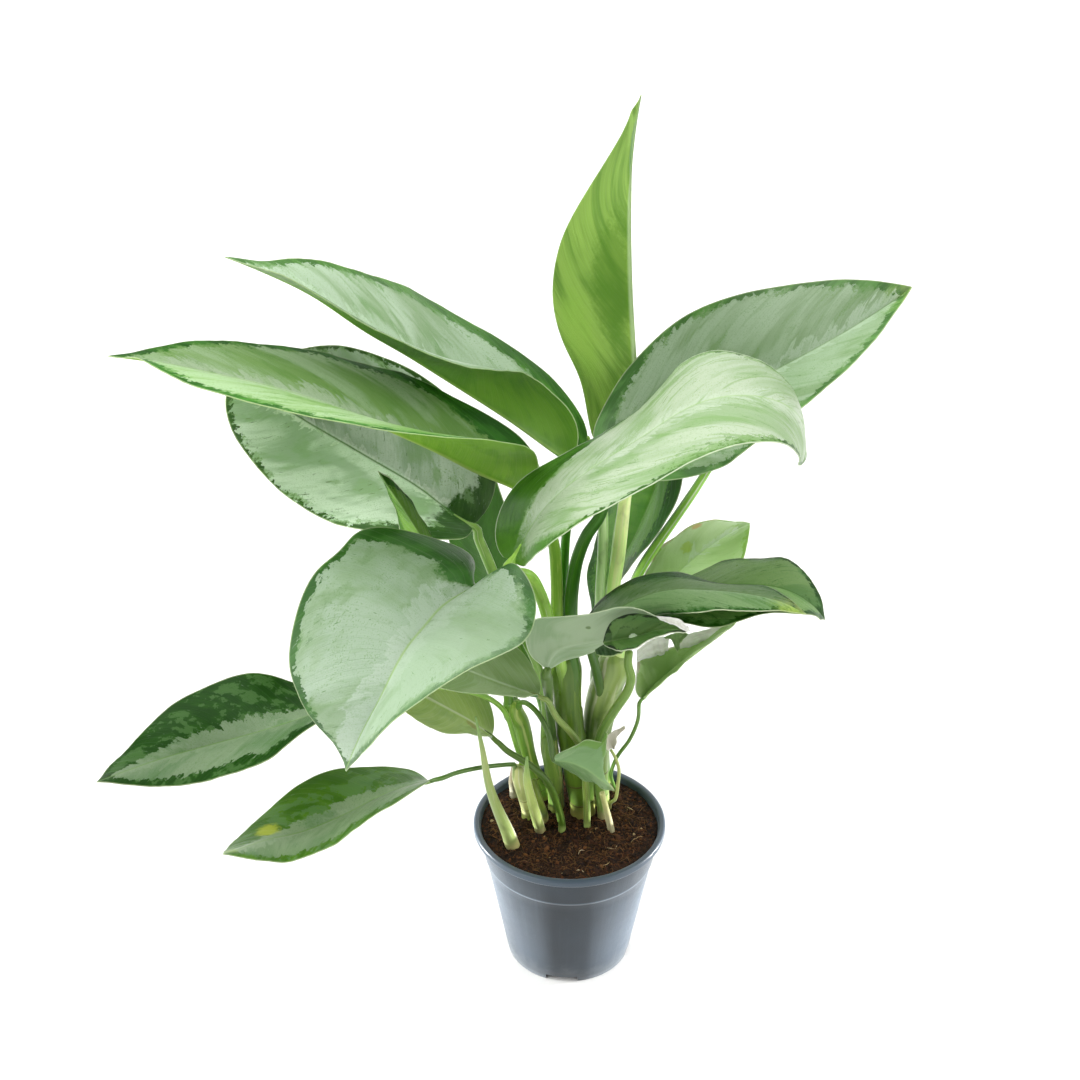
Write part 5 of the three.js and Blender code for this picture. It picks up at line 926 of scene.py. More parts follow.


# colours and habit of each blade; the colours and gains were matched blade by blade to how bright each blade looks
# where it stands, so besides the blade's own colour they partly hold painted light and shade
LOOKS = {
    # its underside blotches are painted light and shade: lighter patches, a darker patch and a painted highlight near
    # the tip
    "leaf_top_upright": dict(vein_u=0.14, under="abd261", under2="76a33c", under_rib="c4dba7", glow="bce65f", through=0.4, silver="7fa05e",
        dark="3f6b26", edge="d6e6a8", ridge=1.7, pleat=0.1, rib_w=0.9, pale_edge_and_rim_light_amt=0.4, gain=0.95, sweep=(0.7, 0.8), period=7.0, under_blotches_and_painted_light=((0.5, 0.25,
        0.2, 0.3, "5c8f22", 0.55), (0.3, 0.75, 0.16, 0.25, "a9d65a", 0.5), (0.86, 0.5, 0.06, 0.5, "b4d878", 0.5))),
    "leaf_right_back": dict(silver="a5bf9c", silver2="8ba97c", pale="bdd3b7", pale_w=5.0, dark="3f6f2c", dark2="5d9444", mid="719b5a", margin=3.0,
        margin_base=13.0, margin_tip=5.0, feather=3.2, flecks=0.45, base_dark=0.12, rib="83a860", rib_amt=0.35, yellow=0.3, yellow_t=0.95,
        right_half_painted_light=1.184, left_half_painted_light=0.907, bulge=0.25, sweep=(0.6, 0.7)),
    "leaf_front_arch": dict(silver="bdcdb2", silver2="9bb78a", pale="c5d4bd", pale_w=6.0, dark="2e6013", dark2="457820", mid="82aa66", margin=2.0,
        margin_base=5.0, margin_tip=3.0, feather=3.0, flecks=0.8, base_dark=0.02, streak=0.6, through=0.22, rib="9cc07c", rib_amt=0.5, edge="e6f2d4",
        pale_edge_and_rim_light_amt=0.7, bulge=0.3, gain=0.92, sweep=(0.75, 0.85), mottle=0.4, wide=((-1, 0.0, 0.06, 0.2, 0.36, 15.0),), spots=((0.0, 0.0, 0.09, 1.4,
        "568c28", 0.9), (0.14, 0.98, 0.12, 0.3, "55902c", 0.8)), left_half_painted_light=0.976, right_half_painted_light=1.025),
    "leaf_left_top": dict(silver="b7cfb1", silver2="93b185", pale="c8dfc2", pale_w=6.0, dark="376e1e", dark2="538f2e", margin=3.6, margin_base=11.0,
        feather=3.0, flecks=0.5, under="73a533", under2="5f9428", under_rib="92bb56", wide=((1, 0.0, 0.1, 0.4, 0.65, 4.0),), base_dark=0.08,
        glow="9bd33f", bulge=0.3, gain=0.88, sweep=(0.6, 0.7), mid="77a263"),
    "leaf_left_mid": dict(silver="a6c494", silver2="84ac62", pale="b8ceac", pale_w=5.0, dark="2a601a", dark2="42822a", margin=3.8, margin_base=15.0,
        feather=3.6, flecks=0.45, under="7ead39", under2="6c9b2e", under_rib="a2bd62", left_half_painted_light=1.36, right_half_painted_light=0.85, base_dark=0.15, wide=((1, 0.0,
        0.1, 0.3, 0.6, 5.0),), glow="9bc339", bulge=0.3, gain=0.8, sweep=(0.6, 0.7), mid="6c9c4c", shine=0.06, coat=0.0),
    # the wide blade's very pale silver is brightened to stand in for its sheen: its own silver plus a painted sheen
    "leaf_left_wide": dict(silver="cee0ca", silver2="a1bc9a", pale="e2eedd", pale_w=2.0, dark="315723", dark2="4a7036", mid="8fb37d", margin=2.2,
        margin_base=15.0, feather=4.0, flecks=0.8, rib="4c7f38", rib_amt=0.75, base_dark=0.1, mottle=0.6, bulge=0.8, pleat=0.45, gain=1.0,
        left_half_painted_light=1.351, right_half_painted_light=0.74),
    "leaf_front_heart": dict(silver="a7bea4", silver2="95b08c", pale="b7cab6", pale_w=11.0, dark="2f6021", dark2="447930", mid="7c9f6b", margin=4.0,
        margin_base=8.0, margin_tip=5.0, feather=3.8, flecks=0.5, rib="a5c67e", rib_w=0.8, rib_amt=0.7, base_dark=0.0, mottle=0.45, bulge=0.2,
        left_half_painted_light=1.145, sweep=(0.12, 0.22), period=9.0, wide=((1, 0.0, 0.04, 0.16, 0.27, 15.0),), through=0.08, right_half_painted_light=1.066, under="86ab62",
        under2="719550", under_rib="b3cb90", glow="a4c86a", spots=((0.5, -0.55, 0.42, 0.55, "a9c2a2", 0.45),)),
    "leaf_low_left_1": dict(silver="8ba37f", silver2="739369", pale="91a885", pale_w=3.0, dark="1a4806", dark2="26590c", mid="5b8549", band=(0.74,
        0.28), margin=2.4, margin_base=3.0, feather=3.0, flecks=0.5, rib="7da45c", base_dark=0.0, islands=0.4, gain=0.7, sweep=(0.3, 0.5), shine=0.1, coat=0.0),
    "leaf_low_left_2": dict(silver="96ae86", silver2="809e70", pale="9fb591", pale_w=3.0, dark="47771b", dark2="62932a", mid="6a935d", band=(0.8,
        0.26), margin=2.0, margin_base=3.0, feather=3.0, flecks=0.5, rib="83aa58", base_dark=0.0, spots=((0.67, 0.42, 0.05, 0.26, "c4cf3e", 0.85),
        (0.95, 0.2, 0.05, 0.6, "a5c455", 0.6)), islands=0.4, gain=0.78, sweep=(0.3, 0.5), shine=0.2, coat=0.0),
    "leaf_spear": dict(silver="7aa844", silver2="6a9a36", dark="2c5c14", dark2="3c7020", mid="497d24", margin=2.0, margin_base=3.0, feather=2.0,
        base_dark=0.0, left_half_painted_light=1.2, right_half_painted_light=0.85, edge="e2edc8", pale_edge_and_rim_light_amt=0.8, flecks=0.2, grain=0.1, through=0.1, under="4f8a28",
        under2="457c22", under_rib="8ab858", pale="c6c890", shine=0.05, coat=0.0),
    "leaf_under_heart_1": dict(under="a8c08c", under2="8fad6e", under_rib="ceddbd", glow="b2d07b", through=0.2, gain=0.85),
    "leaf_under_heart_2": dict(under="bed481", under2="9cbb65", under_rib="f6f6dd", glow="e9ff87", through=0.3, yellow=0.55, yellow_t=0.7,
        yellow_col="b9c64e", gain=0.85, under_blotches_and_painted_light=((0.18, 0.2, 0.05, 0.22, "9a7a3a", 0.6),)),
    "leaf_right_low_front": dict(silver="90b27b", silver2="78a165", pale="a7c593", pale_w=2.0, dark="215118", dark2="326a23", mid="649252", margin=2.6,
        margin_base=5.0, margin_tip=3.0, feather=3.0, flecks=0.9, rib="6b9350", yellow=0.75, yellow_t=0.88, yellow_col="b4d060", base_dark=0.0,
        edge="dfeac4", pale_edge_and_rim_light_amt=0.8, vein=0.5, gain=0.66, sweep=(0.8, 0.9), streak=0.4, wide=((-1, 0.15, 0.35, 0.58, 0.72, 9.0),), left_half_painted_light=0.78,
        right_half_painted_light=1.283, shine=0.08, coat=0.0),
    "leaf_right_low_back": dict(silver="86ab67", silver2="6d9751", dark="194a0a", dark2="275d12", mid="61914c", margin=3.0, feather=3.0, flecks=0.9,
        rib="557f3c", base_dark=0.0, vein=0.9, rib_amt=0.7, gain=0.72, sweep=(0.6, 0.7), streak=0.4, pale="d3e7d0", left_half_painted_light=0.855, right_half_painted_light=1.17, shine=0.12, coat=0.0),
    "leaf_right_up_small": dict(silver="d7ecc1", silver2="bcd89b", pale="e6f3e9", pale_w=3.0, dark="95c269", dark2="acd478", mid="c2dfa3", margin=2.0,
        margin_base=3.0, feather=3.0, flecks=0.25, under="a4c670", under2="8cb456", under_rib="b6d288", glow="bfe060", through=0.35, dry=(-1, 0.95,
        "e6e8d4"), base_dark=0.0, gain=1.0, rib_amt=0.3, spots=((0.62, -0.85, 0.04, 0.12, "d6a45a", 0.7), (0.49, -0.38, 0.05, 0.18, "b9d048", 0.6)),
        under_blotches_and_painted_light=((0.62, -0.85, 0.04, 0.12, "d6a45a", 0.7),), left_half_painted_light=0.923, right_half_painted_light=1.083),
    "leaf_center_curled": dict(under="a2b894", under2="8ca87f", under_rib="abbf9d", silver="6f9468", silver2="5d8656", edge="dbe8c8", pale_edge_and_rim_light_amt=0.8,
        through=0.2, rib_amt=0.2, ridge=0.4, rib_w=0.3, gain=0.95, wave=0.5, hole=((0.655, -0.05, 0.075, 0.36),), under_blotches_and_painted_light=((0.4, 0.48, 0.012, 0.05,
        "5f7a4a", 0.9),), glow="a1c649"),
    "leaf_center_small": dict(silver="688d4b", silver2="547b3e", dark="11260d", dark2="1b3113", mid="5d8646", margin=1.0, margin_base=2.0, feather=1.4,
        edge="dbe7c6", pale_edge_and_rim_light_amt=0.9, ridge=0.3, mottle=0.3, pale_edge_and_rim_light_side=1, gain=0.7, through=0.1, hole=((0.34, -0.03, 0.045, 0.13),), pale="f3e7f5",
        left_half_painted_light=0.931, right_half_painted_light=1.073, shine=0.22, coat=0.0),
    "leaf_right_lower": dict(under="86b05a", under2="74a04a", under_rib="a6c480", silver="c4dea0", silver2="a4c480", dark="a8c880", dark2="b8d490",
        mid="a4c480", dry=(-1, 0.9, "f2f0ea"), flecks=0.3, gain=1.0, margin=0.5, margin_base=0.5, margin_tip=0.5, islands=0.1, pale="cce2b0",
        right_half_painted_light=1.0),
    "leaf_small_front": dict(silver="9cbb88", silver2="7fa56c", pale="cad8ad", pale_w=0.0, dark="3f6e38", dark2="55814a", mid="7fa56c", under="86ab58",
        margin=0.3, margin_base=0.3, margin_tip=0.3, feather=0.5, base_dark=0.0, vein=3.5, yellow=0.35, yellow_t=0.93, yellow_col="e0b890", mottle=0.3,
        islands=0.0, gain=0.95, streak=0.5, spots=((0.42, -0.86, 0.34, 0.16, "6f9c3c", 0.75),), left_half_painted_light=0.97, right_half_painted_light=0.8, grain=0.05, period=3.2),
    "leaf_back_hanging": dict(silver="73b142", silver2="5f9d35", dark="2b6213", dark2="3a7c1d", mid="52912d", under="55853a", under2="467630",
        margin=6.0, gain=0.6, pale="dbffa9", left_half_painted_light=1.0, right_half_painted_light=0.999, shine=0.15, coat=0.0),
    "leaf_back_left": dict(under="356a0a", under2="2b5d07", under_rib="4c801a", glow="508e13", through=0.25, gain=0.75, silver="5f8f33",
        silver2="4f802a", dark="2f6018", shine=0.15, coat=0.0),
    "leaf_back_right": dict(silver="8fb084", silver2="7a9f6e", dark="2b5a20", dark2="3e702c", margin=4.5, margin_base=14.0, feather=4.0, flecks=0.6,
        bulge=0.25),
}


for i, (name, rows) in enumerate(LEAVES.items()):
    look = dict(LOOKS.get(name, {}))
    shape = {k: look.pop(k) for k in ("pleat", "wave", "ridge", "hole", "bulge", "sweep") if k in look}
    w = max(np.linalg.norm(np.array(r[0]) - np.array(r[1])) for r in rows)
    per = 6.0 + 0.11 * w
    ob = build_leaf(name, rows, 100 + i, period=per, **shape)
    look.setdefault("period", per)
    mid = np.array([r[1] for r in rows])
    look["length"] = float(np.linalg.norm(np.diff(mid, axis=0), axis=1).sum())
    place(ob, leaf_material(name, i + 1, **look), name)

# ---------------------------------------------------------------- stalks and canes
def stem_look(name, seed, base, streak, edge, foot, tip=None, foot_len=9.0, rings=(), gloss=0.36, tint=(1.0, 1.0, 1.0), foot_tint=(1.0, 1.0, 1.0)):
    """green stalk: lengthwise streaks, pale channel edges, pale foot, brown rings at the given heights in mm"""
    g = Graph("stalk_look_" + name)
    # the stalk's colours are scaled by its multipliers, which hold painted light and shade as well as a colour
    # correction
    base, streak, edge = (tuple(min(0.95, a * b) for a, b in zip(hexc(c), tint)) for c in (base, streak, edge))
    V = g.split(g.attr("lst").outputs["Vector"])
    a, h, u = V[0], V[1], V[2]          # angle share from the channel (-1..1), mm from the foot, share of the length
    k = 5.1 * seed
    n1 = g.noise(g.vec(g.mul(a, 3.0), g.mul(h, 0.012), k), 1.0, 3.0, 0.6)
    n2 = g.noise(g.vec(g.mul(a, 9.0), g.mul(h, 0.035), g.add(k, 4.0)), 1.0, 3.0, 0.6)
    n3 = g.noise(g.vec(g.mul(a, 1.2), g.mul(h, 0.05), g.add(k, 9.0)), 1.0, 3.0, 0.55)
    n4 = g.noise(g.vec(g.mul(a, 5.0), g.mul(h, 0.9), g.add(k, 14.0)), 1.0, 2.0, 0.6)
    col = g.mix(g.step(n1, 0.35, 0.68), base, streak)
    col = g.mix(g.mul(g.step(n2, 0.56, 0.70), 0.32), col, edge)
    col = g.mix(g.mul(g.step(n3, 0.56, 0.72), 0.30), col, hexc("2b5518"))
    rim = g.step(g.ab(g.sub(g.ab(g.add(a, g.mul(g.sub(n3, 0.5), 0.10))), 0.20)), 0.060, 0.02)
    col = g.mix(g.mul(rim, g.mul(g.step(n1, 0.30, 0.62), 0.75)), col, edge)
    ch = g.step(g.ab(a), 0.17, 0.10)
    col = g.mix(g.mul(ch, 0.35), col, streak)
    if tip:
        col = g.mix(g.step(u, 0.72, 0.98), col, hexc(tip))
    ft = g.step(g.add(h, g.mul(g.sub(n3, 0.5), 10.0)), foot_len, foot_len * 0.15)
    # the foot takes the carrying cane's multipliers, painted light and shade included
    col = g.mix(ft, col, tuple(min(0.95, a_ * b_) for a_, b_ in zip(hexc(foot), foot_tint)))
    rough = g.line(n3, 0.3, 0.7, gloss - 0.04, gloss + 0.10)
    bh = g.add(g.mul(n2, 0.6), g.mul(n4, 0.2))
    for (z, wd) in rings:
        r = g.step(g.ab(g.sub(g.add(h, g.mul(g.sub(n1, 0.5), 3.0)), z)), wd, wd * 0.35)
        col = g.mix(g.mul(r, 0.8), col, hexc("5d4a24"))
        bh = g.sub(bh, g.mul(r, 0.6))
    sp = g.step(n4, 0.72, 0.78)
    col = g.mix(g.mul(sp, 0.25), col, hexc("6f5a34"))
    nm = g.bump(bh, 0.0003, 0.5)
    return g.surface(col, rough, nm, None, 0.0, 0.36, 0.04, 0.25, 0.14, (0.92, 1.0, 0.84))


def build_stem(name, pts, kind, seed, sink=0.0, sides=22, channel=0.16, wing=0.10, flat=1.0, ridges=0.0, end="round", nodes=()):
    """a stalk swept along its centre line; the channel faces the plant's axis; a cane gets overlapping sheath ridges"""
    pts = np.array(pts, float)
    c, r = pts[:, :3], pts[:, 3]
    # the foot goes a little into what carries it
    if sink:
        dirn = unit(c[0] - c[1]) if np.linalg.norm(c[0] - c[1]) > 1e-6 else np.array([0, 0, -1.0])
        c = np.vstack([c[0] + dirn * sink, c])
        r = np.r_[r[0], r]
    chord = np.r_[0, np.cumsum(np.sqrt(np.linalg.norm(np.diff(c, axis=0), axis=1)))]
    # centripetal Catmull-Rom through the points
    n = max(14, int(np.linalg.norm(np.diff(c, axis=0), axis=1).sum() / 2.4))
    ext = np.vstack([2 * c[0] - c[1], c, 2 * c[-1] - c[-2]])
    kt = np.r_[0, np.cumsum(np.maximum(np.linalg.norm(np.diff(ext, axis=0), axis=1), 1e-4) ** 0.5)]
    us = np.linspace(kt[1] + 1e-9, kt[-2] - 1e-9, n)
    seg = np.clip(np.searchsorted(kt, us) - 1, 1, len(c) - 1)
    C = np.zeros((n, 3))
    for m, (uu, i) in enumerate(zip(us, seg)):
        P0, P1, P2, P3 = ext[i - 1], ext[i], ext[i + 1], ext[i + 2]
        t0, t1, t2, t3 = kt[i - 1], kt[i], kt[i + 1], kt[i + 2]
        A1 = (t1 - uu) / (t1 - t0) * P0 + (uu - t0) / (t1 - t0) * P1
        A2 = (t2 - uu) / (t2 - t1) * P1 + (uu - t1) / (t2 - t1) * P2
        A3 = (t3 - uu) / (t3 - t2) * P2 + (uu - t2) / (t3 - t2) * P3
        B1 = (t2 - uu) / (t2 - t0) * A1 + (uu - t0) / (t2 - t0) * A2
        B2 = (t3 - uu) / (t3 - t1) * A2 + (uu - t1) / (t3 - t1) * A3
        C[m] = (t2 - uu) / (t2 - t1) * B1 + (uu - t1) / (t2 - t1) * B2
    h = np.r_[0, np.cumsum(np.linalg.norm(np.diff(C, axis=0), axis=1))]
    C = np.stack([np.interp(np.linspace(0, h[-1], n), h, C[:, k]) for k in range(3)], 1)
    h = np.linspace(0, h[-1], n)
    s0 = np.r_[0, np.cumsum(np.linalg.norm(np.diff(c, axis=0), axis=1))]
    Rr = np.interp(h / h[-1] * s0[-1], s0, r)
    ker = np.ones(5) / 5
    Rr = np.convolve(np.pad(Rr, 2, mode="edge"), ker, mode="valid")
    tan = unit(np.gradient(C, axis=0))
    # frame carried along the line, starting with the side that faces the plant's axis
    ref = np.array([4.0, 16.0, 0.0]) - C[0]
    ref[2] = 0
    if np.linalg.norm(ref) < 1:
        ref = np.array([0.3, -1.0, 0])
    X = np.zeros((n, 3))
    v = unit(ref - tan[0] * np.dot(ref, tan[0]))
    for m in range(n):
        v = unit(v - tan[m] * np.dot(v, tan[m]))
        X[m] = v
    Y = np.cross(tan, X)
    th = np.linspace(-math.pi, math.pi, sides, endpoint=False)
    rs = np.random.RandomState(seed)
    ph = rs.rand(4) * 6.28
    ring = np.ones((n, sides))
    ath = np.abs(th)
    if kind == "cane":
        # sheaths that wrap each other: the radius steps down behind each slanting edge
        for k2 in range(3):
            edge = (ph[k2] + 0.012 * h + k2 * 2.1)[:, None]
            x = np.mod(th[None] - edge, 2 * math.pi) / (2 * math.pi)
            ring += ridges * (np.exp(-x * 5) - 0.18) * (0.8 + 0.3 * rs.rand())
        ring *= 1 + 0.025 * np.sin(h[:, None] * 0.16 + ph[3])
        ring *= 1.05 * (1 - 0.15 * ramp(h, h[-1] - 9.0, h[-1]))[:, None]
        for z in nodes:
            ring *= (1 + 0.035 * np.exp(-((h - sink - z) / 1.3) ** 2) - 0.03 * np.exp(-((h - sink - z - 2.2) / 1.2) ** 2))[:, None]
    else:
        fade = ramp(1 - h / h[-1], 0.0, 0.25)[:, None]
        ring -= channel * np.exp(-(th / 0.42) ** 2)[None] * (0.5 + 0.5 * fade)
        ring += wing * np.exp(-((ath - 0.68) / 0.22) ** 2)[None] * fade
        ring *= 1 + 0.015 * np.sin(h[:, None] * 0.21 + ph[0]) * np.cos(th[None] + ph[1])
    cosn, sinn = np.cos(th)[None, :, None], np.sin(th)[None, :, None]
    V = C[:, None] + (X[:, None] * cosn + Y[:, None] * sinn * flat) * (Rr[:, None] * ring)[..., None]
    verts = V.reshape(-1, 3)
    aa = np.broadcast_to(th / math.pi, (n, sides))
    hh = np.broadcast_to((h - sink)[:, None], (n, sides))
    uu = np.broadcast_to((h / h[-1])[:, None], (n, sides))
    att = np.stack([aa, hh, uu], -1).reshape(-1, 3)
    faces = []
    for i in range(n - 1):
        for j in range(sides):
            k2 = (j + 1) % sides
            faces.append((i * sides + j, i * sides + k2, (i + 1) * sides + k2, (i + 1) * sides + j))
    # closing caps: two rounding rings and a centre
    extra, ex_att = [], []
    base = len(verts)
    for row, sg in ((0, -1), (n - 1, 1)):
        prev = [row * sides + j for j in range(sides)]
        dome = (0.55, 0.28) if end == "round" else (0.12, 0.05)
        for f, up in ((0.86, 0.45), (0.5, 0.85)):
            ids = []
            for j in range(sides):
                p = C[row] + (V[row, j] - C[row]) * f + tan[row] * sg * Rr[row] * dome[0] * up
                ids.append(base + len(extra))
                extra.append(p)
                ex_att.append((th[j] / math.pi, h[row] - sink, h[row] / h[-1]))
            for j in range(sides):
                k2 = (j + 1) % sides
                f4 = (prev[j], prev[k2], ids[k2], ids[j])
                faces.append(f4 if sg > 0 else f4[::-1])
            prev = ids
        cid = base + len(extra)
        extra.append(C[row] + tan[row] * sg * Rr[row] * dome[0])
        ex_att.append((0.5, h[row] - sink, h[row] / h[-1]))
        for j in range(sides):
            k2 = (j + 1) % sides
            f3 = (prev[j], prev[k2], cid)
            faces.append(f3 if sg > 0 else f3[::-1])
    verts = np.vstack([verts, np.array(extra)])
    att = np.vstack([att, np.array(ex_att)])
    return make_mesh("vis_" + name, verts, faces, {"lst": att})


STEM_LOOK = {
    "cane": dict(base="4f7f2c", streak="6a983a", edge="b4c884", foot="aebf62", foot_len=9.0, gloss=0.30),
    "petiole": dict(base="659a38", streak="80b04a", edge="cfe0aa", foot="a9c46c", foot_len=5.0, gloss=0.32),
    "shoot": dict(base="7ea347", streak="98b75c", edge="d4deae", foot="c4c47a", foot_len=10.0, gloss=0.36),
}
STEM_OVER = {
    "petiole_top_upright": dict(base="98c05c", streak="b4d274", edge="f6faea"),
    "petiole_right_back": dict(base="467424", streak="6a9838", edge="c6da9c"),
    "petiole_left_mid": dict(base="84aa5c", streak="a4c47c", edge="eef4dc"),
    "petiole_left_top": dict(base="3f6e28", streak="568434", edge="8fb060"),
    "petiole_new_leaf": dict(base="6f9c4c", streak="94b96c", edge="deeac4", tip="86ae48"),
    "petiole_front_arch": dict(base="8cc044", streak="aad45c", edge="f0f6dc"),
    "petiole_left_wide": dict(base="5c8f34", streak="78a844", edge="c6da9c"),
    "petiole_back_right": dict(base="5c9030", streak="76a840", edge="c4d89a"),
    "stalk_dry": dict(base="628c38", streak="7fa448", edge="c9d49a", foot="c2bd86"),
    "stalk_loop": dict(base="86a052", streak="a0b066", edge="cacd98"),
    "stub_pale": dict(base="bcc082", streak="cccc98", edge="e2e0be", foot="cbc69a", foot_len=26.0),
    "sprout_pale_back": dict(base="c4cc98", streak="d4d8ae", edge="e8e8d4", foot="d8d4b6", foot_len=30.0),
    "sprout_front": dict(base="8cb04e", streak="9fbd60", edge="e4ecc6", foot="d8d489", foot_len=9.0, tip="7aa050"),
    "sprout_mid": dict(base="8aae4e", streak="9cbb60", edge="dde6b8", foot="d8d28c", foot_len=9.0, tip="84a856"),
    "cane_main": dict(foot="b2b25c", foot_len=17.0, base="567a2a", streak="739638", edge="a9bd74", rings=((13.0, 0.8), (31.0, 0.9), (56.0, 0.8))),
    "cane_right": dict(base="527628", streak="6f9236", edge="a2b86e", rings=((12.0, 0.8), (33.0, 0.9))),
    "cane_left": dict(base="558432", streak="6f9b40", edge="b0c480", rings=((16.0, 0.8), (37.0, 0.8))),
    "cane_mid": dict(base="5c8a36", streak="77a144", edge="b8ca86", rings=((22.0, 0.8),)),
    "cane_fore": dict(base="7d9a46", streak="93aa56", edge="c6cc92", rings=((14.0, 0.7), (30.0, 0.7))),
}
THIN = {"sprout_front": 0.96, "sprout_mid": 0.82, "sprout_behind": 0.9, "petiole_right_lower": 0.85, "petiole_low_left_2": 0.85}


# visible run of the stalks that would turn sharply off their cane
SMOOTHER = {
    "sprout_front": [(-35.7, -20.9, 95.9, 4.6), (-38.8, -25.9, 111.5, 4.1), (-44.2, -32.0, 132.4, 3.3), (-48.3, -37.8, 152.4, 2.6), (-50.3, -41.7, 169.2, 2.1), (-51.7, -46.6, 185.8, 1.6), (-53.4, -49.5, 199.8, 1.1), (-55.1, -52.0, 212.8, 0.5)],
    "petiole_low_front": [(20.9, 13.0, 163.5, 2.2), (19.3, 9.5, 177.8, 2.5), (17.8, 7.0, 191.2, 2.8), (15.7, 3.0, 205.5, 3.0), (12.9, -4.0, 221.4, 2.8), (10.2, -9.0, 235.1, 2.6)],
    "petiole_under_1": [(11.0, -3.3, 95.9, 2.2), (11.0, -3.3, 98.9, 2.2), (9.9, -4.5, 124.9, 2.2), (6.3, -11.2, 161.5, 2.1), (0.2, -13.4, 174.1, 2.0), (-8.3, -16.5, 187.2, 2.0)],
    "petiole_small_front": [(-32.9, -1.0, 173.4, 1.5), (-32.2, -4.0, 185.7, 1.6), (-28.5, -7.0, 192.1, 1.6), (-23.2, -11.0, 191.3, 1.6), (-17.8, -15.5, 186.5, 1.6), (-13.6, -19.0, 178.1, 1.6), (-11.8, -21.3, 170.3, 1.6), (-11.2, -22.7, 163.2, 1.5)],
}
# per-stalk colour multipliers, matched to how bright each stalk looks where it stands: partly a colour correction,
# partly painted light and shade, with lit stalks brightened and shaded ones darkened
STEM_TINT_AND_PAINTED_LIGHT = {
    "cane_main": (0.84, 0.88, 0.41),
    "cane_right": (2.93, 2.19, 4.92),
    "cane_left": (1.98, 1.73, 1.26),
    "cane_mid": (1.33, 1.13, 0.99),
    "cane_fore": (2.71, 2.00, 3.71),
    "petiole_left_mid": (1.00, 1.17, 0.39),
    "petiole_right_back": (0.45, 0.80, 0.17),
    "petiole_left_top": (0.89, 1.51, 0.19),
    "petiole_front_arch": (1.31, 1.31, 1.27),
    "petiole_top_upright": (2.53, 2.34, 3.21),
    "petiole_new_leaf": (2.72, 2.28, 3.34),
    "petiole_low_front": (0.36, 0.43, 0.32),
    "petiole_back_right": (3.19, 2.68, 3.63),
    "petiole_small_front": (0.39, 0.38, 0.34),
    "petiole_left_wide": (2.06, 1.65, 2.28),
    "petiole_center_curled": (0.42, 0.44, 0.27),
    "petiole_low_left_1": (1.54, 1.42, 0.95),
    "petiole_under_2": (0.49, 0.47, 0.21),
    "petiole_back_left": (0.48, 0.63, 0.25),
    "petiole_low_left_2": (0.54, 0.58, 0.50),
    "petiole_under_1": (1.27, 0.87, 1.09),
    "petiole_right_lower": (0.82, 0.87, 0.74),
    "stalk_dry": (1.31, 1.21, 1.21),
    "stalk_loop": (1.68, 1.49, 1.57),
    "stub_pale": (1.05, 1.05, 0.82),
    "sprout_front": (1.19, 0.98, 1.44),
    "sprout_mid": (1.52, 1.26, 1.50),
    "sprout_behind": (0.91, 0.79, 0.50),
    "sprout_pale_back": (0.57, 0.44, 0.47),
}


def along_line(pts, z):
    """centre and radius of a stem at a height"""
    p = np.array(pts)
    zz = np.maximum.accumulate(p[:, 2] + np.arange(len(p)) * 1e-6)
    return np.array([np.interp(z, zz, p[:, k]) for k in range(4)])


def sheath(name, pts):
    """the part of a stalk that wraps the cane below it"""
    if name not in PARENT:
        return pts, 0.0
    cane = STEMS[PARENT[name]]
    top = np.array(cane[-1])
    base = np.array(pts[0])
    away = base[:2] - top[:2]
    away = away / max(np.linalg.norm(away), 1e-6)
    reach = {"cane_main": 34.0, "cane_right": 32.0, "cane_back": 26.0, "cane_left": 34.0, "cane_mid": 24.0, "cane_fore": 14.0}[PARENT[name]]
    r0 = base[3]
    rows = []
    for f in (1.0, 0.72, 0.48, 0.26, 0.08):
        z = top[2] - reach * f
        c = along_line(cane, z)
        rc = c[3] * (1 - 0.15 * ramp(np.array([z]), top[2] - 9.0, top[2])[0])
        rr = r0 * (1 + 0.55 * f)
        out = max(rc + r0 * (0.34 - 0.52 * f) - rr, 0.0)
        if f < 0.2:
            out = 0.5 * out + 0.5 * np.linalg.norm(base[:2] - top[:2])
        rows.append([c[0] + away[0] * out, c[1] + away[1] * out, z, rr])
    return rows + [list(p) for p in pts], reach


def into_blade(name, pts):
    """the stalk runs on under the blade as the start of its midrib"""
    if name not in BLADE:
        return pts
    rows = np.array(LEAVES[BLADE[name]], float)
    Lr, Mr, Rr = rows[:, 0], rows[:, 1], rows[:, 2]
    x = np.linspace(0, 5, 60)
    L, M, R = spline(Lr, x), spline(Mr, x), spline(Rr, x)
    s = np.r_[0, np.cumsum(np.linalg.norm(np.diff(M, axis=0), axis=1))]
    N = unit(np.cross(R - L, np.gradient(M, axis=0)))
    N[:8] = N[8]
    r = pts[-1][3]
    out = [list(p) for p in pts]
    steps = ((1.5, 0.80, 0.50), (6.0, 0.55, 0.55), (12.0, 0.34, 0.75))
    if name in ("petiole_center_curled", "petiole_small_front"):
        # its blade turns the underside to the viewer: the stalk ends at the blade
        steps = ((0.8, 0.45, 0.3),)
    # the last point before the blade is lowered a little so that the run is smooth
    for i, (at_, fr, dn) in enumerate(steps):
        m = np.array([np.interp(at_, s, M[:, k]) for k in range(3)])
        n = np.array([np.interp(at_, s, N[:, k]) for k in range(3)])
        out.append([*(m - n * r * fr * dn), r * fr])
    return out


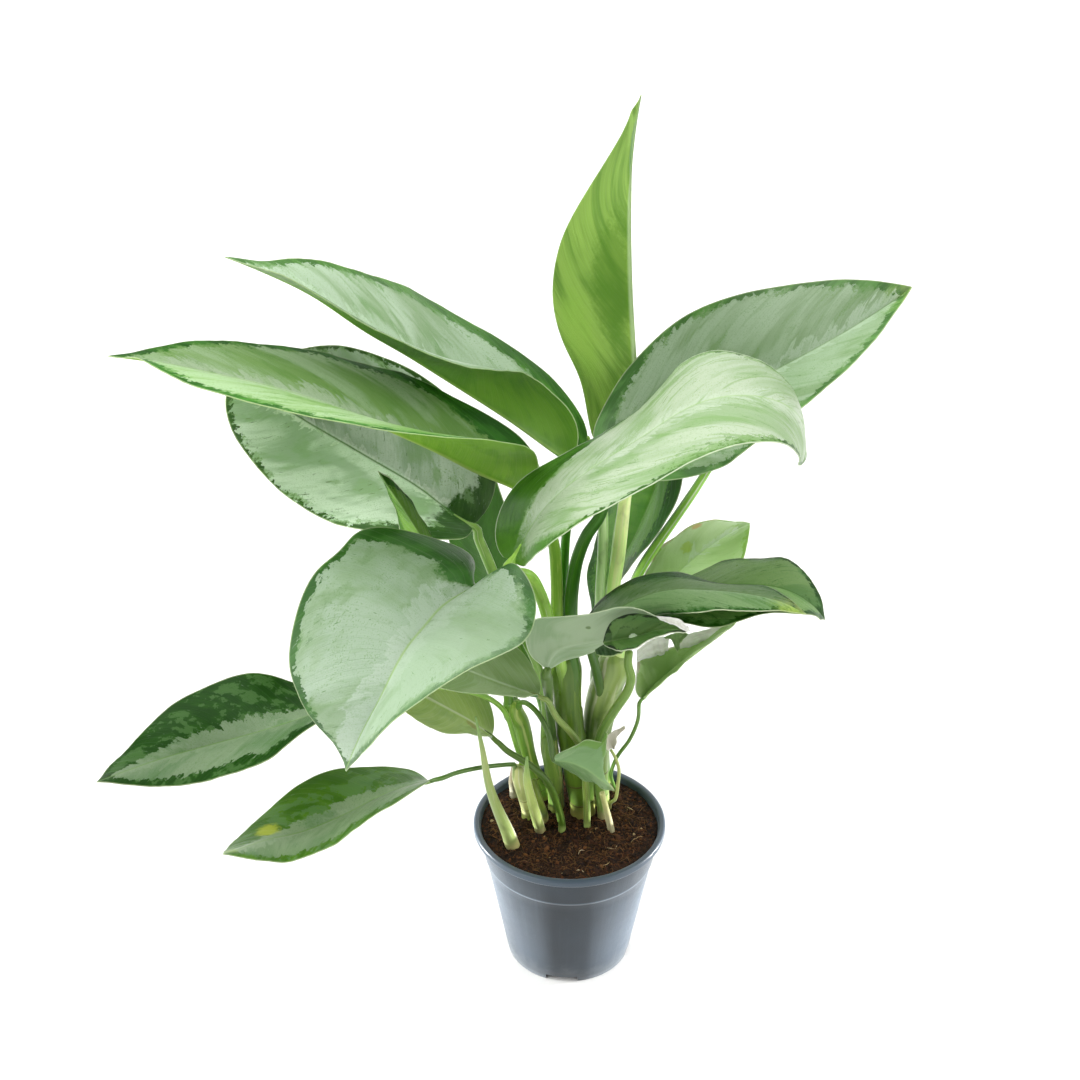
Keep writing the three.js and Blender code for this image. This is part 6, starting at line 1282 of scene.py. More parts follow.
for i, (name, pts) in enumerate(STEMS.items()):
    if name == "dry_remnant":
        continue
    kind = name.split("_")[0]
    kind = kind if kind in ("cane", "petiole") else "shoot"
    from_soil = abs(pts[0][2] - 95.9) < 0.6
    thin = THIN.get(name, 1.0)
    line = [[p[0], p[1], p[2], p[3] * thin] for p in pts]
    if name in ("sprout_front", "sprout_mid", "stub_pale"):
        line = line[:1] + line[2:]
    line, reach = sheath(name, line)
    if name in SMOOTHER:
        keep = 0 if name in ("petiole_small_front", "sprout_front") else 2
        line, reach = [list(p) for p in SMOOTHER[name]] + line[len(line) - keep:] * (keep > 0), 30.0 if name in PARENT else 0.0
    line = into_blade(name, line)
    look = dict(STEM_LOOK[kind])
    look.update(STEM_OVER.get(name, {}))
    look.setdefault("rings", ())
    look["tint"] = STEM_TINT_AND_PAINTED_LIGHT.get(name, (1.0, 1.0, 1.0))
    if reach:
        # the wrapping part takes on the cane's colour towards its lower end
        look["foot"] = STEM_OVER.get(PARENT[name], {}).get("base", "4c7a28")
        look["foot_len"] = reach * 1.5
        look["foot_tint"] = STEM_TINT_AND_PAINTED_LIGHT.get(PARENT[name], (1.0, 1.0, 1.0))
    ob = build_stem(name, line, kind, 400 + i, sink=5.0 if from_soil else 0.0, ridges=0.11 if kind == "cane" else 0.0,
                    sides=30 if kind == "cane" else 20, nodes=[z for z, _ in look["rings"]] if kind == "cane" else (),
                    channel=0.10 if kind == "petiole" else 0.04, wing=0.06 if kind == "petiole" else 0.02)
    place(ob, stem_look(name, i + 1, **look), name)


# ---------------------------------------------------------------- torn, papery margins, and a dark strip of painted shade under the small blade
FLAPS = {
    "flap_margin": ("dry",
        [(40.3, 21.0, 210.9), (44.7, 25.0, 212.3), (49.6, 28.0, 213.9), (54.6, 30.0, 214.5), (60.2, 31.0, 214.2)],
        [(40.5, 20.5, 202.5), (45.5, 23.0, 203.1), (51.8, 27.0, 202.3), (56.2, 29.0, 202.1), (59.9, 31.0, 203.7)]),
    "flap_margin_far": ("dry",
        [(66.3, 31.0, 211.7), (73.1, 33.0, 215.1), (81.1, 35.0, 216.0), (90.0, 35.0, 220.3), (99.2, 25.0, 235.8)],
        [(67.2, 31.0, 205.1), (74.6, 33.0, 206.0), (84.5, 35.0, 208.4), (93.8, 34.0, 217.0), (101.1, 24.0, 233.2)]),
    "flap_point": ("green",
        [(56.7, 26.0, 216.6), (60.3, 26.0, 218.8), (64.5, 26.0, 219.9), (68.7, 26.0, 220.2), (71.2, 26.0, 219.2)],
        [(58.0, 26.0, 215.6), (61.6, 25.0, 214.8), (65.1, 24.0, 207.1), (66.8, 25.0, 213.3), (70.0, 26.0, 217.0)]),
    "flap_tip": ("dry",
        [(44.6, -64.0, 287.8), (50.5, -65.0, 287.8), (57.0, -66.0, 287.1), (60.3, -66.0, 283.9), (63.9, -65.0, 278.8)],
        [(46.8, -65.0, 285.8), (51.1, -66.0, 284.6), (55.4, -67.0, 283.3), (58.7, -67.0, 281.0), (62.7, -66.0, 278.5)]),
    # a dark strip under the small blade, filling the hollow there that lies in shade: its near-black colour is painted
    # shade, its pale lower lip the rolled margin
    "flap_roll": ("roll",
        [(12.0, -58.0, 262.0), (15.3, -58.0, 264.6), (19.1, -58.0, 266.2), (23.5, -59.0, 265.6), (28.5, -60.0, 263.9)],
        [(13.1, -60.0, 260.0), (16.4, -61.0, 259.6), (20.2, -62.0, 260.0), (24.0, -63.0, 261.9), (28.3, -63.0, 264.9)]),
}


def build_flap(name, upper, lower, seed, thick=0.28):
    """a small crumpled strip between an upper and a lower line, closed all round"""
    n, m = 49, 17
    x = np.linspace(0, len(upper) - 1, n)
    U, D = spline(np.array(upper, float), x), spline(np.array(lower, float), x)
    f = np.linspace(0, 1, m)[None, :, None]
    P = U[:, None] * (1 - f) + D[:, None] * f
    al = unit(np.gradient(P, axis=0))
    ac = unit(np.gradient(P, axis=1))
    N = unit(np.cross(al, ac))
    rs = np.random.RandomState(seed)
    ph = rs.rand(4) * 6.28
    u, v = np.linspace(0, 1, n)[:, None], np.linspace(0, 1, m)[None]
    w = 0.55 * np.sin(u * 17 + ph[0] + 2.5 * v) * (0.3 + v) + 0.30 * np.sin(u * 39 + ph[1] - 4 * v) + 0.9 * np.sin(math.pi * v) * np.sin(math.pi * u)
    P = P + N * (w * 0.8 * np.minimum(1, np.sin(math.pi * u) * 3))[..., None]
    top, low = P + N * thick / 2, P - N * thick / 2
    verts = np.concatenate([top.reshape(-1, 3), low.reshape(-1, 3)])
    k = n * m
    faces = []
    for i in range(n - 1):
        for j in range(m - 1):
            a = i * m + j
            faces.append((a, a + m, a + m + 1, a + 1))
            faces.append((a + k, a + k + 1, a + k + m + 1, a + k + m))
    for i in range(n - 1):
        a = i * m
        faces.append((a, a + k, a + m + k, a + m))
        a += m - 1
        faces.append((a, a + m, a + m + k, a + k))
    for j in range(m - 1):
        faces.append((j, j + 1, j + 1 + k, j + k))
        a = (n - 1) * m + j
        faces.append((a, a + k, a + 1 + k, a + 1))
    uv = np.stack([np.broadcast_to(u, (n, m)), np.broadcast_to(v, (n, m)), np.zeros((n, m))], -1).reshape(-1, 3)
    return make_mesh("vis_" + name, verts, faces, {"flp": np.concatenate([uv, uv])})


def flap_look(name, kind, seed):
    g = Graph("flap_look_" + name)
    V = g.split(g.attr("flp").outputs["Vector"])
    n1 = g.noise(g.vec(g.mul(V[0], 2.5), g.mul(V[1], 5.0), 3.3 * seed), 1.0, 3.0, 0.6)
    n2 = g.noise(g.vec(g.mul(V[0], 30.0), g.mul(V[1], 3.0), 9.1 * seed), 1.0, 3.0, 0.6)
    # the dark strip's near-black greens are painted shade
    pal = {"dry": ("fafbf6", "dcdad2", "ffffff"), "green": ("6f8f56", "86a46a", "c4d6a4"), "roll": ("24401a", "35582a", "a9bf86")}[kind]
    a, b, c = (hexc(h, 0.97) for h in pal)
    col = g.mix(g.step(n1, 0.35, 0.68), a, b)
    col = g.mix(g.mul(g.step(n2, 0.50, 0.72), 0.5), col, b)
    lip = g.step(g.add(V[1], g.mul(g.sub(n2, 0.5), 0.10)), 0.86, 0.93)
    col = g.mix(lip, col, c)
    return g.surface(col, 0.55, g.bump(n2, 0.0003, 0.6), c, 0.40 if kind == "dry" else 0.1, 0.3)


for i, (name, (kind, up_, dn_)) in enumerate(FLAPS.items()):
    place(build_flap(name, up_, dn_, 60 + i), flap_look(name, kind, i + 1), None)

# ---------------------------------------------------------------- papery remnant of a withered leaf
def build_remnant(pts):
    pts = np.array(pts, float)
    x = np.linspace(0, len(pts) - 1, 26)
    c = spline(pts[:, :3], x)
    w = np.interp(x, range(len(pts)), pts[:, 3])
    nu, nv = len(x), 15
    V, att = [], []
    for i in range(nu):
        for layer in (0, 1):
            pass
    tan = unit(np.gradient(c, axis=0))
    side = unit(np.cross(tan, np.array([0.15, -1.0, 0.1])))
    nor = np.cross(tan, side)
    S = np.linspace(-1, 1, nv)
    grid = np.zeros((nu, nv, 3))
    for j, s in enumerate(S):
        wav = 0.9 * np.sin(x * 2.1 + s * 3.0) * abs(s)
        grid[:, j] = c + side * (s * w * 0.95 * (1 + 0.12 * np.sin(x * 5.0 + s)))[:, None] + nor * (w * (0.75 * (1 - s * s) - 0.35) + wav)[:, None]
    gi, gj = np.gradient(grid, axis=0), np.gradient(grid, axis=1)
    N = unit(np.cross(gj, gi))
    verts = np.concatenate([(grid + N * 0.15).reshape(-1, 3), (grid - N * 0.15).reshape(-1, 3)])
    n = nu * nv
    faces = []
    for i in range(nu - 1):
        for j in range(nv - 1):
            a = i * nv + j
            faces.append((a, a + 1, a + nv + 1, a + nv))
            faces.append((a + n, a + nv + n, a + nv + 1 + n, a + 1 + n))
    for i in range(nu - 1):
        for j, fl in ((0, True), (nv - 1, False)):
            a, b = i * nv + j, (i + 1) * nv + j
            f = (a, b, b + n, a + n)
            faces.append(f if fl else f[::-1])
    for j in range(nv - 1):
        for i, fl in ((0, False), (nu - 1, True)):
            a, b = i * nv + j, i * nv + j + 1
            f = (a, b, b + n, a + n)
            faces.append(f if fl else f[::-1])
    uv = np.stack([np.broadcast_to(S, (nu, nv)), np.broadcast_to(x[:, None], (nu, nv)), np.zeros((nu, nv))], -1).reshape(-1, 3)
    return make_mesh("vis_dry_remnant", verts, faces, {"lst": np.concatenate([uv, uv])})


g = Graph("dry_tissue_look")
V = g.split(g.attr("lst").outputs["Vector"])
n1 = g.noise(g.vec(g.mul(V[0], 6.0), g.mul(V[1], 0.5), 3.0), 1.0, 4.0, 0.6)
n2 = g.noise(g.vec(g.mul(V[0], 16.0), g.mul(V[1], 1.2), 8.0), 1.0, 3.0, 0.6)
col = g.mix(g.step(n1, 0.35, 0.65), hexc("eceade", 1.0), hexc("d2d0ba", 1.0))
col = g.mix(g.mul(g.step(n2, 0.6, 0.75), 0.3), col, hexc("9a9a7c"))
dry_mat = g.surface(g.mix(0.5, col, hexc("f6f2e8", 0.95)), g.line(n2, 0.3, 0.7, 0.6, 0.85), g.bump(n2, 0.0004, 0.7), g.mix(0.5, col, hexc("f2ead6")), 0.35, 0.3)
place(build_remnant(STEMS["dry_remnant"]), dry_mat, "dry_remnant")

# ---------------------------------------------------------------- potting mix
from mathutils import noise as mn
from mathutils import Vector

SOIL_Z = 95.5
POT_H = 98.5


def wall_r(z):
    return 39.1 + z / POT_H * 17.7


def nz(p, f, seed):
    return mn.noise(Vector((p[0] * f + seed, p[1] * f - seed, p[2] * f + 0.37 * seed)))


def soil_height(x, y):
    r = math.hypot(x, y)
    p = (x, y, 0.0)
    h = 1.2 * nz(p, 0.035, 5) + 1.1 * nz(p, 0.11, 9) + 1.5 * (abs(nz(p, 0.22, 13)) - 0.2) + 0.9 * (abs(nz(p, 0.5, 17)) - 0.2) + 0.35 * nz(p, 1.1, 19)
    h += 1.4 * max(0.0, 1 - math.hypot(x - 4, y - 18) / 42) - 0.8 * max(0.0, (r - 46) / 9)
    return SOIL_Z - 0.9 + h


def build_soil():
    rings, spokes = 92, 260
    r_out = wall_r(SOIL_Z) + 0.42 - 1.3 - 0.25
    verts = [(0.0, 0.0, soil_height(0, 0))]
    for i in range(1, rings + 1):
        r = r_out * i / rings
        for j in range(spokes):
            a = 2 * math.pi * j / spokes
            x, y = r * math.cos(a), r * math.sin(a)
            verts.append((x, y, soil_height(x, y)))
    faces = [(0, 1 + j, 1 + (j + 1) % spokes) for j in range(spokes)]
    for i in range(rings - 1):
        for j in range(spokes):
            a, b = 1 + i * spokes + j, 1 + i * spokes + (j + 1) % spokes
            faces.append((a, a + spokes, b + spokes, b))
    # the root ball's side and bottom inside the pot
    last = 1 + (rings - 1) * spokes
    for (rr, zz) in ((wall_r(76) - 1.3 + 0.2, 78.0), (wall_r(73) - 1.9, 73.0), (wall_r(30) - 1.9, 30.0), (wall_r(9) - 2.4, 8.6), (34.0, 6.0)):
        start = len(verts)
        for j in range(spokes):
            a = 2 * math.pi * j / spokes
            w = 0.25 * nz((math.cos(a) * 30, math.sin(a) * 30, zz), 0.2, 3)
            verts.append(((rr + w) * math.cos(a), (rr + w) * math.sin(a), zz))
        for j in range(spokes):
            k = (j + 1) % spokes
            faces.append((last + j, start + j, start + k, last + k))
        last = start
    c = len(verts)
    verts.append((0.0, 0.0, 6.0))
    for j in range(spokes):
        faces.append((last + j, c, last + (j + 1) % spokes))
    return make_mesh("vis_soil", verts, faces)


g = Graph("potting_mix_look")
co = g.node("TexCoord").outputs["Object"]
n1 = g.noise(co, 90.0, 6.0, 0.65)
n2 = g.noise(co, 420.0, 5.0, 0.65)
n3 = g.noise(co, 1500.0, 3.0, 0.6)
vo = g.node("TexVoronoi")
g.put(vo.inputs["Vector"], co)
vo.inputs["Scale"].default_value = 520.0
col = g.mix(g.step(n1, 0.35, 0.68), hexc("1c100a"), hexc("3c2414"))
col = g.mix(g.mul(g.step(n2, 0.53, 0.64), 0.9), col, hexc("6e4122"))
col = g.mix(g.mul(g.step(n3, 0.60, 0.68), 0.6), col, hexc("a06c3a"))
# near-black pores: painted shade in the gaps between the crumbs
col = g.mix(g.mul(g.step(vo.outputs["Distance"], 0.38, 0.14), 0.9), col, hexc("0b0503"))
nm = g.bump(g.add(g.mul(n2, 1.0), g.mul(n3, 0.5)), 0.0016, 1.0)
soil_mat = g.surface(col, g.line(n2, 0.3, 0.7, 0.75, 0.95), nm, specular=0.25)
place(build_soil(), soil_mat, "soil")

rs = np.random.RandomState(77)
FEET = [(p[0][0], p[0][1], p[0][3]) for n_, p in STEMS.items() if abs(p[0][2] - 95.9) < 0.6]


def clear_of_feet(x, y, gap):
    return all(math.hypot(x - fx, y - fy) > fr + gap for fx, fy, fr in FEET)


def spot(rmax=51.0, gap=0.5):
    while True:
        a, r = rs.rand() * 2 * math.pi, rmax * math.sqrt(rs.rand())
        x, y = r * math.cos(a), r * math.sin(a)
        if clear_of_feet(x, y, gap):
            return x, y


def build_chips(count, lo, hi, seed, name, thin=0.45):
    """bark chips and crumbs: rough convex lumps, half sunk in the mix"""
    r2 = np.random.RandomState(seed)
    ico = []
    phi = (1 + 5 ** 0.5) / 2
    for a in (-1, 1):
        for b in (-phi, phi):
            ico += [(0, a, b), (a, b, 0), (b, 0, a)]
    ico = unit(np.array(ico, float))
    tri = []
    for i in range(12):
        for j in range(i + 1, 12):
            for k in range(j + 1, 12):
                if max(np.linalg.norm(ico[i] - ico[j]), np.linalg.norm(ico[j] - ico[k]), np.linalg.norm(ico[i] - ico[k])) < 1.2:
                    nn = np.cross(ico[j] - ico[i], ico[k] - ico[i])
                    tri.append((i, j, k) if nn @ ico[i] > 0 else (i, k, j))
    # one midpoint subdivision
    pts, cache, out = [tuple(p) for p in ico], {}, []

    def mid(a, b):
        key = (min(a, b), max(a, b))
        if key not in cache:
            v = unit(np.array(pts[a]) + np.array(pts[b]))
            cache[key] = len(pts)
            pts.append(tuple(v))
        return cache[key]
    for a, b, c3 in tri:
        ab_, bc_, ca_ = mid(a, b), mid(b, c3), mid(c3, a)
        out += [(a, ab_, ca_), (b, bc_, ab_), (c3, ca_, bc_), (ab_, bc_, ca_)]
    pts = np.array(pts)
    verts, faces, att = [], [], []
    for k in range(count):
        size = lo + (hi - lo) * r2.rand() ** 2.2
        x, y = spot(50.5, 0.4)
        sx, sy, sz = size * (0.55 + 0.4 * r2.rand()), size * (0.4 + 0.4 * r2.rand()), size * thin * (0.5 + 0.6 * r2.rand())
        p = pts * (1 + 0.28 * (r2.rand(len(pts), 1) - 0.5)) * np.array([sx, sy, sz])
        e1, e2, e3 = r2.rand() * 6.28, (r2.rand() - 0.5) * 0.9, (r2.rand() - 0.5) * 0.9
        cz, sz_, cy, sy_, cx, sx_ = math.cos(e1), math.sin(e1), math.cos(e2), math.sin(e2), math.cos(e3), math.sin(e3)
        Rz = np.array([[cz, -sz_, 0], [sz_, cz, 0], [0, 0, 1]])
        Ry = np.array([[cy, 0, sy_], [0, 1, 0], [-sy_, 0, cy]])
        Rx = np.array([[1, 0, 0], [0, cx, -sx_], [0, sx_, cx]])
        p = p @ (Rz @ Ry @ Rx).T + np.array([x, y, soil_height(x, y) + 0.25 * size * thin])
        base = len(verts)
        verts += p.tolist()
        faces += [tuple(base + i for i in f) for f in out]
        tone = r2.rand()
        att += [tone] * len(p)
    ob = make_mesh(name, verts, faces, {"tone": att})
    ob.data.shade_flat()
    return ob


g = Graph("bark_look")
tone = g.attr("tone").outputs["Fac"]
co = g.node("TexCoord").outputs["Object"]
n1 = g.noise(co, 600.0, 4.0, 0.6)
n2 = g.noise(co, 2400.0, 3.0, 0.6)
col = g.mix(g.line(tone, 0.35, 0.9), hexc("21130c"), hexc("54331f"))
col = g.mix(g.mul(g.step(n1, 0.5, 0.7), 0.6), col, hexc("684324"))
col = g.mix(g.mul(g.step(tone, 0.86, 0.92), 0.6), col, hexc("8a5a30"))
col = g.mix(g.mul(g.step(tone, 0.985, 0.99), 0.8), col, hexc("cdb488"))
bark_mat = g.surface(col, 0.85, g.bump(n2, 0.0006, 0.9), specular=0.25)
place(build_chips(1500, 0.5, 1.9, 5, "soil_crumbs", 0.7), bark_mat, None)
place(build_chips(90, 1.6, 3.4, 6, "soil_bark", 0.4), bark_mat, None)


def build_fibres(count, seed, name, rmin, rmax, lmin, lmax, lift):
    """coir fibres, roots and straws lying on and in the mix"""
    r2 = np.random.RandomState(seed)
    verts, faces, att = [], [], []
    for k in range(count):
        x, y = spot(49.5, 0.3)
        a = r2.rand() * 2 * math.pi
        ln = lmin + (lmax - lmin) * r2.rand() ** 1.6
        bend = (r2.rand() - 0.5) * 2.4
        rad = rmin + (rmax - rmin) * r2.rand() ** 1.5
        m = 9
        pts = []
        up = lift * r2.rand()
        for i in range(m):
            f = i / (m - 1)
            px, py = x + math.cos(a + bend * f) * ln * f, y + math.sin(a + bend * f) * ln * f
            rr = math.hypot(px, py)
            if rr > 52.5:
                px, py = px * 52.5 / rr, py * 52.5 / rr
            pz = soil_height(px, py) + rad * 0.5 + up * math.sin(math.pi * f) - 0.5 * rad * (f == 0 or f == 1)
            pts.append((px, py, pz))
        pts = np.array(pts)
        tan = unit(np.gradient(pts, axis=0) + 1e-9)
        side = unit(np.cross(tan, np.array([0, 0, 1.0])))
        nor = np.cross(side, tan)
        base = len(verts)
        sd = 5
        for i in range(m):
            rr = rad * (0.35 + 0.65 * math.sin(math.pi * min(1, 0.15 + 0.8 * i / (m - 1))))
            for j in range(sd):
                b = 2 * math.pi * j / sd
                verts.append((pts[i] + side[i] * math.cos(b) * rr + nor[i] * math.sin(b) * rr).tolist())
        for i in range(m - 1):
            for j in range(sd):
                k2 = (j + 1) % sd
                faces.append((base + i * sd + j, base + i * sd + k2, base + (i + 1) * sd + k2, base + (i + 1) * sd + j))
        faces.append(tuple(base + j for j in range(sd))[::-1])
        faces.append(tuple(base + (m - 1) * sd + j for j in range(sd)))
        att += [r2.rand()] * (m * sd)
    return make_mesh(name, verts, faces, {"tone": att})


g = Graph("fibre_look")
tone = g.attr("tone").outputs["Fac"]
co = g.node("TexCoord").outputs["Object"]
n1 = g.noise(co, 900.0, 3.0, 0.6)
col = g.mix(g.step(tone, 0.1, 0.9), hexc("3a2415"), hexc("8a6138"))
col = g.mix(g.mul(g.step(n1, 0.5, 0.7), 0.4), col, hexc("a8804c"))
fibre_mat = g.surface(col, 0.75, g.bump(n1, 0.0003, 0.6), specular=0.3)
place(build_fibres(1500, 21, "soil_fibres", 0.08, 0.22, 2, 9, 1.5), fibre_mat, None)
g = Graph("straw_look")
tone = g.attr("tone").outputs["Fac"]
co = g.node("TexCoord").outputs["Object"]
n1 = g.noise(co, 700.0, 3.0, 0.6)
col = g.mix(g.step(tone, 0.1, 0.9), hexc("c8a878"), hexc("e2d0a6"))
col = g.mix(g.mul(g.step(n1, 0.5, 0.7), 0.5), col, hexc("9d7c50"))
straw_mat = g.surface(col, 0.7, g.bump(n1, 0.0003, 0.6), specular=0.3)
place(build_fibres(15, 35, "soil_straws", 0.22, 0.46, 4, 9, 0.9), straw_mat, None)

# ---------------------------------------------------------------- pot
def build_pot():
    seg = 180
    sh = 0.7
    z1 = POT_H - 4.5
    prof = [(0.0, 0.0), (13.2, 0.0), (13.9, 0.35), (15.2, 3.6), (15.8, 4.0), (36.4, 4.0), (36.9, 3.7), (37.2, 0.5), (37.5, 0.0), (38.6, 0.0), (39.1, 0.5)]
    prof += [(wall_r(z), z) for z in (4.6, 12.0, 25.0, 40.0, 55.0, 68.0, 73.6)]
    prof += [(wall_r(74.3) + 0.12, 74.25), (wall_r(74.6) + sh * 0.75, 74.7), (wall_r(75) + sh, 75.4), (wall_r(76) + sh, 76.6)]
    prof += [(wall_r(84) + sh * 0.8, 84.0), (wall_r(92) + sh * 0.65, 92.0), (wall_r(93.6) + sh * 0.6, 93.5), (57.1, 93.9), (59.0, 93.95), (59.6, 94.15), (59.95, 94.6)]
    prof += [(60.0, 95.3), (60.0, 97.0), (59.85, 97.8), (59.3, 98.35), (58.6, 98.5), (57.2, 98.45), (56.5, 98.15), (56.0, 97.5), (55.75, 96.6)]
    prof += [(wall_r(86) + sh - 1.3, 86.0), (wall_r(76) + sh - 1.3, 76.0), (wall_r(74) - 1.3, 73.8), (wall_r(40) - 1.3, 40.0), (wall_r(8) - 1.3, 8.0), (wall_r(6) - 1.9, 6.2), (37.0, 5.3), (16.2, 5.3), (13.6, 1.7), (12.6, 1.3), (0.0, 1.3)]
    verts, faces = [], []
    verts.append((0, 0, prof[0][1]))
    inner = prof[1:-1]
    for (r, z) in inner:
        for j in range(seg):
            a = 2 * math.pi * j / seg
            verts.append((r * math.cos(a), r * math.sin(a), z))
    verts.append((0, 0, prof[-1][1]))
    for j in range(seg):
        faces.append((0, 1 + (j + 1) % seg, 1 + j))
    for i in range(len(inner) - 1):
        for j in range(seg):
            k = (j + 1) % seg
            a = 1 + i * seg
            faces.append((a + j, a + k, a + seg + k, a + seg + j))
    a = 1 + (len(inner) - 1) * seg
    for j in range(seg):
        faces.append((a + j, a + (j + 1) % seg, len(verts) - 1))
    ob = make_mesh("vis_pot", verts, faces)
    # drainage notches in the foot ring and holes in the floor
    cut_v, cut_f = [], []

    def box(cx, cy, ang, lx, ly, z0, z1_):
        b = len(cut_v)
        ca, sa = math.cos(ang), math.sin(ang)
        for z in (z0, z1_):
            for (u, v) in ((-lx / 2, -ly / 2), (lx / 2, -ly / 2), (lx / 2, ly / 2), (-lx / 2, ly / 2)):
                cut_v.append((cx + u * ca - v * sa, cy + u * sa + v * ca, z))
        cut_f.extend([(b + 3, b + 2, b + 1, b), (b + 4, b + 5, b + 6, b + 7), (b, b + 1, b + 5, b + 4), (b + 1, b + 2, b + 6, b + 5), (b + 2, b + 3, b + 7, b + 6), (b + 3, b, b + 4, b + 7)])

    def tube(cx, cy, r, z0, z1_, m=28):
        b = len(cut_v)
        for z in (z0, z1_):
            for j in range(m):
                an = 2 * math.pi * j / m
                cut_v.append((cx + r * math.cos(an), cy + r * math.sin(an), z))
        cut_f.append(tuple(b + j for j in range(m))[::-1])
        cut_f.append(tuple(b + m + j for j in range(m)))
        for j in range(m):
            k = (j + 1) % m
            cut_f.append((b + j, b + k, b + m + k, b + m + j))
    for i in range(4):
        an = math.radians(-97 + 90 * i)
        box(math.cos(an) * 39.1, math.sin(an) * 39.1, an, 12, 20, -4.4, 4.4)
    for i in range(8):
        an = math.radians(-30 + 45 * i)
        tube(math.cos(an) * 26, math.sin(an) * 26, 4.0, 1.0, 9.0)
    cutter = make_mesh("cutter", cut_v, cut_f)
    mod = ob.modifiers.new("cut", "BOOLEAN")
    mod.operation = "DIFFERENCE"
    mod.solver = "EXACT"
    mod.object = cutter
    dg = bpy.context.evaluated_depsgraph_get()
    me = bpy.data.meshes.new_from_object(ob.evaluated_get(dg))
    ob.modifiers.clear()
    ob.data = me
    bpy.data.objects.remove(cutter)
    me.shade_smooth()
    me.set_sharp_from_angle(angle=math.radians(38))
    return ob


g = Graph("pot_look")
co = g.node("TexCoord").outputs["Object"]
xyz = g.split(co)
ang = g.math("ARCTAN2", xyz[1], xyz[0])
n1 = g.noise(g.vec(g.mul(ang, 14.0), g.mul(xyz[2], 9.0), 0.0), 1.0, 4.0, 0.6)      # faint upright flow marks
n2 = g.noise(co, 130.0, 4.0, 0.6)
n3 = g.noise(co, 1800.0, 3.0, 0.6)
n4 = g.noise(co, 18.0, 3.0, 0.5)
col = g.mix(g.step(n4, 0.3, 0.7), hexc("161e27", 1.0), hexc("232e39", 1.0))
col = g.mix(g.mul(g.step(n1, 0.5, 0.75), 0.25), col, hexc("343d47", 1.0))
col = g.mix(g.mul(g.step(n2, 0.62, 0.78), 0.20), col, hexc("404a54", 1.0))
# paler towards the bottom, over the lowest 16 mm
paler_bottom_band = g.mul(g.step(g.add(xyz[2], g.mul(g.sub(n2, 0.5), 0.02)), 0.016, 0.002), 0.25)
col = g.mix(paler_bottom_band, col, hexc("7b7f80"))
sc = g.noise(g.vec(g.mul(ang, 40.0), g.mul(xyz[2], 700.0), g.mul(n4, 2.0)), 1.0, 2.0, 0.5)
scr = g.mul(g.step(sc, 0.72, 0.76), g.step(n2, 0.5, 0.62))
col = g.mix(g.mul(scr, 0.25), col, hexc("8b95a0"))
rough = g.add(g.line(n2, 0.3, 0.7, 0.30, 0.40), g.mul(scr, 0.15))
nm = g.bump(g.add(g.mul(n3, 0.5), g.mul(n1, 0.6)), 0.00022, 0.5)
# the whole lip above 93.4 mm is painted lighter: a painted highlight of the lip
lip_painted_light = g.step(g.add(xyz[2], g.mul(g.sub(n2, 0.5), 0.001)), 0.0934, 0.0942)
col = g.mix(g.mul(lip_painted_light, 0.75), col, hexc("44515e", 1.0))
# a lighter band along the step at 74 to 76 mm: a painted highlight of the step
ridge = g.mul(g.step(xyz[2], 0.0742, 0.0746), g.step(xyz[2], 0.0762, 0.0756))
col = g.mix(g.mul(ridge, 0.6), col, hexc("56626e", 1.0))
pot_mat = g.surface(col, rough, nm, specular=0.36, coat=0.12, coat_rough=0.28, sheen=0.17)
place(build_pot(), pot_mat, "pot")

# ---------------------------------------------------------------- stage and light
def stage_mesh(name, verts, faces, mat):
    me = bpy.data.meshes.new(name)
    me.from_pydata(verts, [], faces)
    ob = bpy.data.objects.new(name, me)
    bpy.context.scene.collection.objects.link(ob)
    me.materials.append(mat)
    return ob


g = Graph("floor_look")
co = g.node("TexCoord").outputs["Object"]
nf = g.noise(co, 3.0, 2.0, 0.5)
floor_mat = g.surface(g.mix(nf, (0.80, 0.80, 0.80), (0.82, 0.82, 0.82)), 0.9, specular=0.1)
stage_mesh("floor", [(-60, -60, 0), (60, -60, 0), (60, 60, 0), (-60, 60, 0)], [(0, 1, 2, 3)], floor_mat)

world = bpy.data.worlds.new("studio")
bpy.context.scene.world = world
world.use_nodes = True
wt = world.node_tree
wt.nodes.clear()
sky_dir = wt.nodes.new("ShaderNodeTexCoord").outputs["Generated"]


def wmath(op, a, b):
    n = wt.nodes.new("ShaderNodeMath")
    n.operation = op
    for i, v in enumerate((a, b)):
        if isinstance(v, bpy.types.NodeSocket):
            wt.links.new(v, n.inputs[i])
        else:
            n.inputs[i].default_value = v
    return n.outputs[0]


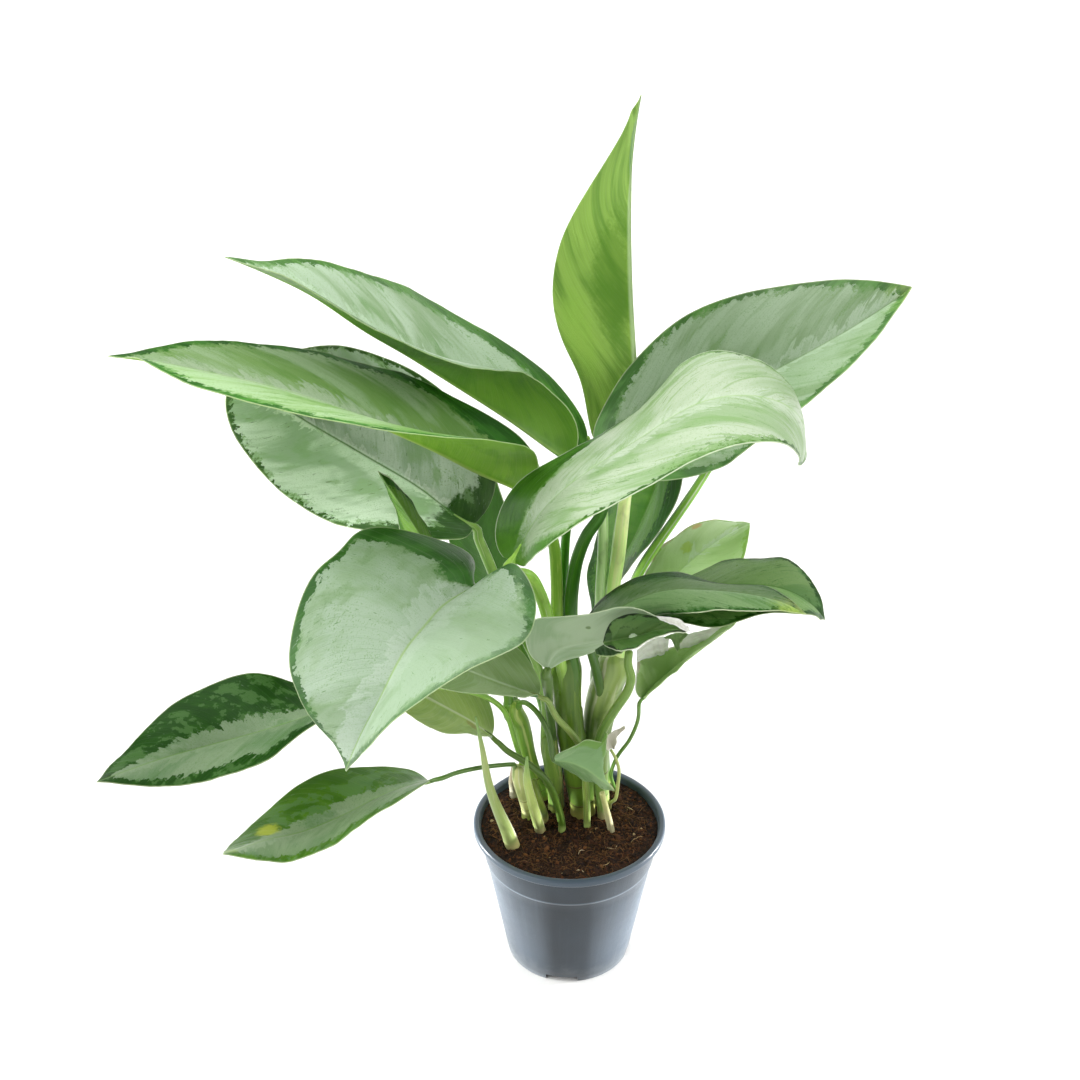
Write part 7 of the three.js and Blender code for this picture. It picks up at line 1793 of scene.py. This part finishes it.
def softbox(direction, outer, inner, level):
    """a round soft light on the dome: its direction, cosines of its outer and inner angle, and its radiance"""
    d = unit(np.array(direction, float))
    n = wt.nodes.new("ShaderNodeVectorMath")
    n.operation = "DOT_PRODUCT"
    wt.links.new(sky_dir, n.inputs[0])
    n.inputs[1].default_value = tuple(d)
    m = wt.nodes.new("ShaderNodeMapRange")
    m.interpolation_type = "SMOOTHSTEP"
    wt.links.new(n.outputs["Value"], m.inputs["Value"])
    m.inputs["From Min"].default_value = outer
    m.inputs["From Max"].default_value = inner
    m.inputs["To Min"].default_value = 0.0
    m.inputs["To Max"].default_value = level
    return m.outputs[0]


level = softbox((-0.85, -0.25, 0.50), 0.72, 0.88, 3.6)
for box in (((0.90, -0.15, 0.42), 0.76, 0.90, 2.6), ((0.15, 0.80, 0.60), 0.62, 0.88, 1.0), ((0.0, 0.0, 1.0), 0.70, 0.92, 1.25), ((0.0, -1.0, 0.1), 0.3, 0.9, -0.10)):
    level = wmath("ADD", level, softbox(*box))
level = wmath("ADD", level, 0.24)
bg = wt.nodes.new("ShaderNodeBackground")
bg.inputs["Color"].default_value = (1.0, 0.995, 0.98, 1.0)
wt.links.new(level, bg.inputs["Strength"])
# what is seen past the floor's edge is plain white, like the floor
plain = wt.nodes.new("ShaderNodeBackground")
plain.inputs["Color"].default_value = (1.0, 1.0, 1.0, 1.0)
seen = wt.nodes.new("ShaderNodeMixShader")
wt.links.new(wt.nodes.new("ShaderNodeLightPath").outputs["Is Camera Ray"], seen.inputs[0])
wt.links.new(bg.outputs[0], seen.inputs[1])
wt.links.new(plain.outputs[0], seen.inputs[2])
wo = wt.nodes.new("ShaderNodeOutputWorld")
wt.links.new(seen.outputs[0], wo.inputs[0])


def spot_lamp(name, loc, target, power, cone, size):
    li = bpy.data.lights.new(name, "SPOT")
    li.energy = power
    li.spot_size = math.radians(cone)
    li.spot_blend = 0.6
    li.shadow_soft_size = size
    ob = bpy.data.objects.new(name, li)
    ob.location = loc
    ob.rotation_euler = (Vector(target) - Vector(loc)).to_track_quat("-Z", "Y").to_euler()
    bpy.context.scene.collection.objects.link(ob)


# low rim lights on the pot's two sides
spot_lamp("rim_left", (-0.60, 0.10, 0.045), (0, 0.0, 0.045), 130, 13, 0.03)
spot_lamp("rim_right", (0.60, 0.10, 0.045), (0, 0.0, 0.045), 130, 13, 0.03)
bpy.context.scene.view_settings.view_transform = "Standard"
bpy.context.scene.view_settings.look = "None"
